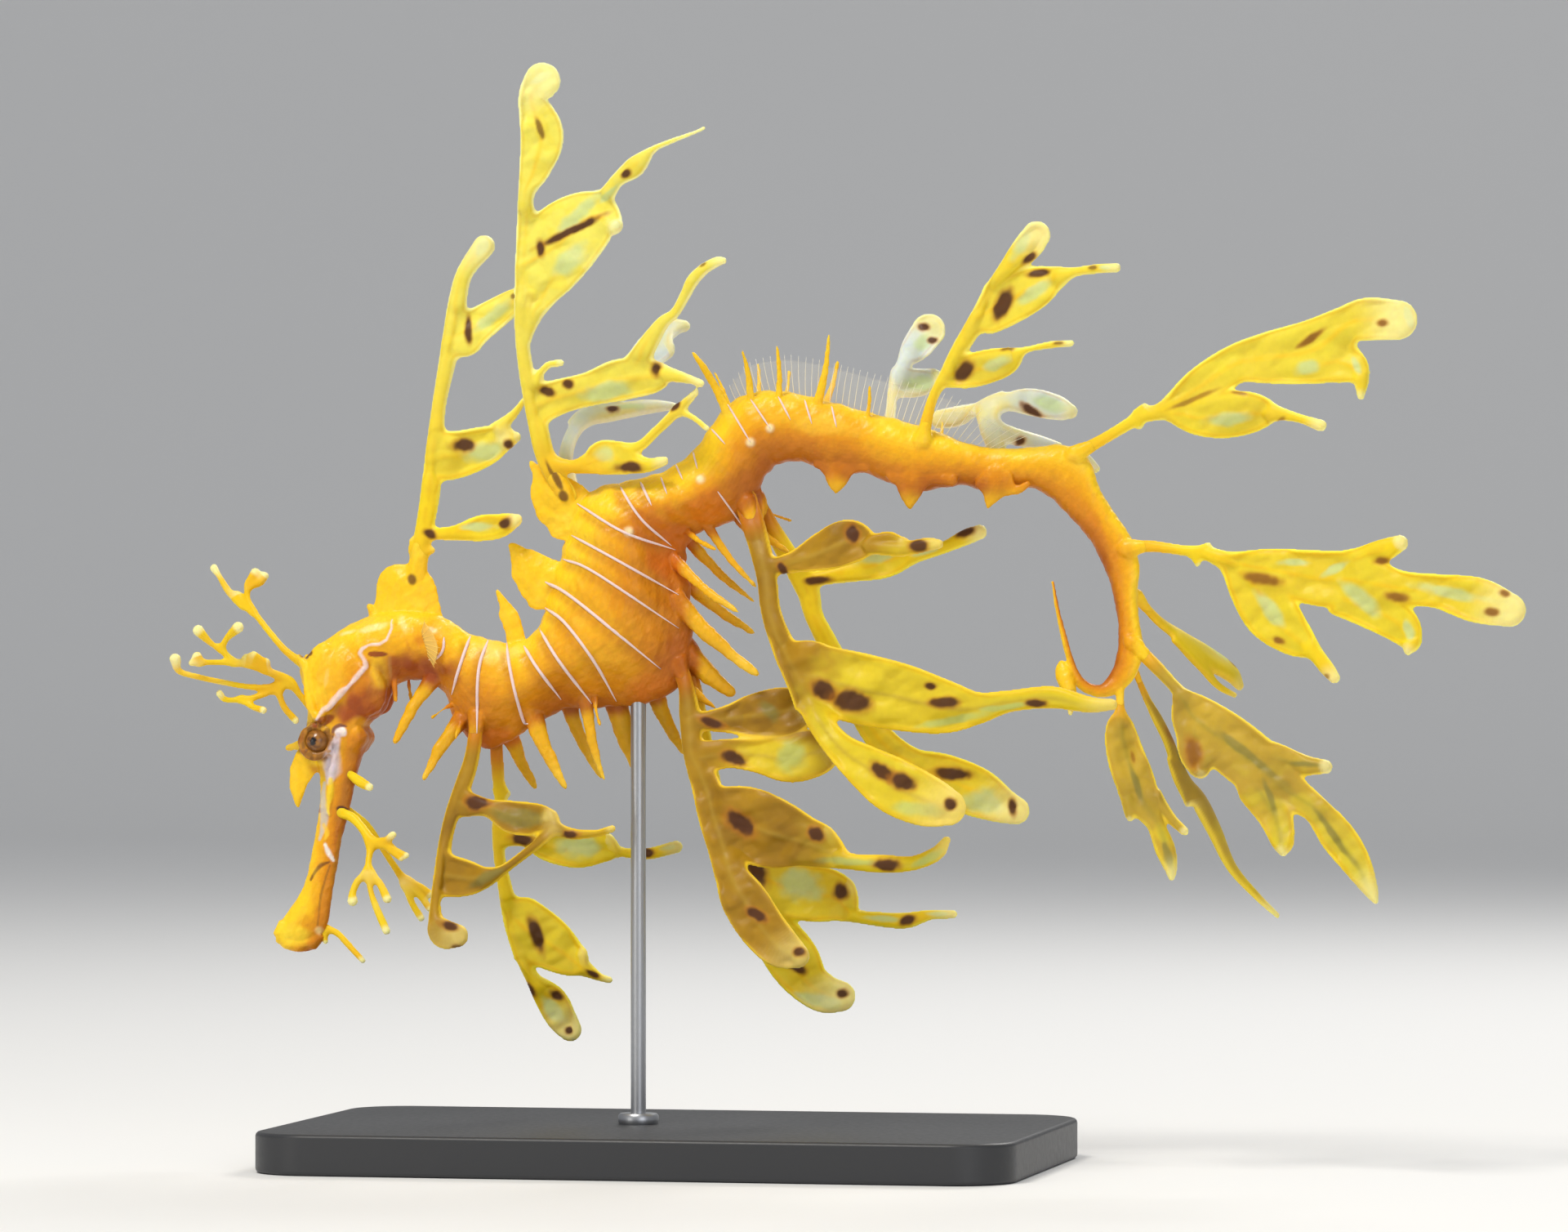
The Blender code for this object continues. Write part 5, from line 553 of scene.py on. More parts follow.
# ---------------------------------------------------------------- fields of lobes
def lobe_samples(lb, n_per=8):
    """The lobe's smooth path, its half widths and its place along, from 0 to 1."""
    p = np.array(lb["path"], float)
    n = (len(p) - 1) * n_per + 1
    c = spline(p, np.linspace(0, len(p) - 1, n)) if len(p) > 2 else p[0] + (p[1] - p[0]) * np.linspace(0, 1, n)[:, None]
    step = np.linalg.norm(np.diff(c, axis=0), axis=1)
    t = np.concatenate([[0], np.cumsum(step)]) / step.sum()
    w = np.array(lb["w"], float)
    r = spline(w, np.linspace(0, len(w) - 1, n)) / 2 if len(w) > 2 else np.linspace(w[0], w[-1], n) / 2
    if lb.get("foot"):  # a branch flares from inside its stem
        r = np.minimum(r, 9.0 + 1.7 * t * step.sum())
    return c, np.maximum(r, LEAST_HALF), t, step.sum()


def lobe_field(P, lb):
    """For points P (n, 2): signed distance to the lobe, place along it, signed offset."""
    c, r, t, _ = lobe_samples(lb)
    best = np.full(len(P), 1e9)
    along = np.zeros(len(P))
    off = np.zeros(len(P))
    for i in range(len(c) - 1):
        e = c[i + 1] - c[i]
        ll = e @ e
        if ll < 1e-9:
            continue
        d = P - c[i]
        s = np.clip((d @ e) / ll, 0, 1)
        g = np.hypot(d[:, 0] - s * e[0], d[:, 1] - s * e[1])
        f = g - (r[i] + s * (r[i + 1] - r[i]))
        hit = f < best
        best[hit] = f[hit]
        along[hit] = (t[i] + s * (t[i + 1] - t[i]))[hit]
        off[hit] = ((d[:, 0] * e[1] - d[:, 1] * e[0]) / math.sqrt(ll))[hit]
    if lb.get("foot"):  # and stops at its stem's middle
        e = c[min(6, len(c) - 1)] - c[0]
        e = lb["away"] if "away" in lb else e / np.linalg.norm(e)
        best = np.maximum(best, -4.0 - (P - c[0]) @ e)
    return best, along, off


def smooth_min(fields, k):
    """The least of the fields, with its inside corners filled to about k units."""
    low = fields[0]
    for f in fields[1:]:
        low = np.minimum(low, f) - k / 4 * np.clip(1 - np.abs(low - f) / k, 0, 1) ** 2
    return low


def leaf_depth_starts(leaf):
    """Each lobe's own sideways offset at its foot: it takes it from what it grows from."""
    starts = [leaf["root"]]
    for i, lb in enumerate(leaf["lobes"][1:], 1):
        foot = np.array([lb["path"][0]], float)
        best, y = 1e9, leaf["root"]
        for j in range(i):
            f, a, o = lobe_field(foot, leaf["lobes"][j])
            if f[0] < best:
                best, y = f[0], starts[j] + lobe_rise(leaf["lobes"][j], a, o)[0]
        starts.append(y)
    return starts


def lobe_rise(lb, along, off):
    half = max(lb["w"]) / 2
    return lb["out"] * along ** 1.15 + lb["twist"] * np.clip(off, -half, half) * UNIT * 1000 * smooth(along * 3)


def leaf_fields(leaf, P, blend=None):
    """At points P: the leaf's signed distance and its sideways offset in millimetres,
    and each lobe's distance, place along and offset."""
    parts = [lobe_field(P, lb) for lb in leaf["lobes"]]
    f = smooth_min([p[0] for p in parts], leaf.get("blend", 8.0) if blend is None else blend)
    starts = leaf_depth_starts(leaf)
    d = np.array([p[0] for p in parts])
    w = np.exp(-(d - d.min(axis=0)) / 6.0)
    y = np.array([s + lobe_rise(lb, p[1], p[2]) for s, lb, p in zip(starts, leaf["lobes"], parts)])
    return f, (w * y).sum(axis=0) / w.sum(axis=0), parts, w


def cell_polygons(leaf, step, grow=0.0):
    """Marching squares over the leaf: (points, polygons) in board units."""
    paths = np.vstack([lb["path"] for lb in leaf["lobes"]])
    pad = max(max(lb["w"]) for lb in leaf["lobes"]) / 2 + 8 + grow
    lo, hi = paths.min(axis=0) - pad, paths.max(axis=0) + pad
    nx, ny = (np.ceil((hi - lo) / step).astype(int) + 1)
    gx, gy = lo[0] + step * np.arange(nx), lo[1] + step * np.arange(ny)
    P = np.stack(np.meshgrid(gx, gy, indexing="ij"), -1).reshape(-1, 2)
    F = (leaf_fields(leaf, P)[0] - grow).reshape(nx, ny)
    F = np.where(np.abs(F) < 0.12 * step, -0.12 * step, F)
    inside = F < 0
    points, polygons, index = [], [], {}

    def corner(i, j):
        key = (i, j)
        if key not in index:
            index[key] = len(points)
            points.append((gx[i], gy[j]))
        return index[key]

    def crossing(a, b):
        key = (a, b) if a < b else (b, a)
        if key not in index:
            (i, j), (k, l) = key
            t = F[i, j] / (F[i, j] - F[k, l])
            index[key] = len(points)
            points.append((gx[i] + t * (gx[k] - gx[i]), gy[j] + t * (gy[l] - gy[j])))
        return index[key]

    some = inside[:-1, :-1] | inside[1:, :-1] | inside[:-1, 1:] | inside[1:, 1:]
    for i, j in zip(*np.nonzero(some)):
        ring = [(i, j), (i + 1, j), (i + 1, j + 1), (i, j + 1)]
        poly = []
        for a, b in zip(ring, ring[1:] + ring[:1]):
            if inside[a]:
                poly.append(corner(*a))
            if inside[a] != inside[b]:
                poly.append(crossing(a, b))
        if len(poly) > 2:
            polygons.append(poly)
    return np.array(points), polygons


def outline(polygons):
    """The longest closed loop of edges used by one polygon."""
    used = {}
    for poly in polygons:
        for a, b in zip(poly, poly[1:] + poly[:1]):
            used[(a, b)] = True
    nxt = {}
    for a, b in used:
        if (b, a) not in used:
            nxt[a] = b
    loops = []
    while nxt:
        a = next(iter(nxt))
        loop = []
        while a in nxt:
            loop.append(a)
            a = nxt.pop(a)
        loops.append(loop)
    return max(loops, key=len)


def simplify(loop, tol):
    """Douglas-Peucker on a closed loop of points."""
    P = np.asarray(loop)
    far = int(np.argmax(np.linalg.norm(P - P[0], axis=1)))

    def thin(a, b):
        seg = P[a:b + 1]
        e = seg[-1] - seg[0]
        n = np.linalg.norm(e)
        d = np.abs((seg - seg[0]) @ np.array([e[1], -e[0]])) / n if n > 1e-9 else np.linalg.norm(seg - seg[0], axis=1)
        k = int(np.argmax(d))
        return [a] if d[k] < tol or b - a < 2 else thin(a, a + k) + thin(a + k, b)

    P = np.vstack([P, P[:1]])
    keep = thin(0, far) + thin(far, len(P) - 1)
    return P[keep]


LEAF_ROOT_PLATE = {"leaf_nape": "nape", "leaf_shoulder_left": "saddle_high", "leaf_shoulder_right": "saddle_high",
                   "leaf_hip_left": "hip", "leaf_hip_right": "hip"}


def seat_roots():
    """Moves each stem's foot sideways until it starts inside what it grows from."""
    for name, leaf in list(LEAVES.items()) + list(THREADS.items()):
        u, v = leaf["lobes"][0]["path"][0]
        plate = LEAF_ROOT_PLATE.get(name)
        if plate:
            mid, room = PLATES[plate][0], PLATES[plate][1] / 2 - 0.25
        else:
            q, a = depth_place(u, v, 0.3)
            mid, room = float(body_frame(np.array([q]))[4][0]), half_width_at(q, max(-.97, min(.97, a))) - 0.35
        old = leaf["root"]
        leaf["root"] = mid + max(-room, min(room, old - mid))
        leaf["lobes"][0]["out"] += old - leaf["root"]


seat_roots()

# ================================================================ the looks
# Everything below builds the finished model: one skin over the body, leaves with
# rims and ribs, threads, fins, eyes, and the stand.
MM = 0.001


def wave(P, pitch, seed, octaves=2):
    """A smooth wandering value from -1 to 1 at points P (n, k); pitch is its wavelength."""
    rng = np.random.default_rng(seed)
    P = np.asarray(P, float)
    out, weight = np.zeros(len(P)), 0.0
    for o in range(octaves):
        amp = 0.55 ** o
        for _ in range(5):
            k = rng.normal(size=P.shape[1])
            k *= 2 * math.pi / (pitch * 0.5 ** o) / np.linalg.norm(k) * rng.uniform(0.7, 1.3)
            out += amp * np.sin(P @ k + rng.uniform(0, 2 * math.pi))
        weight += amp * 1.8
    return np.clip(out / weight, -1, 1)


def step_up(x, a, b):
    return smooth((np.asarray(x, float) - a) / (b - a))


def mix(c0, c1, t):
    t = np.clip(np.asarray(t, float), 0, 1)[..., None]
    return np.asarray(c0, float) * (1 - t) + np.asarray(c1, float) * t


def make_mesh(name, verts, faces, colours=None, values=None, smooth_faces=True):
    mesh = bpy.data.meshes.new(name)
    if isinstance(faces, np.ndarray):
        n, k = faces.shape
        mesh.vertices.add(len(verts))
        mesh.vertices.foreach_set("co", np.asarray(verts, np.float32).ravel())
        mesh.loops.add(n * k)
        mesh.loops.foreach_set("vertex_index", faces.astype(np.int32).ravel())
        mesh.polygons.add(n)
        mesh.polygons.foreach_set("loop_start", np.arange(n, dtype=np.int32) * k)
        mesh.update(calc_edges=True)
        mesh.validate()
    else:
        mesh.from_pydata([tuple(p) for p in np.asarray(verts, float).tolist()], [], faces)
    if smooth_faces:
        mesh.polygons.foreach_set("use_smooth", np.ones(len(mesh.polygons), bool))
    obj = bpy.data.objects.new(name, mesh)
    bpy.context.scene.collection.objects.link(obj)
    if colours is not None:
        paint(mesh, "tint", colours)
    for key, value in (values or {}).items():
        a = mesh.attributes.new(key, "FLOAT", "POINT")
        a.data.foreach_set("value", np.asarray(value, np.float32))
    return obj


def paint(mesh, name, colours):
    a = mesh.color_attributes.new(name, "FLOAT_COLOR", "POINT")
    rgba = np.ones((len(mesh.vertices), 4), np.float32)
    rgba[:, :3] = np.clip(colours, 0, 1)
    a.data.foreach_set("color", rgba.ravel())


def vertex_normals(verts, tris):
    v = np.asarray(verts, float)
    n = np.zeros_like(v)
    a, b, c = v[tris[:, 0]], v[tris[:, 1]], v[tris[:, 2]]
    f = np.cross(b - a, c - a)
    for k in range(3):
        np.add.at(n, tris[:, k], f)
    return n / np.maximum(np.linalg.norm(n, axis=1), 1e-12)[:, None]


def fan(polys):
    return np.array([(p[0], p[i], p[i + 1]) for p in polys for i in range(1, len(p) - 1)], int)


# ---------------------------------------------------------------- colours, linear
LEMON, GOLD, AMBER = (0.84, 0.63, 0.008), (0.78, 0.43, 0.006), (0.66, 0.26, 0.008)
WINDOW, CREAM, RIM = (0.58, 0.58, 0.06), (0.88, 0.84, 0.42), (0.97, 0.80, 0.060)
# The ochre and umber on this line are the painted shade of the shaded leaves.
SHADE_OCHRE, SHADE_UMBER, SPOT = (0.42, 0.230, 0.008), (0.25, 0.125, 0.006), (0.075, 0.022, 0.008)
HALO, MILK = (0.46, 0.17, 0.012), (0.78, 0.82, 0.72)


def name_is_high(leaf):
    """Leaves of the nape and shoulders, which are paler."""
    return leaf["lobes"][0]["path"][0][0] < 760


def blot(P, cu, cv, ln, wd, ang):
    """How far P lies from a round mark's middle: 1 at its edge."""
    t = math.radians(ang)
    du, dv = P[:, 0] - cu, P[:, 1] - cv
    return np.hypot((du * math.cos(t) + dv * math.sin(t)) / (ln / 2), (dv * math.cos(t) - du * math.sin(t)) / (wd / 2))


def calm(values, edges, times):
    """Evens out values at points by averaging each with its neighbours."""
    a, b = edges[:, 0], edges[:, 1]
    n = len(values)
    count = np.bincount(a, minlength=n) + np.bincount(b, minlength=n)
    v = np.asarray(values, float)
    for _ in range(times):
        total = np.bincount(a, v[b], minlength=n) + np.bincount(b, v[a], minlength=n)
        v = 0.5 * v + 0.5 * total / np.maximum(count, 1)
    return v


def leaf_measures(leaf, parts, w):
    """Half width, midrib, nearness to a tip and place along, blended where lobes meet."""
    W = w / w.sum(axis=0)
    half, rib, ridge, end, place_along = 0.0, 0.0, 0.0, 0.0, 0.0
    for weight, (_, along, off), lb in zip(W, parts, leaf["lobes"]):
        _, r, t, _ = lobe_samples(lb)
        own = np.interp(along, t, r)
        half = half + weight * own
        rib = rib + weight * np.exp(-(off / 3.0) ** 2) * step_up(own, 8, 14)
        ridge = ridge + weight * np.exp(-(off / 3.6) ** 2) * (1 - along ** 2)
        end = end + weight * step_up(along, 0.88, 1.0)
        place_along = place_along + weight * along
    return half, rib, ridge, end, place_along


def leaf_colours(leaf, P, f, measures, tone):
    """Tint at each board point of a leaf, with the painted light and shade of its tone."""
    d = np.clip(-f, 0, None)
    half, rib, _, end, along = measures
    high = name_is_high(leaf)
    broad = wave(P, 130, 11)
    soft = wave(P, 34, 12)
    deep = step_up(d, 3.0, 10.0)
    if tone == "sun":
        # sun: the leaf painted as sunlit yellow.
        c = mix(LEMON, GOLD, 0.16 + 0.16 * broad + 0.08 * soft)
        c = mix(c, WINDOW, 0.34 * deep * step_up(half, 11, 20) * (1 - 0.7 * rib))
        c = mix(c, AMBER, 0.34 * rib * (1 - along) * step_up(soft, -.8, .6))
        up = step_up(-P[:, 1], -640, -330)
        c = mix(c, (0.80, 0.74, 0.13), up * (0.80 if high else 0.25))
        c = mix(c, (0.86, 0.56, 0.01), 0.55 * up * rib)
        c = mix(c, (0.80, 0.66, 0.05), 0.5 * up * step_up(soft + 0.5 * broad, -.1, .9))
        rim, tip = mix(RIM, (0.95, 0.92, 0.48), up * (0.85 if high else 0.3)), CREAM
    elif tone == "shade":
        # shade: painted shade, ochre to umber brown; past the leaf's sunny line and in its glow marks, painted light
        # brings back the sunlit yellow.
        c = mix(SHADE_OCHRE, SHADE_UMBER, 0.34 + 0.36 * broad + 0.14 * soft)
        a, b, slope = leaf["sunny"]
        lit = step_up(P[:, 0] + slope * (P[:, 1] - 850) + 10 * soft, a, b)
        for glow in leaf["glow"]:
            lit = np.maximum(lit, 0.9 * (1 - step_up(blot(P, *glow), 0.5, 1.1)))
        c = mix(c, mix(LEMON, WINDOW, 0.30 * deep), 0.85 * lit)
        c = mix(c, (0.46, 0.30, 0.035), 0.45 * rib)
        rim, tip = (0.88, 0.60, 0.025), (0.80, 0.66, 0.20)
    elif tone == "dusk":
        # dusk: deeper painted shade, brown, turning to the sunlit yellow past the leaf's sunny line.
        c = mix((0.56, 0.38, 0.035), (0.32, 0.20, 0.026), 0.30 + 0.30 * broad + 0.10 * soft)
        c = mix(c, mix(LEMON, WINDOW, 0.5 * deep), 0.75 * step_up(P[:, 1] + 30 * soft, *leaf["sunny"][:2]))
        c = mix(c, (0.30, 0.25, 0.035), 0.4 * rib)
        rim, tip = (0.90, 0.68, 0.05), CREAM
    elif tone == "pale":
        c = mix((0.66, 0.72, 0.70), (0.80, 0.70, 0.22), 0.40 + 0.40 * broad + 0.15 * soft)
        c = mix(c, (0.52, 0.62, 0.58), 0.30 * deep)
        rim, tip = (0.88, 0.88, 0.70), (0.86, 0.80, 0.30)
    else:
        c = mix(GOLD, LEMON, 0.50 + 0.3 * broad)
        rim, tip = GOLD, CREAM
    for pu, pv, ln, wd, ang in leaf["panels"]:
        e = blot(P, pu, pv, ln, wd, ang) + 0.16 * soft
        # In sun and pale leaves the windows are clear green; in shaded leaves they are painted dark as shade, and
        # lighter where the leaf is painted lit.
        glass = (0.54, 0.65, 0.31) if tone in ("sun", "pale") else (0.23, 0.20, 0.045)
        if tone == "shade":
            glass = mix(glass, (0.48, 0.56, 0.17), lit)
        c = mix(c, glass, 0.74 * (1 - step_up(e, 0.50, 1.20)) * step_up(d, 1.5, 4.0))
    if tone != "thread":
        c = mix(c, rim, 0.90 * (1 - step_up(d, 0.9, 3.0)))
        c = mix(c, (0.55, 0.30, 0.014), 0.26 * np.exp(-((d - 4.2) / 1.3) ** 2) * step_up(half, 9, 16))
    c = mix(c, tip, (0.60 if tone != "thread" else 0.85) * end)
    if tone not in ("thread", "pale"):  # the foot takes the body's colour
        foot = np.hypot(*(P - np.array(leaf["lobes"][0]["path"][0])).T)
        near = 0.92 * (1 - step_up(foot, 30, 84)) if tone == "sun" else 0.85 * (1 - step_up(foot, 26, 62))
        c = mix(c, leaf.get("skin", (0.94, 0.52, 0.012)), near)
    for spot in leaf["spots"]:
        e = blot(P, *spot) / 1.08 + 0.10 * wave(P, 22, 31)
        strong = 0.94 if spot[3] >= 8 else 0.62
        faint = P[0, 0] > 1270 and tone in ("sun", "dusk")  # the tail's leaves are marked more softly
        c = mix(c, HALO, (0.85 if faint else 0.75) * strong * (1 - step_up(e, 0.55 if faint else 0.75, 1.40)))
        c = mix(c, (0.20, 0.075, 0.008) if faint else SPOT, (0.70 if faint else 1.0) * strong * (1 - step_up(e, 0.45 if faint else 0.60, 1.02)))
    return c, d


def build_leaf(name, leaf, step):
    """A blade with a rounded rim, a soft rib and thick round stems."""
    P, polys = cell_polygons(leaf, step)
    polys = biggest_patch(polys)
    used = sorted({i for p in polys for i in p})
    new = {i: k for k, i in enumerate(used)}
    P, polys = P[used], [[new[i] for i in p] for p in polys]
    f, y, parts, w = leaf_fields(leaf, P)
    near = {(min(a, b), max(a, b)) for p in polys for a, b in zip(p, p[1:] + p[:1])}
    near = np.array(sorted(near), int)
    measures = leaf_measures(leaf, parts, w)
    c, d = leaf_colours(leaf, P, f, measures, leaf["tone"])
    half, ridge = calm(measures[0], near, 6), calm(measures[2], near, 4)
    thread = leaf["tone"] == "thread"
    blade = 0.0 if thread else step_up(half, 8.5, 19.0)
    y = calm(y, near, 14)
    y = y + blade * (0.70 * wave(P, 95, 41) + 0.18 * wave(P, 34, 42)) * step_up(d, 0, 10)
    mid = place(P[:, 0], P[:, 1], y)
    n = vertex_normals(mid, fan(polys))
    r = np.maximum(half * (1 - blade) + 2.1 * blade, LEAST_HALF)
    h = r * np.sqrt(np.clip(1 - (1 - np.clip(d / r, 0, 1)) ** 2, 0, 1))
    h = h * (1 - 0.10 * (1 - blade))
    h = h + blade * (1.4 * ridge + 0.45 * np.exp(-((d - 2.8) / 1.8) ** 2)
                     + 0.24 * wave(P, 24, 43) * step_up(d, 2, 6))
    foot = np.hypot(*(P - np.array(leaf["lobes"][0]["path"][0])).T)
    h = h * (0.55 + 0.45 * step_up(foot, 0, 10) if thread else 0.12 + 0.88 * step_up(foot, 2, 42))
    h = np.maximum(h, 0.0) * UNIT
    edges = {}
    for p in polys:
        for a, b in zip(p, p[1:] + p[:1]):
            edges[(a, b)] = True
    rim = np.zeros(len(P), bool)
    for a, b in edges:
        if (b, a) not in edges:
            rim[a] = rim[b] = True
    h[rim] = 0.0
    low = np.where(rim, np.arange(len(P)), 0)
    low[~rim] = len(P) + np.arange((~rim).sum())
    verts = np.vstack([mid + n * h[:, None], (mid - n * h[:, None])[~rim]])
    faces = [list(p) for p in polys] + [[int(low[i]) for i in reversed(p)] for p in polys]
    colours = np.vstack([c, c[~rim]])
    obj = make_mesh(name, verts, faces, colours)
    bm = bmesh.new()
    bm.from_mesh(obj.data)
    bmesh.ops.recalc_face_normals(bm, faces=bm.faces)
    bm.to_mesh(obj.data)
    bm.free()
    relax = obj.modifiers.new("relax", "SMOOTH")
    relax.factor, relax.iterations = 0.5, 3 if thread else 5
    return obj


def biggest_patch(polys):
    owner = {}
    parent = list(range(len(polys)))

    def root(i):
        while parent[i] != i:
            parent[i] = parent[parent[i]]
            i = parent[i]
        return i

    for k, p in enumerate(polys):
        for i in p:
            if i in owner:
                parent[root(k)] = root(owner[i])
            else:
                owner[i] = k
    count = {}
    for k in range(len(polys)):
        r = root(k)
        count[r] = count.get(r, 0) + 1
    keep = max(count, key=count.get)
    return [p for k, p in enumerate(polys) if root(k) == keep]


# ---------------------------------------------------------------- materials
def node_material(name, tint, roughness, bump=None, subsurface=0.0, radius=(1, .5, .2), scale=0.001, coat=0.0,
                  alpha=1.0, metallic=0.0, specular=0.5, speckle=0.0):
    """A procedural finish. tint is a colour or the name of a colour attribute."""
    m = bpy.data.materials.new(name)
    m.use_nodes = True
    t = m.node_tree
    shader = t.nodes["Principled BSDF"]
    coord = t.nodes.new("ShaderNodeTexCoord")
    fine = t.nodes.new("ShaderNodeTexNoise")
    fine.inputs["Scale"].default_value = 900.0
    fine.inputs["Detail"].default_value = 3.0
    t.links.new(coord.outputs["Object"], fine.inputs["Vector"])
    if isinstance(tint, str):
        source = t.nodes.new("ShaderNodeAttribute")
        source.attribute_name = tint
        colour = source.outputs["Color"]
    else:
        source = t.nodes.new("ShaderNodeRGB")
        source.outputs[0].default_value = (*tint, 1)
        colour = source.outputs[0]
    shade = t.nodes.new("ShaderNodeMapRange")
    shade.inputs["From Min"].default_value = 0.3
    shade.inputs["From Max"].default_value = 0.7
    shade.inputs["To Min"].default_value = 1.0 - speckle
    shade.inputs["To Max"].default_value = 1.0 + speckle * 0.6
    t.links.new(fine.outputs["Fac"], shade.inputs["Value"])
    product = t.nodes.new("ShaderNodeVectorMath")
    product.operation = "SCALE"
    t.links.new(colour, product.inputs[0])
    t.links.new(shade.outputs["Result"], product.inputs["Scale"])
    t.links.new(product.outputs["Vector"], shader.inputs["Base Color"])
    rough = t.nodes.new("ShaderNodeMapRange")
    rough.inputs["To Min"].default_value = max(roughness - 0.06, 0.02)
    rough.inputs["To Max"].default_value = roughness + 0.08
    t.links.new(fine.outputs["Fac"], rough.inputs["Value"])
    t.links.new(rough.outputs["Result"], shader.inputs["Roughness"])
    shader.inputs["Metallic"].default_value = metallic
    shader.inputs["Specular IOR Level"].default_value = specular
    shader.inputs["Coat Weight"].default_value = coat
    shader.inputs["Coat Roughness"].default_value = 0.12
    shader.inputs["Alpha"].default_value = alpha
    if subsurface:
        shader.inputs["Subsurface Weight"].default_value = subsurface
        shader.inputs["Subsurface Radius"].default_value = radius
        shader.inputs["Subsurface Scale"].default_value = scale
    if bump:
        size, height = bump
        pores = t.nodes.new("ShaderNodeTexNoise")
        pores.inputs["Scale"].default_value = size
        pores.inputs["Detail"].default_value = 4.0
        t.links.new(coord.outputs["Object"], pores.inputs["Vector"])
        b = t.nodes.new("ShaderNodeBump")
        b.inputs["Distance"].default_value = height
        b.inputs["Strength"].default_value = 0.6
        t.links.new(pores.outputs["Fac"], b.inputs["Height"])
        t.links.new(b.outputs["Normal"], shader.inputs["Normal"])
    return m


def dress(obj, material, nodes=()):
    obj.data.materials.clear()
    obj.data.materials.append(material)
    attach(obj, "root")
    if nodes:
        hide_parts(*nodes)
    return obj

# ---------------------------------------------------------------- the skin
SKIN_NODES = [n for n in ("snout", "head", "neck", "trunk_front", "trunk_rear", "tail_base", "tail_middle",
                          "tail_rear", "tail_bend", "tail_tip")]
VOXEL = 0.00024


def closed_tube(points, radii, sides=10, squash=None):
    """A round tapering body through points (n, 3) in metres, closed at its ends."""
    p = np.asarray(points, float)
    t = np.gradient(p, axis=0)
    t /= np.linalg.norm(t, axis=1)[:, None]
    ref = np.array([0.0, 1.0, 0.0]) if abs(t[0][1]) < 0.9 else np.array([1.0, 0, 0])
    rings = []
    for k in range(len(p)):
        a = np.cross(t[k], ref)
        a /= np.linalg.norm(a)
        b = np.cross(t[k], a)
        w = squash if squash else 1.0
        ang = np.linspace(0, 2 * math.pi, sides, endpoint=False)
        rings.append(p[k] + radii[k] * (np.cos(ang)[:, None] * a + w * np.sin(ang)[:, None] * b))
    v = np.array(rings)
    n, m = v.shape[:2]
    faces = [(i * m + j, i * m + (j + 1) % m, (i + 1) * m + (j + 1) % m, (i + 1) * m + j)
             for i in range(n - 1) for j in range(m)]
    faces += [tuple(range(m)), tuple((n - 1) * m + j for j in range(m))]
    return v.reshape(-1, 3), faces


def ball_body(centre, radii, turn=0.0, rings=14, sides=20):
    """An ellipsoid. turn, in degrees, leans it in the side elevation."""
    th = np.linspace(0.02, math.pi - 0.02, rings)
    ph = np.linspace(0, 2 * math.pi, sides, endpoint=False)
    x = np.sin(th)[:, None] * np.cos(ph)[None, :] * radii[0]
    y = np.sin(th)[:, None] * np.sin(ph)[None, :] * radii[1]
    z = np.cos(th)[:, None] * np.ones(sides)[None, :] * radii[2]
    c, s = math.cos(math.radians(turn)), math.sin(math.radians(turn))
    v = np.stack([x * c - z * s, y, x * s + z * c], -1) + np.asarray(centre)
    faces = [(i * sides + j, i * sides + (j + 1) % sides, (i + 1) * sides + (j + 1) % sides, (i + 1) * sides + j)
             for i in range(rings - 1) for j in range(sides)]
    faces += [tuple(range(sides)), tuple((rings - 1) * sides + j for j in range(sides))]
    return v.reshape(-1, 3), faces


def ring_body(centre, axis, radius, tube, sides=28, around=10, squash=1.0):
    """A round bead bent into a ring about axis."""
    axis = Vector(axis).normalized()
    a = axis.orthogonal().normalized()
    b = axis.cross(a)
    pts, faces = [], []
    for i in range(sides):
        t = 2 * math.pi * i / sides
        out = a * math.cos(t) + b * math.sin(t)
        for j in range(around):
            s = 2 * math.pi * j / around
            pts.append(Vector(centre) + out * (radius + tube * math.cos(s)) + axis * (tube * squash * math.sin(s)))
    for i in range(sides):
        for j in range(around):
            k, l = (i + 1) % sides, (j + 1) % around
            faces.append((i * around + j, k * around + j, k * around + l, i * around + l))
    return np.array([tuple(p) for p in pts]), faces


def mirror_u(u, y, mid=0.0):
    """The board u of a point's mirror image across the body's middle at offset mid."""
    return u + 2 * (mid - y) * MM * SIN_T / UNIT


class Pile:
    """Closed bodies gathered into one mesh."""

    def __init__(self):
        self.v, self.f, self.n = [], [], 0

    def put(self, body):
        v, f = body
        self.v.append(np.asarray(v, float))
        self.f += [tuple(i + self.n for i in p) for p in f]
        self.n += len(v)

    def mesh(self, name):
        obj = make_mesh(name, np.vstack(self.v), self.f)
        bm = bmesh.new()
        bm.from_mesh(obj.data)
        bmesh.ops.recalc_face_normals(bm, faces=bm.faces)
        bm.to_mesh(obj.data)
        bm.free()
        return obj


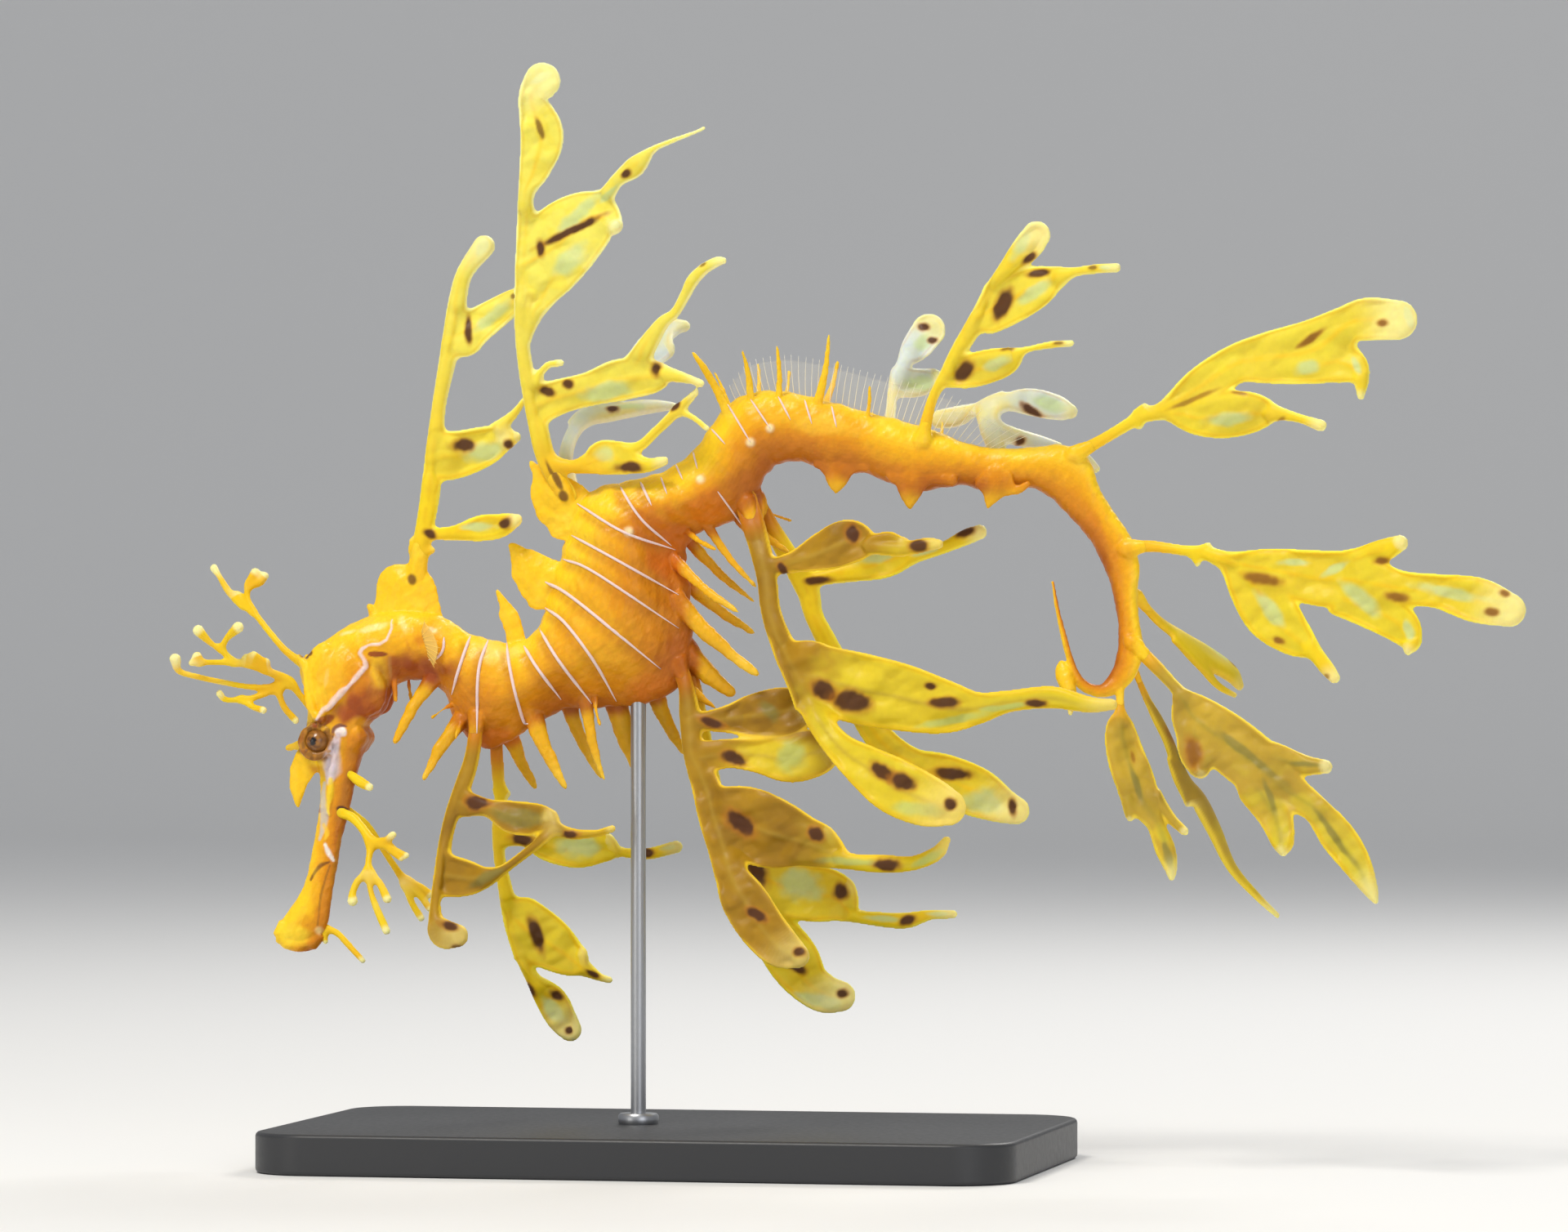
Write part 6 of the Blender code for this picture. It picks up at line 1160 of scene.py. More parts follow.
def plate_body(lobes, y0, thick, step=2.2):
    """A bony plate: rounded edges, standing at y0."""
    leaf = dict(root=y0, lobes=lobes)
    P, polys = cell_polygons(leaf, step)
    polys = biggest_patch(polys)
    used = sorted({i for p in polys for i in p})
    new = {i: k for k, i in enumerate(used)}
    P, polys = P[used], [[new[i] for i in p] for p in polys]
    f, y, _, _ = leaf_fields(leaf, P)
    d = np.clip(-f, 0, None) * UNIT
    r = thick * MM / 2
    thin = 0.00042
    h = thin + (r - thin) * smooth(d / (2.6 * r))
    h = h * np.sqrt(np.clip(1 - (1 - np.clip(d / (thin * 1.2), 0, 1)) ** 2, 0, 1))
    edges = {(a, b) for p in polys for a, b in zip(p, p[1:] + p[:1])}
    rim = np.zeros(len(P), bool)
    for a, b in edges:
        if (b, a) not in edges:
            rim[a] = rim[b] = True
    h[rim] = 0
    low = np.arange(len(P))
    low[~rim] = len(P) + np.arange((~rim).sum())
    mid = place(P[:, 0], P[:, 1], y)
    side = np.array([0, 1.0, 0]) * h[:, None]
    return np.vstack([mid - side, (mid + side)[~rim]]), [list(p) for p in polys] + [[int(low[i]) for i in reversed(p)] for p in polys]


def detailed_section(q, phi):
    """The body's surface with its rings of bone: each ring swells a little and its
    edge stands up as a low ridge."""
    base = section(q, phi)
    c, n, h, w, y = body_frame(q)
    frac = q - np.round(q)
    on = np.interp(q, [14, 17, 19, 46, 52, 60], [0, .5, 1, 1, .6, .2])
    swell = on * (-0.018 * np.cos(2 * math.pi * frac))
    mid = place(c[:, 0], c[:, 1], y)[:, None, :]
    return mid + (base - mid) * (1 + swell)[:, None, None]


def head_extras(pile):
    """What the rings leave out of the head: brow, orbit, gill cover, jaw, lips."""
    for side in (-1, 1):
        def at(u, v, y, mid=-1.6):
            yy = mid + side * y
            uu = u if side < 0 else mirror_u(u, mid - y, mid)
            return place(uu, v, yy)
        # gill cover and cheek
        pile.put(ball_body(at(428, 836, 2.9), (0.0060, 0.0031, 0.0081), 38))
        pile.put(ball_body(at(434, 904, 1.6, -2.0), (0.0025, 0.0032, 0.0038), -30))
        pile.put(ball_body(at(398, 836, 2.8), (0.0046, 0.0026, 0.0082), 8))
        # brow, from the front corner back over the eye
        brow = [at(358, 803, 2.7, -1.2), at(368, 818, 3.5, -1.4), at(372, 845, 4.1, -1.6), at(378, 872, 4.5, -1.9),
                at(392, 884, 4.9, -2.0)]
        pile.put(closed_tube(spline(np.array(brow), np.linspace(0, 4, 24)), np.interp(np.linspace(0, 1, 24), [0, .3, 1], [.0005, .0010, .0008])))
        # orbit
        e = at(EYE_U, EYE_V, EYE_OUT, EYE_MID)
        pile.put(ball_body(at(EYE_U, EYE_V, EYE_OUT - 2.0, EYE_MID), (0.0040, 0.0030, 0.0038)))
        pile.put(ring_body(Vector(e) + Vector((0, side * 0.0010, 0)), (0.12, side, 0.10), 0.00292, 0.00088, squash=1.0))
        # the pale knob behind the eye and the ridge below it
        pile.put(ball_body(at(414, 897, 3.9, -2.1), (0.0013, 0.0011, 0.0013)))
        pile.put(closed_tube(spline(np.array([at(412, 905, 3.4, -2.2), at(405, 930, 2.9, -2.5), at(400, 962, 2.1, -2.8),
                                              at(397, 1000, 1.7, -3.1)]), np.linspace(0, 3, 16)),
                             np.linspace(0.0012, 0.0006, 16)))
        # ridge of the gill cover
        ridge = [at(480, 764, 3.6, -.6), at(470, 786, 4.3, -.8), at(442, 802, 4.6, -1.0), at(444, 820, 5.0, -1.2),
                 at(424, 843, 5.3, -1.5), at(404, 862, 5.2, -1.7), at(390, 876, 4.9, -1.9)]
        pile.put(closed_tube(spline(np.array(ridge), np.linspace(0, 6, 40)), np.full(40, 0.00062)))
    # lips round an upturned mouth
    pile.put(closed_tube(place(np.array([334, 345, 360, 377, 388]), np.array([1151, 1158, 1161, 1158, 1147]),
                               np.full(5, -4.6)), [0.0011, 0.0015, 0.0016, 0.0015, 0.0011]))
    pile.put(closed_tube(place(np.array([341, 337, 343]), np.array([1132, 1146, 1158]), np.full(3, -4.6)),
                         [0.0011, 0.0015, 0.0012], squash=1.2))


def curved_spine(spine):
    """A blunt thorn, flattened from side to side, that bends a little towards the tail."""
    (u0, v0), (u1, v1), w, y0, y1 = seated(spine)
    a, b = place(u0, v0, y0), place(u1, v1, y1)
    t = np.array([0, .08, .2, .35, .5, .65, .78, .88, .95, .99, 1.0])
    axis = (b - a) / np.linalg.norm(b - a)
    flat = np.cross(axis, (0, 1.0, 0))
    flat /= np.linalg.norm(flat)
    side = np.cross(flat, axis)
    line = a + (b - a) * t[:, None] + flat * (-0.035 * np.linalg.norm(b - a) * np.sin(math.pi * t))[:, None]
    r = np.maximum(np.interp(t, [0, .86, .95, .99, 1], [w / 2, w * .225, w * .17, w * .085, w * .02]) * UNIT,
                   np.interp(t, [0, .96, 1], [0.00034, 0.00034, 0.00015]))
    ang = np.linspace(0, 2 * math.pi, 16, endpoint=False)
    rings = [p + rr * np.cos(ang)[:, None] * flat + max(0.62 * rr, min(rr, 0.00030)) * np.sin(ang)[:, None] * side
             for p, rr in zip(line, r)]
    v = np.array(rings)
    n, m = v.shape[:2]
    return v.reshape(-1, 3), [(i * m + j, i * m + (j + 1) % m, (i + 1) * m + (j + 1) % m, (i + 1) * m + j)
                              for i in range(n - 1) for j in range(m)] + [tuple(range(m)), tuple((n - 1) * m + j for j in range(m))]


EYE_U, EYE_V, EYE_OUT, EYE_R = 384.0, 909.0, 3.3, 0.0027
EYE_MID = float(body_frame(np.array([9.3]))[4][0])
pile = Pile()
q = np.linspace(0, len(RINGS) - 1, (len(RINGS) - 1) * 8 + 1)
phi = np.linspace(0, 2 * math.pi, 48, endpoint=False)
surface = detailed_section(q, phi)
n, m = surface.shape[:2]
pile.put((surface.reshape(-1, 3),
          [(i * m + j, i * m + (j + 1) % m, (i + 1) * m + (j + 1) % m, (i + 1) * m + j) for i in range(n - 1) for j in range(m)]
          + [tuple(range(m)), tuple((n - 1) * m + j for j in range(m))]))
for name, (y0, thick, lobes) in PLATES.items():
    pile.put(plate_body(lobes, y0, thick))
for spine in SPINES:
    pile.put(curved_spine(spine))
head_extras(pile)
# roots of the leaves, flaring out of the skin
for name, leaf in LEAVES.items():
    if leaf["tone"] == "pale":
        continue
    lb = leaf["lobes"][0]
    c, r, t, length = lobe_samples(lb)
    reach = [-12, -6, 2, 10, 18, 27, 31, 34]
    flare = [0.25, 1.0, 1.42, 1.28, 1.08, 0.92, 0.60, 0.20]
    widest = 9.5
    if name == "leaf_nape":
        reach, flare, widest = [-16, -6, 8, 24, 40, 50, 55, 58], [0.2, 0.7, 0.96, 1.06, 1.05, 0.98, 0.66, 0.20], 20.0
    if name == "leaf_shoulder_left":
        reach, flare, widest = [-34, -20, -8, 6, 20, 30, 36, 40], [0.10, 0.40, 0.72, 0.94, 1.02, 1.0, 0.66, 0.20], 11.0
    at = np.linspace(reach[0], reach[-1], 20)
    back = c[0] - c[min(4, len(c) - 1)]
    back /= np.linalg.norm(back)
    cu = np.where(at < 0, c[0, 0] - at * back[0], np.interp(at, t * length, c[:, 0]))
    cv = np.where(at < 0, c[0, 1] - at * back[1], np.interp(at, t * length, c[:, 1]))
    y = leaf["root"] + np.interp(at, t * length, lobe_rise(lb, t, np.zeros(len(t))))
    y = y + np.where(at < 0, (PLATES["saddle_high"][0] - leaf["root"]) * at / -34, 0) * (name == "leaf_shoulder_left")
    width = np.minimum(np.interp(at, t * length, r), widest)
    pile.put(closed_tube(place(cu, cv, y), width * np.interp(at, reach, flare) * UNIT, 16, squash=0.8))
skin = pile.mesh("skin")
bpy.context.view_layer.objects.active = skin
remesh = skin.modifiers.new("remesh", "REMESH")
remesh.mode, remesh.voxel_size = "VOXEL", VOXEL
remesh.use_smooth_shade = True
relax = skin.modifiers.new("relax", "SMOOTH")
relax.factor, relax.iterations = 0.5, 5
graph = bpy.context.evaluated_depsgraph_get()
finished = bpy.data.meshes.new_from_object(skin.evaluated_get(graph))
skin.modifiers.clear()
skin.data = finished
count = len(skin.data.vertices)
co = np.empty(count * 3, np.float32)
skin.data.vertices.foreach_get("co", co)
co = co.reshape(-1, 3).astype(float)
normal = np.empty(count * 3, np.float32)
skin.data.vertices.foreach_get("normal", normal)
normal = normal.reshape(-1, 3).astype(float)

# Each point's own place on the body: ring number, dorsal to ventral, and its
# place on the near side's elevation, which the far side shares by symmetry.
tree = kdtree.KDTree(n * m)
flat = surface.reshape(-1, 3)
for i in range(len(flat)):
    tree.insert(flat[i], i)
tree.balance()
near = np.array([tree.find(p)[1] for p in co])
ring_of = q[near // m]
dorsal = np.cos(phi[near % m])
mid_y = body_frame(ring_of)[4] * MM
lateral = co[:, 1] - mid_y
yy = mid_y - np.abs(lateral)
U = U_STAND + (co[:, 0] * COS_T + yy * SIN_T) / UNIT
V = V_FLOOR - co[:, 2] / UNIT
B = np.stack([U, V], -1)
off_body = np.linalg.norm(co - flat[near], axis=1)
# The throat draws in above and below the lobe of the gill cover.
pinch = -13 * np.exp(-((V - 889) / 11) ** 2) - 13 * np.exp(-((V - 937) / 20) ** 2)
pinch = pinch * step_up(U, 424, 462) * (1 - step_up(U, 468, 481))
co[:, 0] += pinch * UNIT / COS_T
U = U + pinch
B = np.stack([U, V], -1)

# Sutures: pale lines where the rings of bone meet, on both flanks.
SUTURES = [
    [(574, 776), (562, 812), (550, 851)], [(595, 784), (584, 823), (582, 901)], [(618, 787), (624, 823), (638, 880), (645, 887)],
    [(640, 791), (656, 816), (686, 857)], [(657, 766), (684, 809), (724, 862)], [(666, 744), (691, 762), (727, 809), (754, 859)],
    [(666, 712), (704, 734), (809, 819)], [(688, 684), (727, 700), (831, 769)], [(699, 655), (749, 682), (831, 728)],
    [(706, 616), (763, 651), (827, 673)], [(752, 584), (784, 634), (822, 668)], [(784, 590), (798, 619)],
    [(809, 584), (817, 605)], [(827, 568), (836, 587)], [(848, 551), (854, 574)], [(871, 525), (888, 544)],
    [(891, 495), (919, 542)], [(919, 489), (943, 525)], [(879, 602), (915, 651)], [(953, 486), (968, 515)],
    [(985, 490), (994, 520)], [(1018, 498), (1024, 524)]]
TUBERCLES = [(858, 587, 5.5), (919, 542, 5.5), (943, 525, 5), (770, 651, 6)]
OPERCULUM = [(477, 761), (476, 771), (470, 784), (461, 789), (449, 790), (440, 795), (437, 800), (443, 809), (444, 817),
             (438, 824), (431, 832), (422, 842), (413, 849), (406, 857), (399, 866), (391, 870), (384, 881)]


def polyline_distance(B, line):
    best = np.full(len(B), 1e9)
    at = np.zeros(len(B))
    p = np.array(line, float)
    for i in range(len(p) - 1):
        e = p[i + 1] - p[i]
        s = np.clip(((B - p[i]) @ e) / (e @ e), 0, 1)
        g = np.hypot(B[:, 0] - p[i, 0] - s * e[0], B[:, 1] - p[i, 1] - s * e[1])
        hit = g < best
        best[hit] = g[hit]
        at[hit] = ((i + s) / (len(p) - 1))[hit]
    return best, at


on_flank = np.exp(-(off_body / 0.0016) ** 2)
suture = np.zeros(count)
for i, line in enumerate(SUTURES):
    soft = spline(np.array(line, float), np.linspace(0, len(line) - 1, 9)) if len(line) > 2 else line
    g, at = polyline_distance(B, soft)
    strength = 1.0 if i < 12 else 0.7
    suture = np.maximum(suture, strength * np.exp(-(g / 2.3) ** 2) * (1 - 0.35 * step_up(at, .8, 1)))
suture *= on_flank
groove = np.zeros(count)
for line in SUTURES[:12]:
    soft = spline(np.array(line, float), np.linspace(0, len(line) - 1, 9)) if len(line) > 2 else line
    g, at = polyline_distance(B, soft)
    groove = np.maximum(groove, np.exp(-(g / 6.0) ** 2) * step_up(at, 0, .12) * step_up(1 - at, 0, .2))
groove *= on_flank
knob = np.zeros(count)
for u, v, r in TUBERCLES:
    knob = np.maximum(knob, np.exp(-(np.hypot(U - u, V - v) / r) ** 4))
knob *= on_flank
gill = np.exp(-(polyline_distance(B, OPERCULUM)[0] / 4.0) ** 2) * step_up(-np.abs(ring_of - 12), -5, -4.4)
ring_ridge = np.exp(-((ring_of - np.round(ring_of)) / 0.10) ** 2) * np.interp(ring_of, [16, 18, 33, 36, 50, 60], [0, .25, .25, .5, .5, 0])
rough = wave(co / MM, 1.6, 51, 3)
crown = np.interp(ring_of, [0, 6, 9, 20, 34, 50], [0.5, 0.6, 1.3, 1.1, 0.7, 0.3])
rise = crown * (0.13 * wave(co / MM, 7.0, 81, 2) + 0.06 * wave(co / MM, 3.0, 82, 2)) - 0.24 * groove + 0.42 * knob + 0.40 * gill + 0.10 * ring_ridge * step_up(dorsal, -.9, -.2) + 0.05 * rough
co2 = co + normal * (rise * MM)[:, None]
skin.data.vertices.foreach_set("co", co2.astype(np.float32).ravel())
skin.data.update()

# Colour: gold on top, amber to rust on the flanks and belly, laid on by height round the body as painted light above
# and painted shade below.
broad = wave(co / MM, 24, 61)
small = wave(co / MM, 7.5, 62, 2)
t = 0.5 + 0.5 * dorsal + 0.14 * broad + 0.05 * small
tint = mix((0.42, 0.110, 0.004), (0.70, 0.26, 0.004), step_up(t, -0.05, 0.34))
tint = mix(tint, (0.83, 0.40, 0.005), step_up(t, 0.30, 0.64))
tint = mix(tint, (0.95, 0.60, 0.014), step_up(t, 0.62, 0.95))
PATCHES = [
    # u, v, radius along, radius across, angle, colour, strength: head
    (455, 850, 60, 36, -42, (0.62, 0.20, 0.008), 0.85), (440, 868, 52, 27, -28, (0.33, 0.058, 0.008), 0.92),
    (462, 862, 44, 15, -58, (0.40, 0.084, 0.010), 0.80),
    (460, 820, 24, 15, 80, (0.94, 0.60, 0.02), 0.70), (474, 818, 15, 3, 88, (0.96, 0.78, 0.30), 0.25), (459, 801, 12, 3.4, 0, (0.26, 0.035, 0.008), 0.9),
    (510, 823, 54, 25, 4, (0.31, 0.056, 0.010), 0.94), (511, 784, 10, 9, 0, (0.62, 0.20, 0.006), 0.75),
    (432, 890, 21, 11, -20, (0.86, 0.40, 0.010), 0.75), (447, 908, 20, 9, 70, (0.50, 0.17, 0.012), 0.75),
    # (452, 769), (420, 775) and (491, 765): painted highlights along the top of the head.
    (452, 769, 22, 4.5, -14, (0.98, 0.84, 0.40), 0.6), (420, 775, 15, 3.6, -15, (0.98, 0.84, 0.40), 0.6),
    (491, 765, 14, 5, 72, (0.98, 0.80, 0.34), 0.5), (525, 771, 8, 4, 20, (0.98, 0.84, 0.50), 0.7),
    (497, 792, 15, 3, 72, (0.66, 0.25, 0.008), 0.6), (400, 822, 30, 22, 75, (0.95, 0.52, 0.012), 0.5),
    (395, 832, 14, 3, 100, (0.95, 0.70, 0.30), 0.25),
    (383, 911, 30, 27, 0, (0.27, 0.105, 0.018), 0.95), (366, 912, 16, 9, 90, (0.40, 0.12, 0.012), 0.7),
    (392, 884, 15, 6, -22, (0.28, 0.045, 0.010), 0.85), (390, 893, 6, 4, 0, (0.80, 0.42, 0.02), 0.8),
    (369, 801, 8.5, 5.5, -10, (0.12, 0.030, 0.008), 0.9),
    (346, 918, 12, 8, 0, (0.97, 0.76, 0.10), 0.8), (358, 962, 32, 18, 100, (0.96, 0.60, 0.014), 0.85),
    (380, 944, 16, 9, 20, (0.62, 0.24, 0.012), 0.7),
    # snout
    (418, 972, 56, 10, 98, (0.46, 0.170, 0.012), 0.85),
    (412, 897, 9, 8, 0, (0.92, 0.86, 0.84), 0.95),
    (414, 993, 7, 4, 15, (0.07, 0.025, 0.015), 0.9),
    (386, 994, 6, 3.6, 0, (0.30, 0.06, 0.010), 0.8),
    # (380, 1161) is painted shade at the mouth.
    (407, 1062, 60, 5, 98, (0.56, 0.24, 0.012), 0.65), (380, 1161, 18, 5, -14, (0.50, 0.20, 0.010), 0.5),
    (362, 1110, 34, 22, 110, (0.97, 0.62, 0.014), 0.6), (352, 1148, 24, 16, 0, (0.98, 0.72, 0.03), 0.7),
    (387, 1142, 7, 6, 0, (0.98, 0.84, 0.40), 0.6),
    # neck and trunk
    (610, 905, 60, 14, 0, (0.66, 0.17, 0.006), 0.6), (700, 862, 60, 10, 0, (0.46, 0.13, 0.010), 0.6),
    (606, 800, 30, 16, 0, (0.98, 0.80, 0.30), 0.45), (800, 838, 34, 20, -10, (0.66, 0.17, 0.006), 0.7),
    (820, 690, 46, 26, 60, (0.60, 0.14, 0.006), 0.85), (795, 645, 62, 30, 30, (0.60, 0.15, 0.006), 0.8),
    (860, 620, 46, 30, -20, (0.66, 0.17, 0.006), 0.75), (740, 790, 60, 26, 40, (0.88, 0.42, 0.012), 0.5),
    (930, 630, 30, 26, 0, (0.66, 0.17, 0.006), 0.6), (905, 590, 40, 20, -40, (0.52, 0.15, 0.010), 0.6),
    (700, 600, 26, 20, 0, (0.86, 0.42, 0.012), 0.5),
    # tail
    (960, 545, 60, 18, 0, (0.62, 0.20, 0.010), 0.55), (1060, 572, 60, 14, 10, (0.60, 0.19, 0.010), 0.55),
    (1000, 520, 60, 16, 8, (0.97, 0.66, 0.05), 0.35), (1330, 650, 30, 20, 60, (0.62, 0.20, 0.010), 0.5)]
for u, v, ru, rv, ang, colour, strength in PATCHES:
    a = math.radians(ang)
    du, dv = U - u, V - v
    if rv > ru:
        ru, rv = rv, ru
    e = np.hypot((du * math.cos(a) + dv * math.sin(a)) / ru, (dv * math.cos(a) - du * math.sin(a)) / rv)
    e = e + 0.22 * small
    edge = 0.80 if max(ru, rv) <= 30 and strength >= 0.8 else 0.30
    tint = mix(tint, colour, strength * (1 - step_up(e, edge, 1.12)))
STREAKS = [
    # course, half widths, colour, strength: the pale blaze below the eye and the lines down the snout
    ([(410, 900), (406, 914), (402, 930), (400, 945), (398, 959)], [3.0, 5.5, 9.5, 11.0, 4.0], (0.66, 0.58, 0.63), 0.94),
    ([(403, 903), (404, 894), (411, 889), (420, 890)], [1.2, 2.2, 2.2, 1.0], (0.10, 0.03, 0.05), 0.85),
    ([(392, 960), (390, 980), (392, 996), (391, 1010), (386, 1030)], [2.0, 4.5, 7.0, 4.5, 2.0], (0.56, 0.53, 0.46), 0.82),
    ([(400, 956), (399, 974), (396, 990), (398, 1000)], [3.0, 4.0, 3.2, 1.5], (0.95, 0.66, 0.02), 0.85),
    ([(391, 1012), (395, 1022), (393, 1030)], [2.0, 3.0, 1.5], (0.92, 0.58, 0.03), 0.7),
    ([(398, 1058), (388, 1062), (381, 1069), (375, 1080)], [1.6, 3.0, 2.8, 1.4], (0.17, 0.055, 0.010), 0.85),
    ([(399, 1062), (393, 1080), (388, 1098), (386, 1115), (384, 1136)], [1.4, 1.8, 1.8, 1.5, 1.2], (0.30, 0.12, 0.010), 0.65),
    ([(393, 1036), (397, 1046), (403, 1056)], [2.0, 3.2, 2.2], (0.86, 0.82, 0.78), 0.92)]
for line, widths, colour, strength in STREAKS:
    gap, at = polyline_distance(B, spline(np.array(line, float), np.linspace(0, len(line) - 1, 14)))
    wide = np.interp(at, np.linspace(0, 1, len(widths)), widths) * (1 + 0.2 * small)
    tint = mix(tint, colour, strength * (1 - step_up(gap / wide, 0.45, 1.35)))
# Random blotches: rust on the underside, bright yellow on top; placed by height round the body, they carry on the
# painted shade below and the painted light above.
tint = mix(tint, (0.58, 0.17, 0.008), 0.25 * step_up(small + 0.4 * broad, 0.25, 0.9) * step_up(-dorsal, -.6, .3))
tint = mix(tint, (0.98, 0.72, 0.08), 0.25 * step_up(-small, 0.2, 0.9) * step_up(dorsal, .0, .8))
shadow = np.zeros(count)
for i, line in enumerate(SUTURES[:12]):
    soft = spline(np.array(line, float), np.linspace(0, len(line) - 1, 9)) if len(line) > 2 else line
    g, at = polyline_distance(B + np.array([4.0, -5.0]), soft)
    shadow = np.maximum(shadow, np.exp(-(g / 6.5) ** 2) * step_up(at, 0, .15) * step_up(1 - at, 0, .15))
tint = mix(tint, (0.50, 0.17, 0.005), 0.58 * shadow * on_flank)
tint = mix(tint, (0.97, 0.80, 0.46), 0.9 * knob)
gap, at = polyline_distance(B, OPERCULUM)
band = np.interp(at, [0, .4, .6, .75, .9, 1], [1.7, 2.1, 3.2, 4.6, 4.2, 2.2]) * (1 + 0.35 * small)
tint = mix(tint, (0.82, 0.66, 0.64), (0.80 + 0.14 * wave(B, 9.0, 92)) * (1 - step_up(gap / band, 0.50, 1.15)))
lid = 1 - step_up(np.hypot(U - 382, V - 909), 22, 30)
tint = mix(tint, (0.52, 0.22, 0.020), 0.70 * lid * step_up(wave(co / MM, 2.4, 93, 2), 0.0, 0.7))
tint = mix(tint, (0.10, 0.032, 0.008), 0.55 * lid * step_up(-wave(co / MM, 2.0, 94, 2), 0.1, 0.8))
thorn = step_up(off_body, 0.0012, 0.0034)
thorn = thorn * step_up(np.hypot(U - 386, V - 908), 26, 36)
tint = mix(tint, (0.90, 0.54, 0.008), 0.65 * thorn)
tint = mix(tint, (0.94, 0.68, 0.06), 0.4 * step_up(off_body, 0.008, 0.014))
for u, v, ru, rv, ang in ((500, 709, 8, 6.5, 80), (690, 607, 8, 6, 60), (681, 586, 17, 4, 62)):
    tint = mix(tint, (0.12, 0.035, 0.008), 0.85 * (1 - step_up(blot(B, u, v, 2 * ru, 2 * rv, ang) + 0.1 * small, 0.6, 1.15)))
paint(skin.data, "tint", tint)
skin_finish = node_material("skin_finish", "tint", 0.42, bump=(1800.0, 0.00008), subsurface=0.22, radius=(1.0, .45, .10),
                            scale=0.0010, coat=0.06, specular=0.24, speckle=0.06)
dress(skin, skin_finish, SKIN_NODES)

# Raised pale lines where the rings meet, and the rim of the gill opening.
GILL_ARC = [(541, 780), (540, 795), (533, 805), (522, 808)]
lines = [(line, (2.1 if i < 7 else 1.7) if i < 12 else 1.2, 1.0) for i, line in enumerate(SUTURES)] + [(GILL_ARC, 1.8, 1.0)]
hull = BVHTree.FromPolygons([Vector(p) for p in co2.tolist()], [tuple(p.vertices) for p in skin.data.polygons])
to_view = Vector((-SIN_T, COS_T, 0.0))
pile = Pile()
for line, thick, _ in lines:
    soft = spline(np.array(line, float), np.linspace(0, len(line) - 1, 26)) if len(line) > 2 else (
        np.array(line[0], float) + (np.array(line[1], float) - np.array(line[0], float)) * np.linspace(0, 1, 16)[:, None])
    near_line, far_line = [], []
    for u, v in soft:
        start = Vector(place(u, v, 0.0)) - to_view * 0.08
        hit, face_normal, _, _ = hull.ray_cast(start, to_view)
        if hit is None or (hit - start).length > 0.08:
            continue
        near_line.append(tuple(hit - to_view * 0.00008))
        mid = float(body_frame(np.array([depth_place(u, v)[0]]))[4][0]) * MM
        other = Vector((hit.x, 2 * mid - hit.y, hit.z))
        found = hull.find_nearest(other)[0]
        if found is not None and (found - other).length < 0.0025:
            far_line.append(tuple(found))
    for points in (near_line, far_line):
        if len(points) < 5:
            continue
        p = np.array(points)
        p[1:-1] = (p[:-2] + 2 * p[1:-1] + p[2:]) / 4
        t = np.linspace(0, 1, len(p))
        r = thick * UNIT * np.minimum(np.minimum(0.35 + t * 5, 0.25 + (1 - t) * 3.0), 1.0)
        pile.put(closed_tube(p, r, 10))
seams = pile.mesh("ring_lines")
line_finish = node_material("line_finish", (0.80, 0.62, 0.60), 0.45, subsurface=0.3, radius=(1, .6, .4), scale=0.0005, specular=0.35)
dress(seams, line_finish)

# ---------------------------------------------------------------- leaves and threads
# Painted light on the shaded leaves: SUNNY is where each turns from painted shade to sunlit yellow, GLOW gives its
# painted pools of light.
GLOW = {"leaf_rump_left": [(952, 930, 150, 66, 0)], "leaf_hip_left": [(1085, 835, 150, 60, 8)]}
SUNNY = {"leaf_rump_left": (985, 1090, 0.1), "leaf_hip_left": (950, 1040, 0.6), "leaf_belly_left": (640, 900, 0),
         "leaf_tail_lower_left": (930, 1060, 0), "leaf_tail_curl": (1005, 1070, 0), "leaf_tail_lower_right": (1000, 1120, 0),
         "leaf_tail_upper_right": (1330, 1450, 0)}
leaf_finish = node_material("leaf_finish", "tint", 0.48, bump=(1100.0, 0.00004), subsurface=0.55, radius=(1.0, .80, .10),
                            scale=0.0012, coat=0.02, specular=0.22, speckle=0.03)
leaf_step = 1.5
for name, leaf in LEAVES.items():
    leaf["sunny"] = SUNNY.get(name, (9000, 9001, 0))
    leaf["glow"] = GLOW.get(name, [])
    root = place(*leaf["lobes"][0]["path"][0], leaf["root"])
    leaf["skin"] = tuple(tint[np.linalg.norm(co - root, axis=1) < 0.0035].mean(axis=0))
    dress(build_leaf(name + "_skin", leaf, leaf_step), leaf_finish, [name])
for name, leaf in THREADS.items():
    dress(build_leaf(name + "_skin", leaf, 1.2), leaf_finish, [name])

# ---------------------------------------------------------------- fins
ray_finish = node_material("ray_finish", (0.88, 0.82, 0.62), 0.35, subsurface=0.4, radius=(1, .9, .6), scale=0.0006)
web_finish = node_material("web_finish", (0.90, 0.88, 0.74), 0.25, alpha=0.06, specular=0.25)


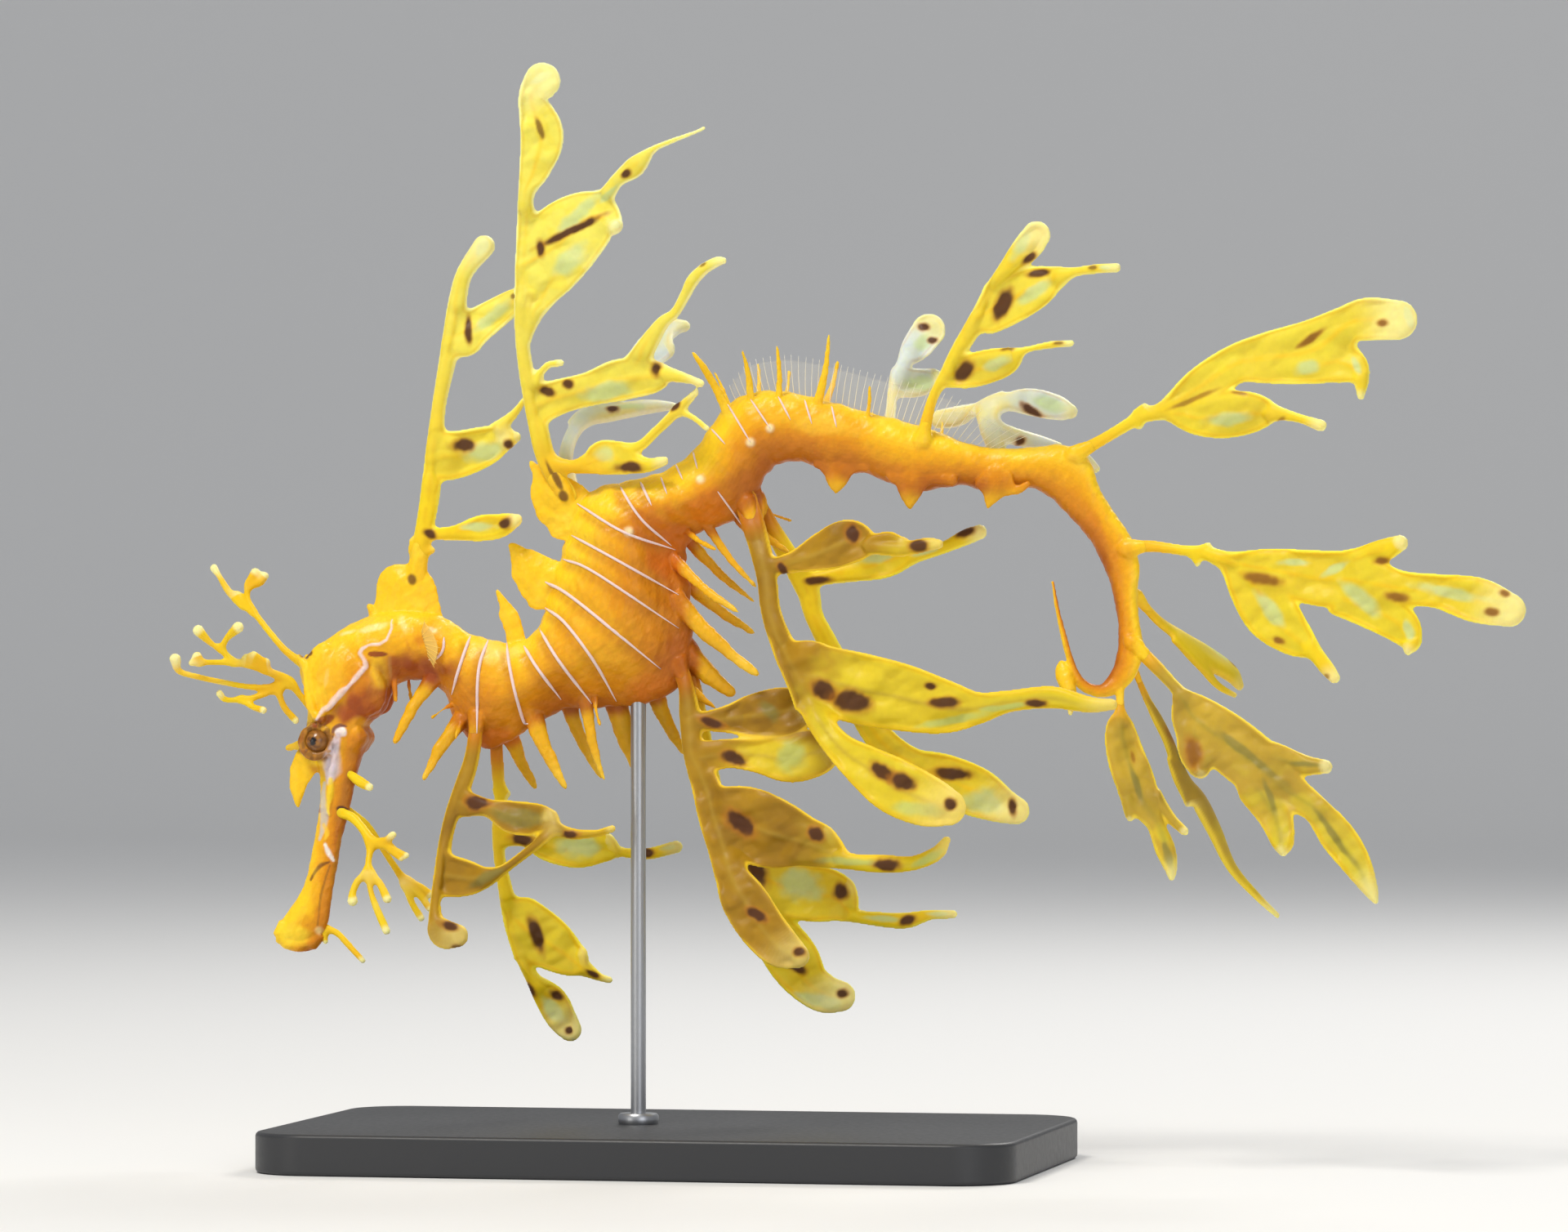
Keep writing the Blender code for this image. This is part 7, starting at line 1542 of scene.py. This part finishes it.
def grow_fin(name, foot, tip, rays, node, lean=0.0, thick=0.00010, finish=None, film=None):
    """A fan of fine rays between two curves, and the clear web between them."""
    t = np.linspace(0, 1, rays)
    F = np.array([[np.interp(a, np.linspace(0, 1, len(foot)), foot[:, k]) for k in range(3)] for a in t])
    T = np.array([[np.interp(a, np.linspace(0, 1, len(tip)), tip[:, k]) for k in range(3)] for a in t])
    pile = Pile()
    s = np.linspace(0, 1, 9)
    side = wave(np.arange(rays)[:, None] * 1.0, 5.0, 71) * 0.0006
    grid = []
    for i in range(rays):
        d = T[i] - F[i]
        bend = np.stack([s * 0, side[i] * s ** 2, s * 0], -1) + np.array([lean, 0, 0]) * (s ** 2)[:, None]
        line = F[i] + d * s[:, None] + bend
        grid.append(line)
        pile.put(closed_tube(line, np.linspace(thick, thick * 0.5, 9), 6))
    obj = pile.mesh(name + "_rays")
    dress(obj, node_material(name + "_finish", finish, 0.4, specular=0.3) if finish else ray_finish, [node])
    g = np.array(grid)[:, :8]
    k = g.shape[1]
    faces = [(i * k + j, (i + 1) * k + j, (i + 1) * k + j + 1, i * k + j + 1) for i in range(rays - 1) for j in range(k - 1)]
    web = make_mesh(name + "_web", g.reshape(-1, 3), faces)
    m = web.modifiers.new("thickness", "SOLIDIFY")
    m.thickness, m.offset = 0.00008, 0.0
    dress(web, film or web_finish)


fq = np.linspace(34.3, 44.2, 40)
fc, fn, fh, fw, fy = body_frame(fq)
tall = 50 * np.interp(fq, [34.3, 35.2, 36.5, 41, 42.8, 44.2], [0.45, 0.85, 1.0, 1.0, 0.85, 0.45])
swept = np.interp(fq, [34.3, 37.0, 41.0, 44.2], [2, 8, 20, 38])
foot = place(fc[:, 0] + fn[:, 0] * (fh - 3), fc[:, 1] + fn[:, 1] * (fh - 3), fy)
tip = place(fc[:, 0] + fn[:, 0] * (fh + tall) + swept, fc[:, 1] + fn[:, 1] * (fh + tall) + 0.2 * swept, fy)
grow_fin("dorsal_fin", foot, tip, 44, "dorsal_fin", lean=0.0005, thick=0.00007)
film_finish = node_material("film_finish", (0.96, 0.66, 0.16), 0.35, alpha=0.55, specular=0.3)
for name, sign in (("pectoral_fin_left", -1), ("pectoral_fin_right", 1)):
    up = np.linspace(0.36, 0.56, 7) * math.pi
    base = np.array([section(np.array([15.45]), np.array([sign * a]), -1.0)[0, 0] for a in up])
    spread = np.array([section(np.array([15.45 + 0.60 * math.cos((k - 3) * 0.40)]),
                               np.array([sign * (0.455 + 0.16 * (k - 3) / 3) * math.pi]), 14.0)[0, 0] for k in range(7)])
    grow_fin(name, base, spread, 9, name, thick=0.00009, finish=(0.92, 0.62, 0.12), film=film_finish)

# ---------------------------------------------------------------- eyes
for name, side in (("eye_left", -1), ("eye_right", 1)):
    y = EYE_MID + side * EYE_OUT
    u = EYE_U if side < 0 else mirror_u(EYE_U, EYE_MID - EYE_OUT, EYE_MID)
    centre = Vector(place(u, EYE_V, y))
    look = Vector((-0.10, side, 0.03)).normalized()
    a = look.orthogonal().normalized()
    b = look.cross(a)
    verts, colours, faces = [], [], []
    rows, sides = 40, 64
    for i in range(rows + 1):
        th = math.pi * i / rows
        r = EYE_R
        for j in range(sides):
            ph = 2 * math.pi * j / sides
            deg = math.degrees(th)
            bulge = 1.0 + 0.05 * math.exp(-(deg / 26) ** 2)
            verts.append(centre + (look * math.cos(th) + (a * math.cos(ph) + b * math.sin(ph)) * math.sin(th)) * r * bulge)
            mud = 0.5 + 0.5 * math.sin(3.1 * ph + 2.0 * math.sin(th * 5.0)) * math.sin(th * 7.0 + 1.7 * math.cos(2 * ph))
            edge = 13 + 2.5 * math.sin(2 * ph + 0.6) + 1.2 * math.sin(5 * ph)
            iris = np.array((0.13, 0.045, 0.008)) * (1 - mud) + np.array((0.36, 0.145, 0.020)) * mud
            lid = 0.55 * min(max((deg - 38) / 22, 0), 1)
            iris = iris * (1 - lid) + np.array((0.16, 0.055, 0.010)) * lid
            dark = 1 - min(max((deg - edge) / 5.0, 0), 1)
            c = tuple(iris * (1 - dark) + np.array((0.010, 0.007, 0.008)) * dark)
            colours.append(c)
    for i in range(rows):
        for j in range(sides):
            k = (j + 1) % sides
            faces.append((i * sides + j, i * sides + k, (i + 1) * sides + k, (i + 1) * sides + j))
    eye = make_mesh(name + "_ball", np.array([tuple(v) for v in verts]), faces, np.array(colours))
    bm = bmesh.new()
    bm.from_mesh(eye.data)
    bmesh.ops.remove_doubles(bm, verts=bm.verts, dist=1e-7)
    bmesh.ops.recalc_face_normals(bm, faces=bm.faces)
    bm.to_mesh(eye.data)
    bm.free()
    eye_finish = node_material(name + "_finish", "tint", 0.24, coat=0.22, specular=0.35)
    dress(eye, eye_finish, [name])

# ---------------------------------------------------------------- the stand
stand_finish = node_material("stand_finish", (0.030, 0.031, 0.034), 0.42, bump=(420.0, 0.00004), specular=0.45)
rod_finish = node_material("rod_finish", (0.42, 0.43, 0.45), 0.36, metallic=1.0)
bm = bmesh.new()
ring = []
for cx, cy, a0 in ((.063, .033, 0), (-.063, .033, 90), (-.063, -.033, 180), (.063, -.033, 270)):
    for k in range(13):
        t = math.radians(a0 + 7.5 * k)
        ring.append((cx + .012 * math.cos(t), cy + .012 * math.sin(t), 0.0))
face = bm.faces.new([bm.verts.new(p) for p in ring])
top = bmesh.ops.extrude_face_region(bm, geom=[face])
bmesh.ops.translate(bm, vec=(0, 0, .008), verts=[v for v in top["geom"] if isinstance(v, bmesh.types.BMVert)])
bmesh.ops.recalc_face_normals(bm, faces=bm.faces)
mesh = bpy.data.meshes.new("stand_base_top")
bm.to_mesh(mesh)
bm.free()
base = bpy.data.objects.new("stand_base_plate", mesh)
bpy.context.scene.collection.objects.link(base)
edge = base.modifiers.new("edge", "BEVEL")
edge.width, edge.segments, edge.limit_method = 0.0009, 3, "ANGLE"
mesh.polygons.foreach_set("use_smooth", np.ones(len(mesh.polygons), bool))
edge.harden_normals = True
dress(base, stand_finish, ["stand_base"])
lo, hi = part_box("stand_rod")
rx, rz = (lo.x + hi.x) / 2, hi.z
pile = Pile()
pile.put(closed_tube(np.array([(rx, 0, z) for z in (0.0078, 0.02, 0.05, rz - 0.004, rz + 0.0012)]), [0.0015] * 5, 40))
pile.put(closed_tube(np.array([(rx, 0, z) for z in (0.0079, 0.0084, 0.0096, 0.0101)]), [0.0038, 0.0040, 0.0040, 0.0036], 48))
rod = pile.mesh("stand_rod_post")
mod = rod.modifiers.new("split", "EDGE_SPLIT")
mod.split_angle = math.radians(40)
dress(rod, rod_finish, ["stand_rod"])

# ---------------------------------------------------------------- floor, light, camera
floor_finish = node_material("floor_finish", (0.86, 0.86, 0.85), 0.62)
sweep = [(y, 0.0) for y in np.linspace(-6.0, 2.1, 16)]
sweep += [(2.1 + 0.9 * math.sin(a), 0.9 - 0.9 * math.cos(a)) for a in np.linspace(0.1, math.pi / 2, 14)]
sweep += [(3.0, z) for z in np.linspace(1.1, 3.2, 6)]
verts = [(x, y, z) for y, z in sweep for x in (-6.0, 6.0)]
faces = [(2 * i, 2 * i + 1, 2 * i + 3, 2 * i + 2) for i in range(len(sweep) - 1)]
floor = make_mesh("floor", np.array(verts), faces)
floor.data.materials.append(floor_finish)


def area_light(name, at, aim, size, watts, colour=(1, 1, 1)):
    lamp = bpy.data.lights.new(name, "AREA")
    lamp.shape, lamp.size, lamp.energy, lamp.color = "DISK", size, watts, colour
    obj = bpy.data.objects.new(name, lamp)
    obj.location = at
    obj.rotation_euler = (Vector(aim) - Vector(at)).to_track_quat("-Z", "Y").to_euler()
    bpy.context.scene.collection.objects.link(obj)
    return obj


aim = (0.01, 0, 0.11)
area_light("key", (-0.25, -0.60, 1.15), aim, 0.42, 10.8, (1.0, 0.96, 0.88))
area_light("fill", (0.9, -1.3, 0.45), aim, 0.9, 4.2, (0.94, 0.96, 1.0))
area_light("low", (-0.7, -0.9, 0.22), aim, 0.5, 1.2, (1.0, 0.97, 0.90))
area_light("back", (0.35, 0.9, 0.9), aim, 0.5, 6.0, (1.0, 0.98, 0.95))
world = bpy.data.worlds.new("studio")
bpy.context.scene.world = world
world.use_nodes = True
world.node_tree.nodes["Background"].inputs["Color"].default_value = (0.93, 0.95, 1.0, 1)
world.node_tree.nodes["Background"].inputs["Strength"].default_value = 0.40

camera = bpy.data.objects.new("camera", bpy.data.cameras.new("camera"))
bpy.context.scene.collection.objects.link(camera)
bpy.context.scene.camera = camera
WIDE = 1920 * UNIT
target = place(960.0, 754.0, 0.0)
forward = Vector((-SIN_T, COS_T, 0.0))
reach = 1.5
camera.location = Vector(target) - forward * reach
camera.rotation_euler = forward.to_track_quat("-Z", "Y").to_euler()
camera.data.sensor_width = 36.0
camera.data.lens = 36.0 * reach / WIDE
camera.data.clip_start, camera.data.clip_end = 0.05, 20.0
bpy.context.scene.view_settings.view_transform = "Standard"
bpy.context.scene.view_settings.look = "None"
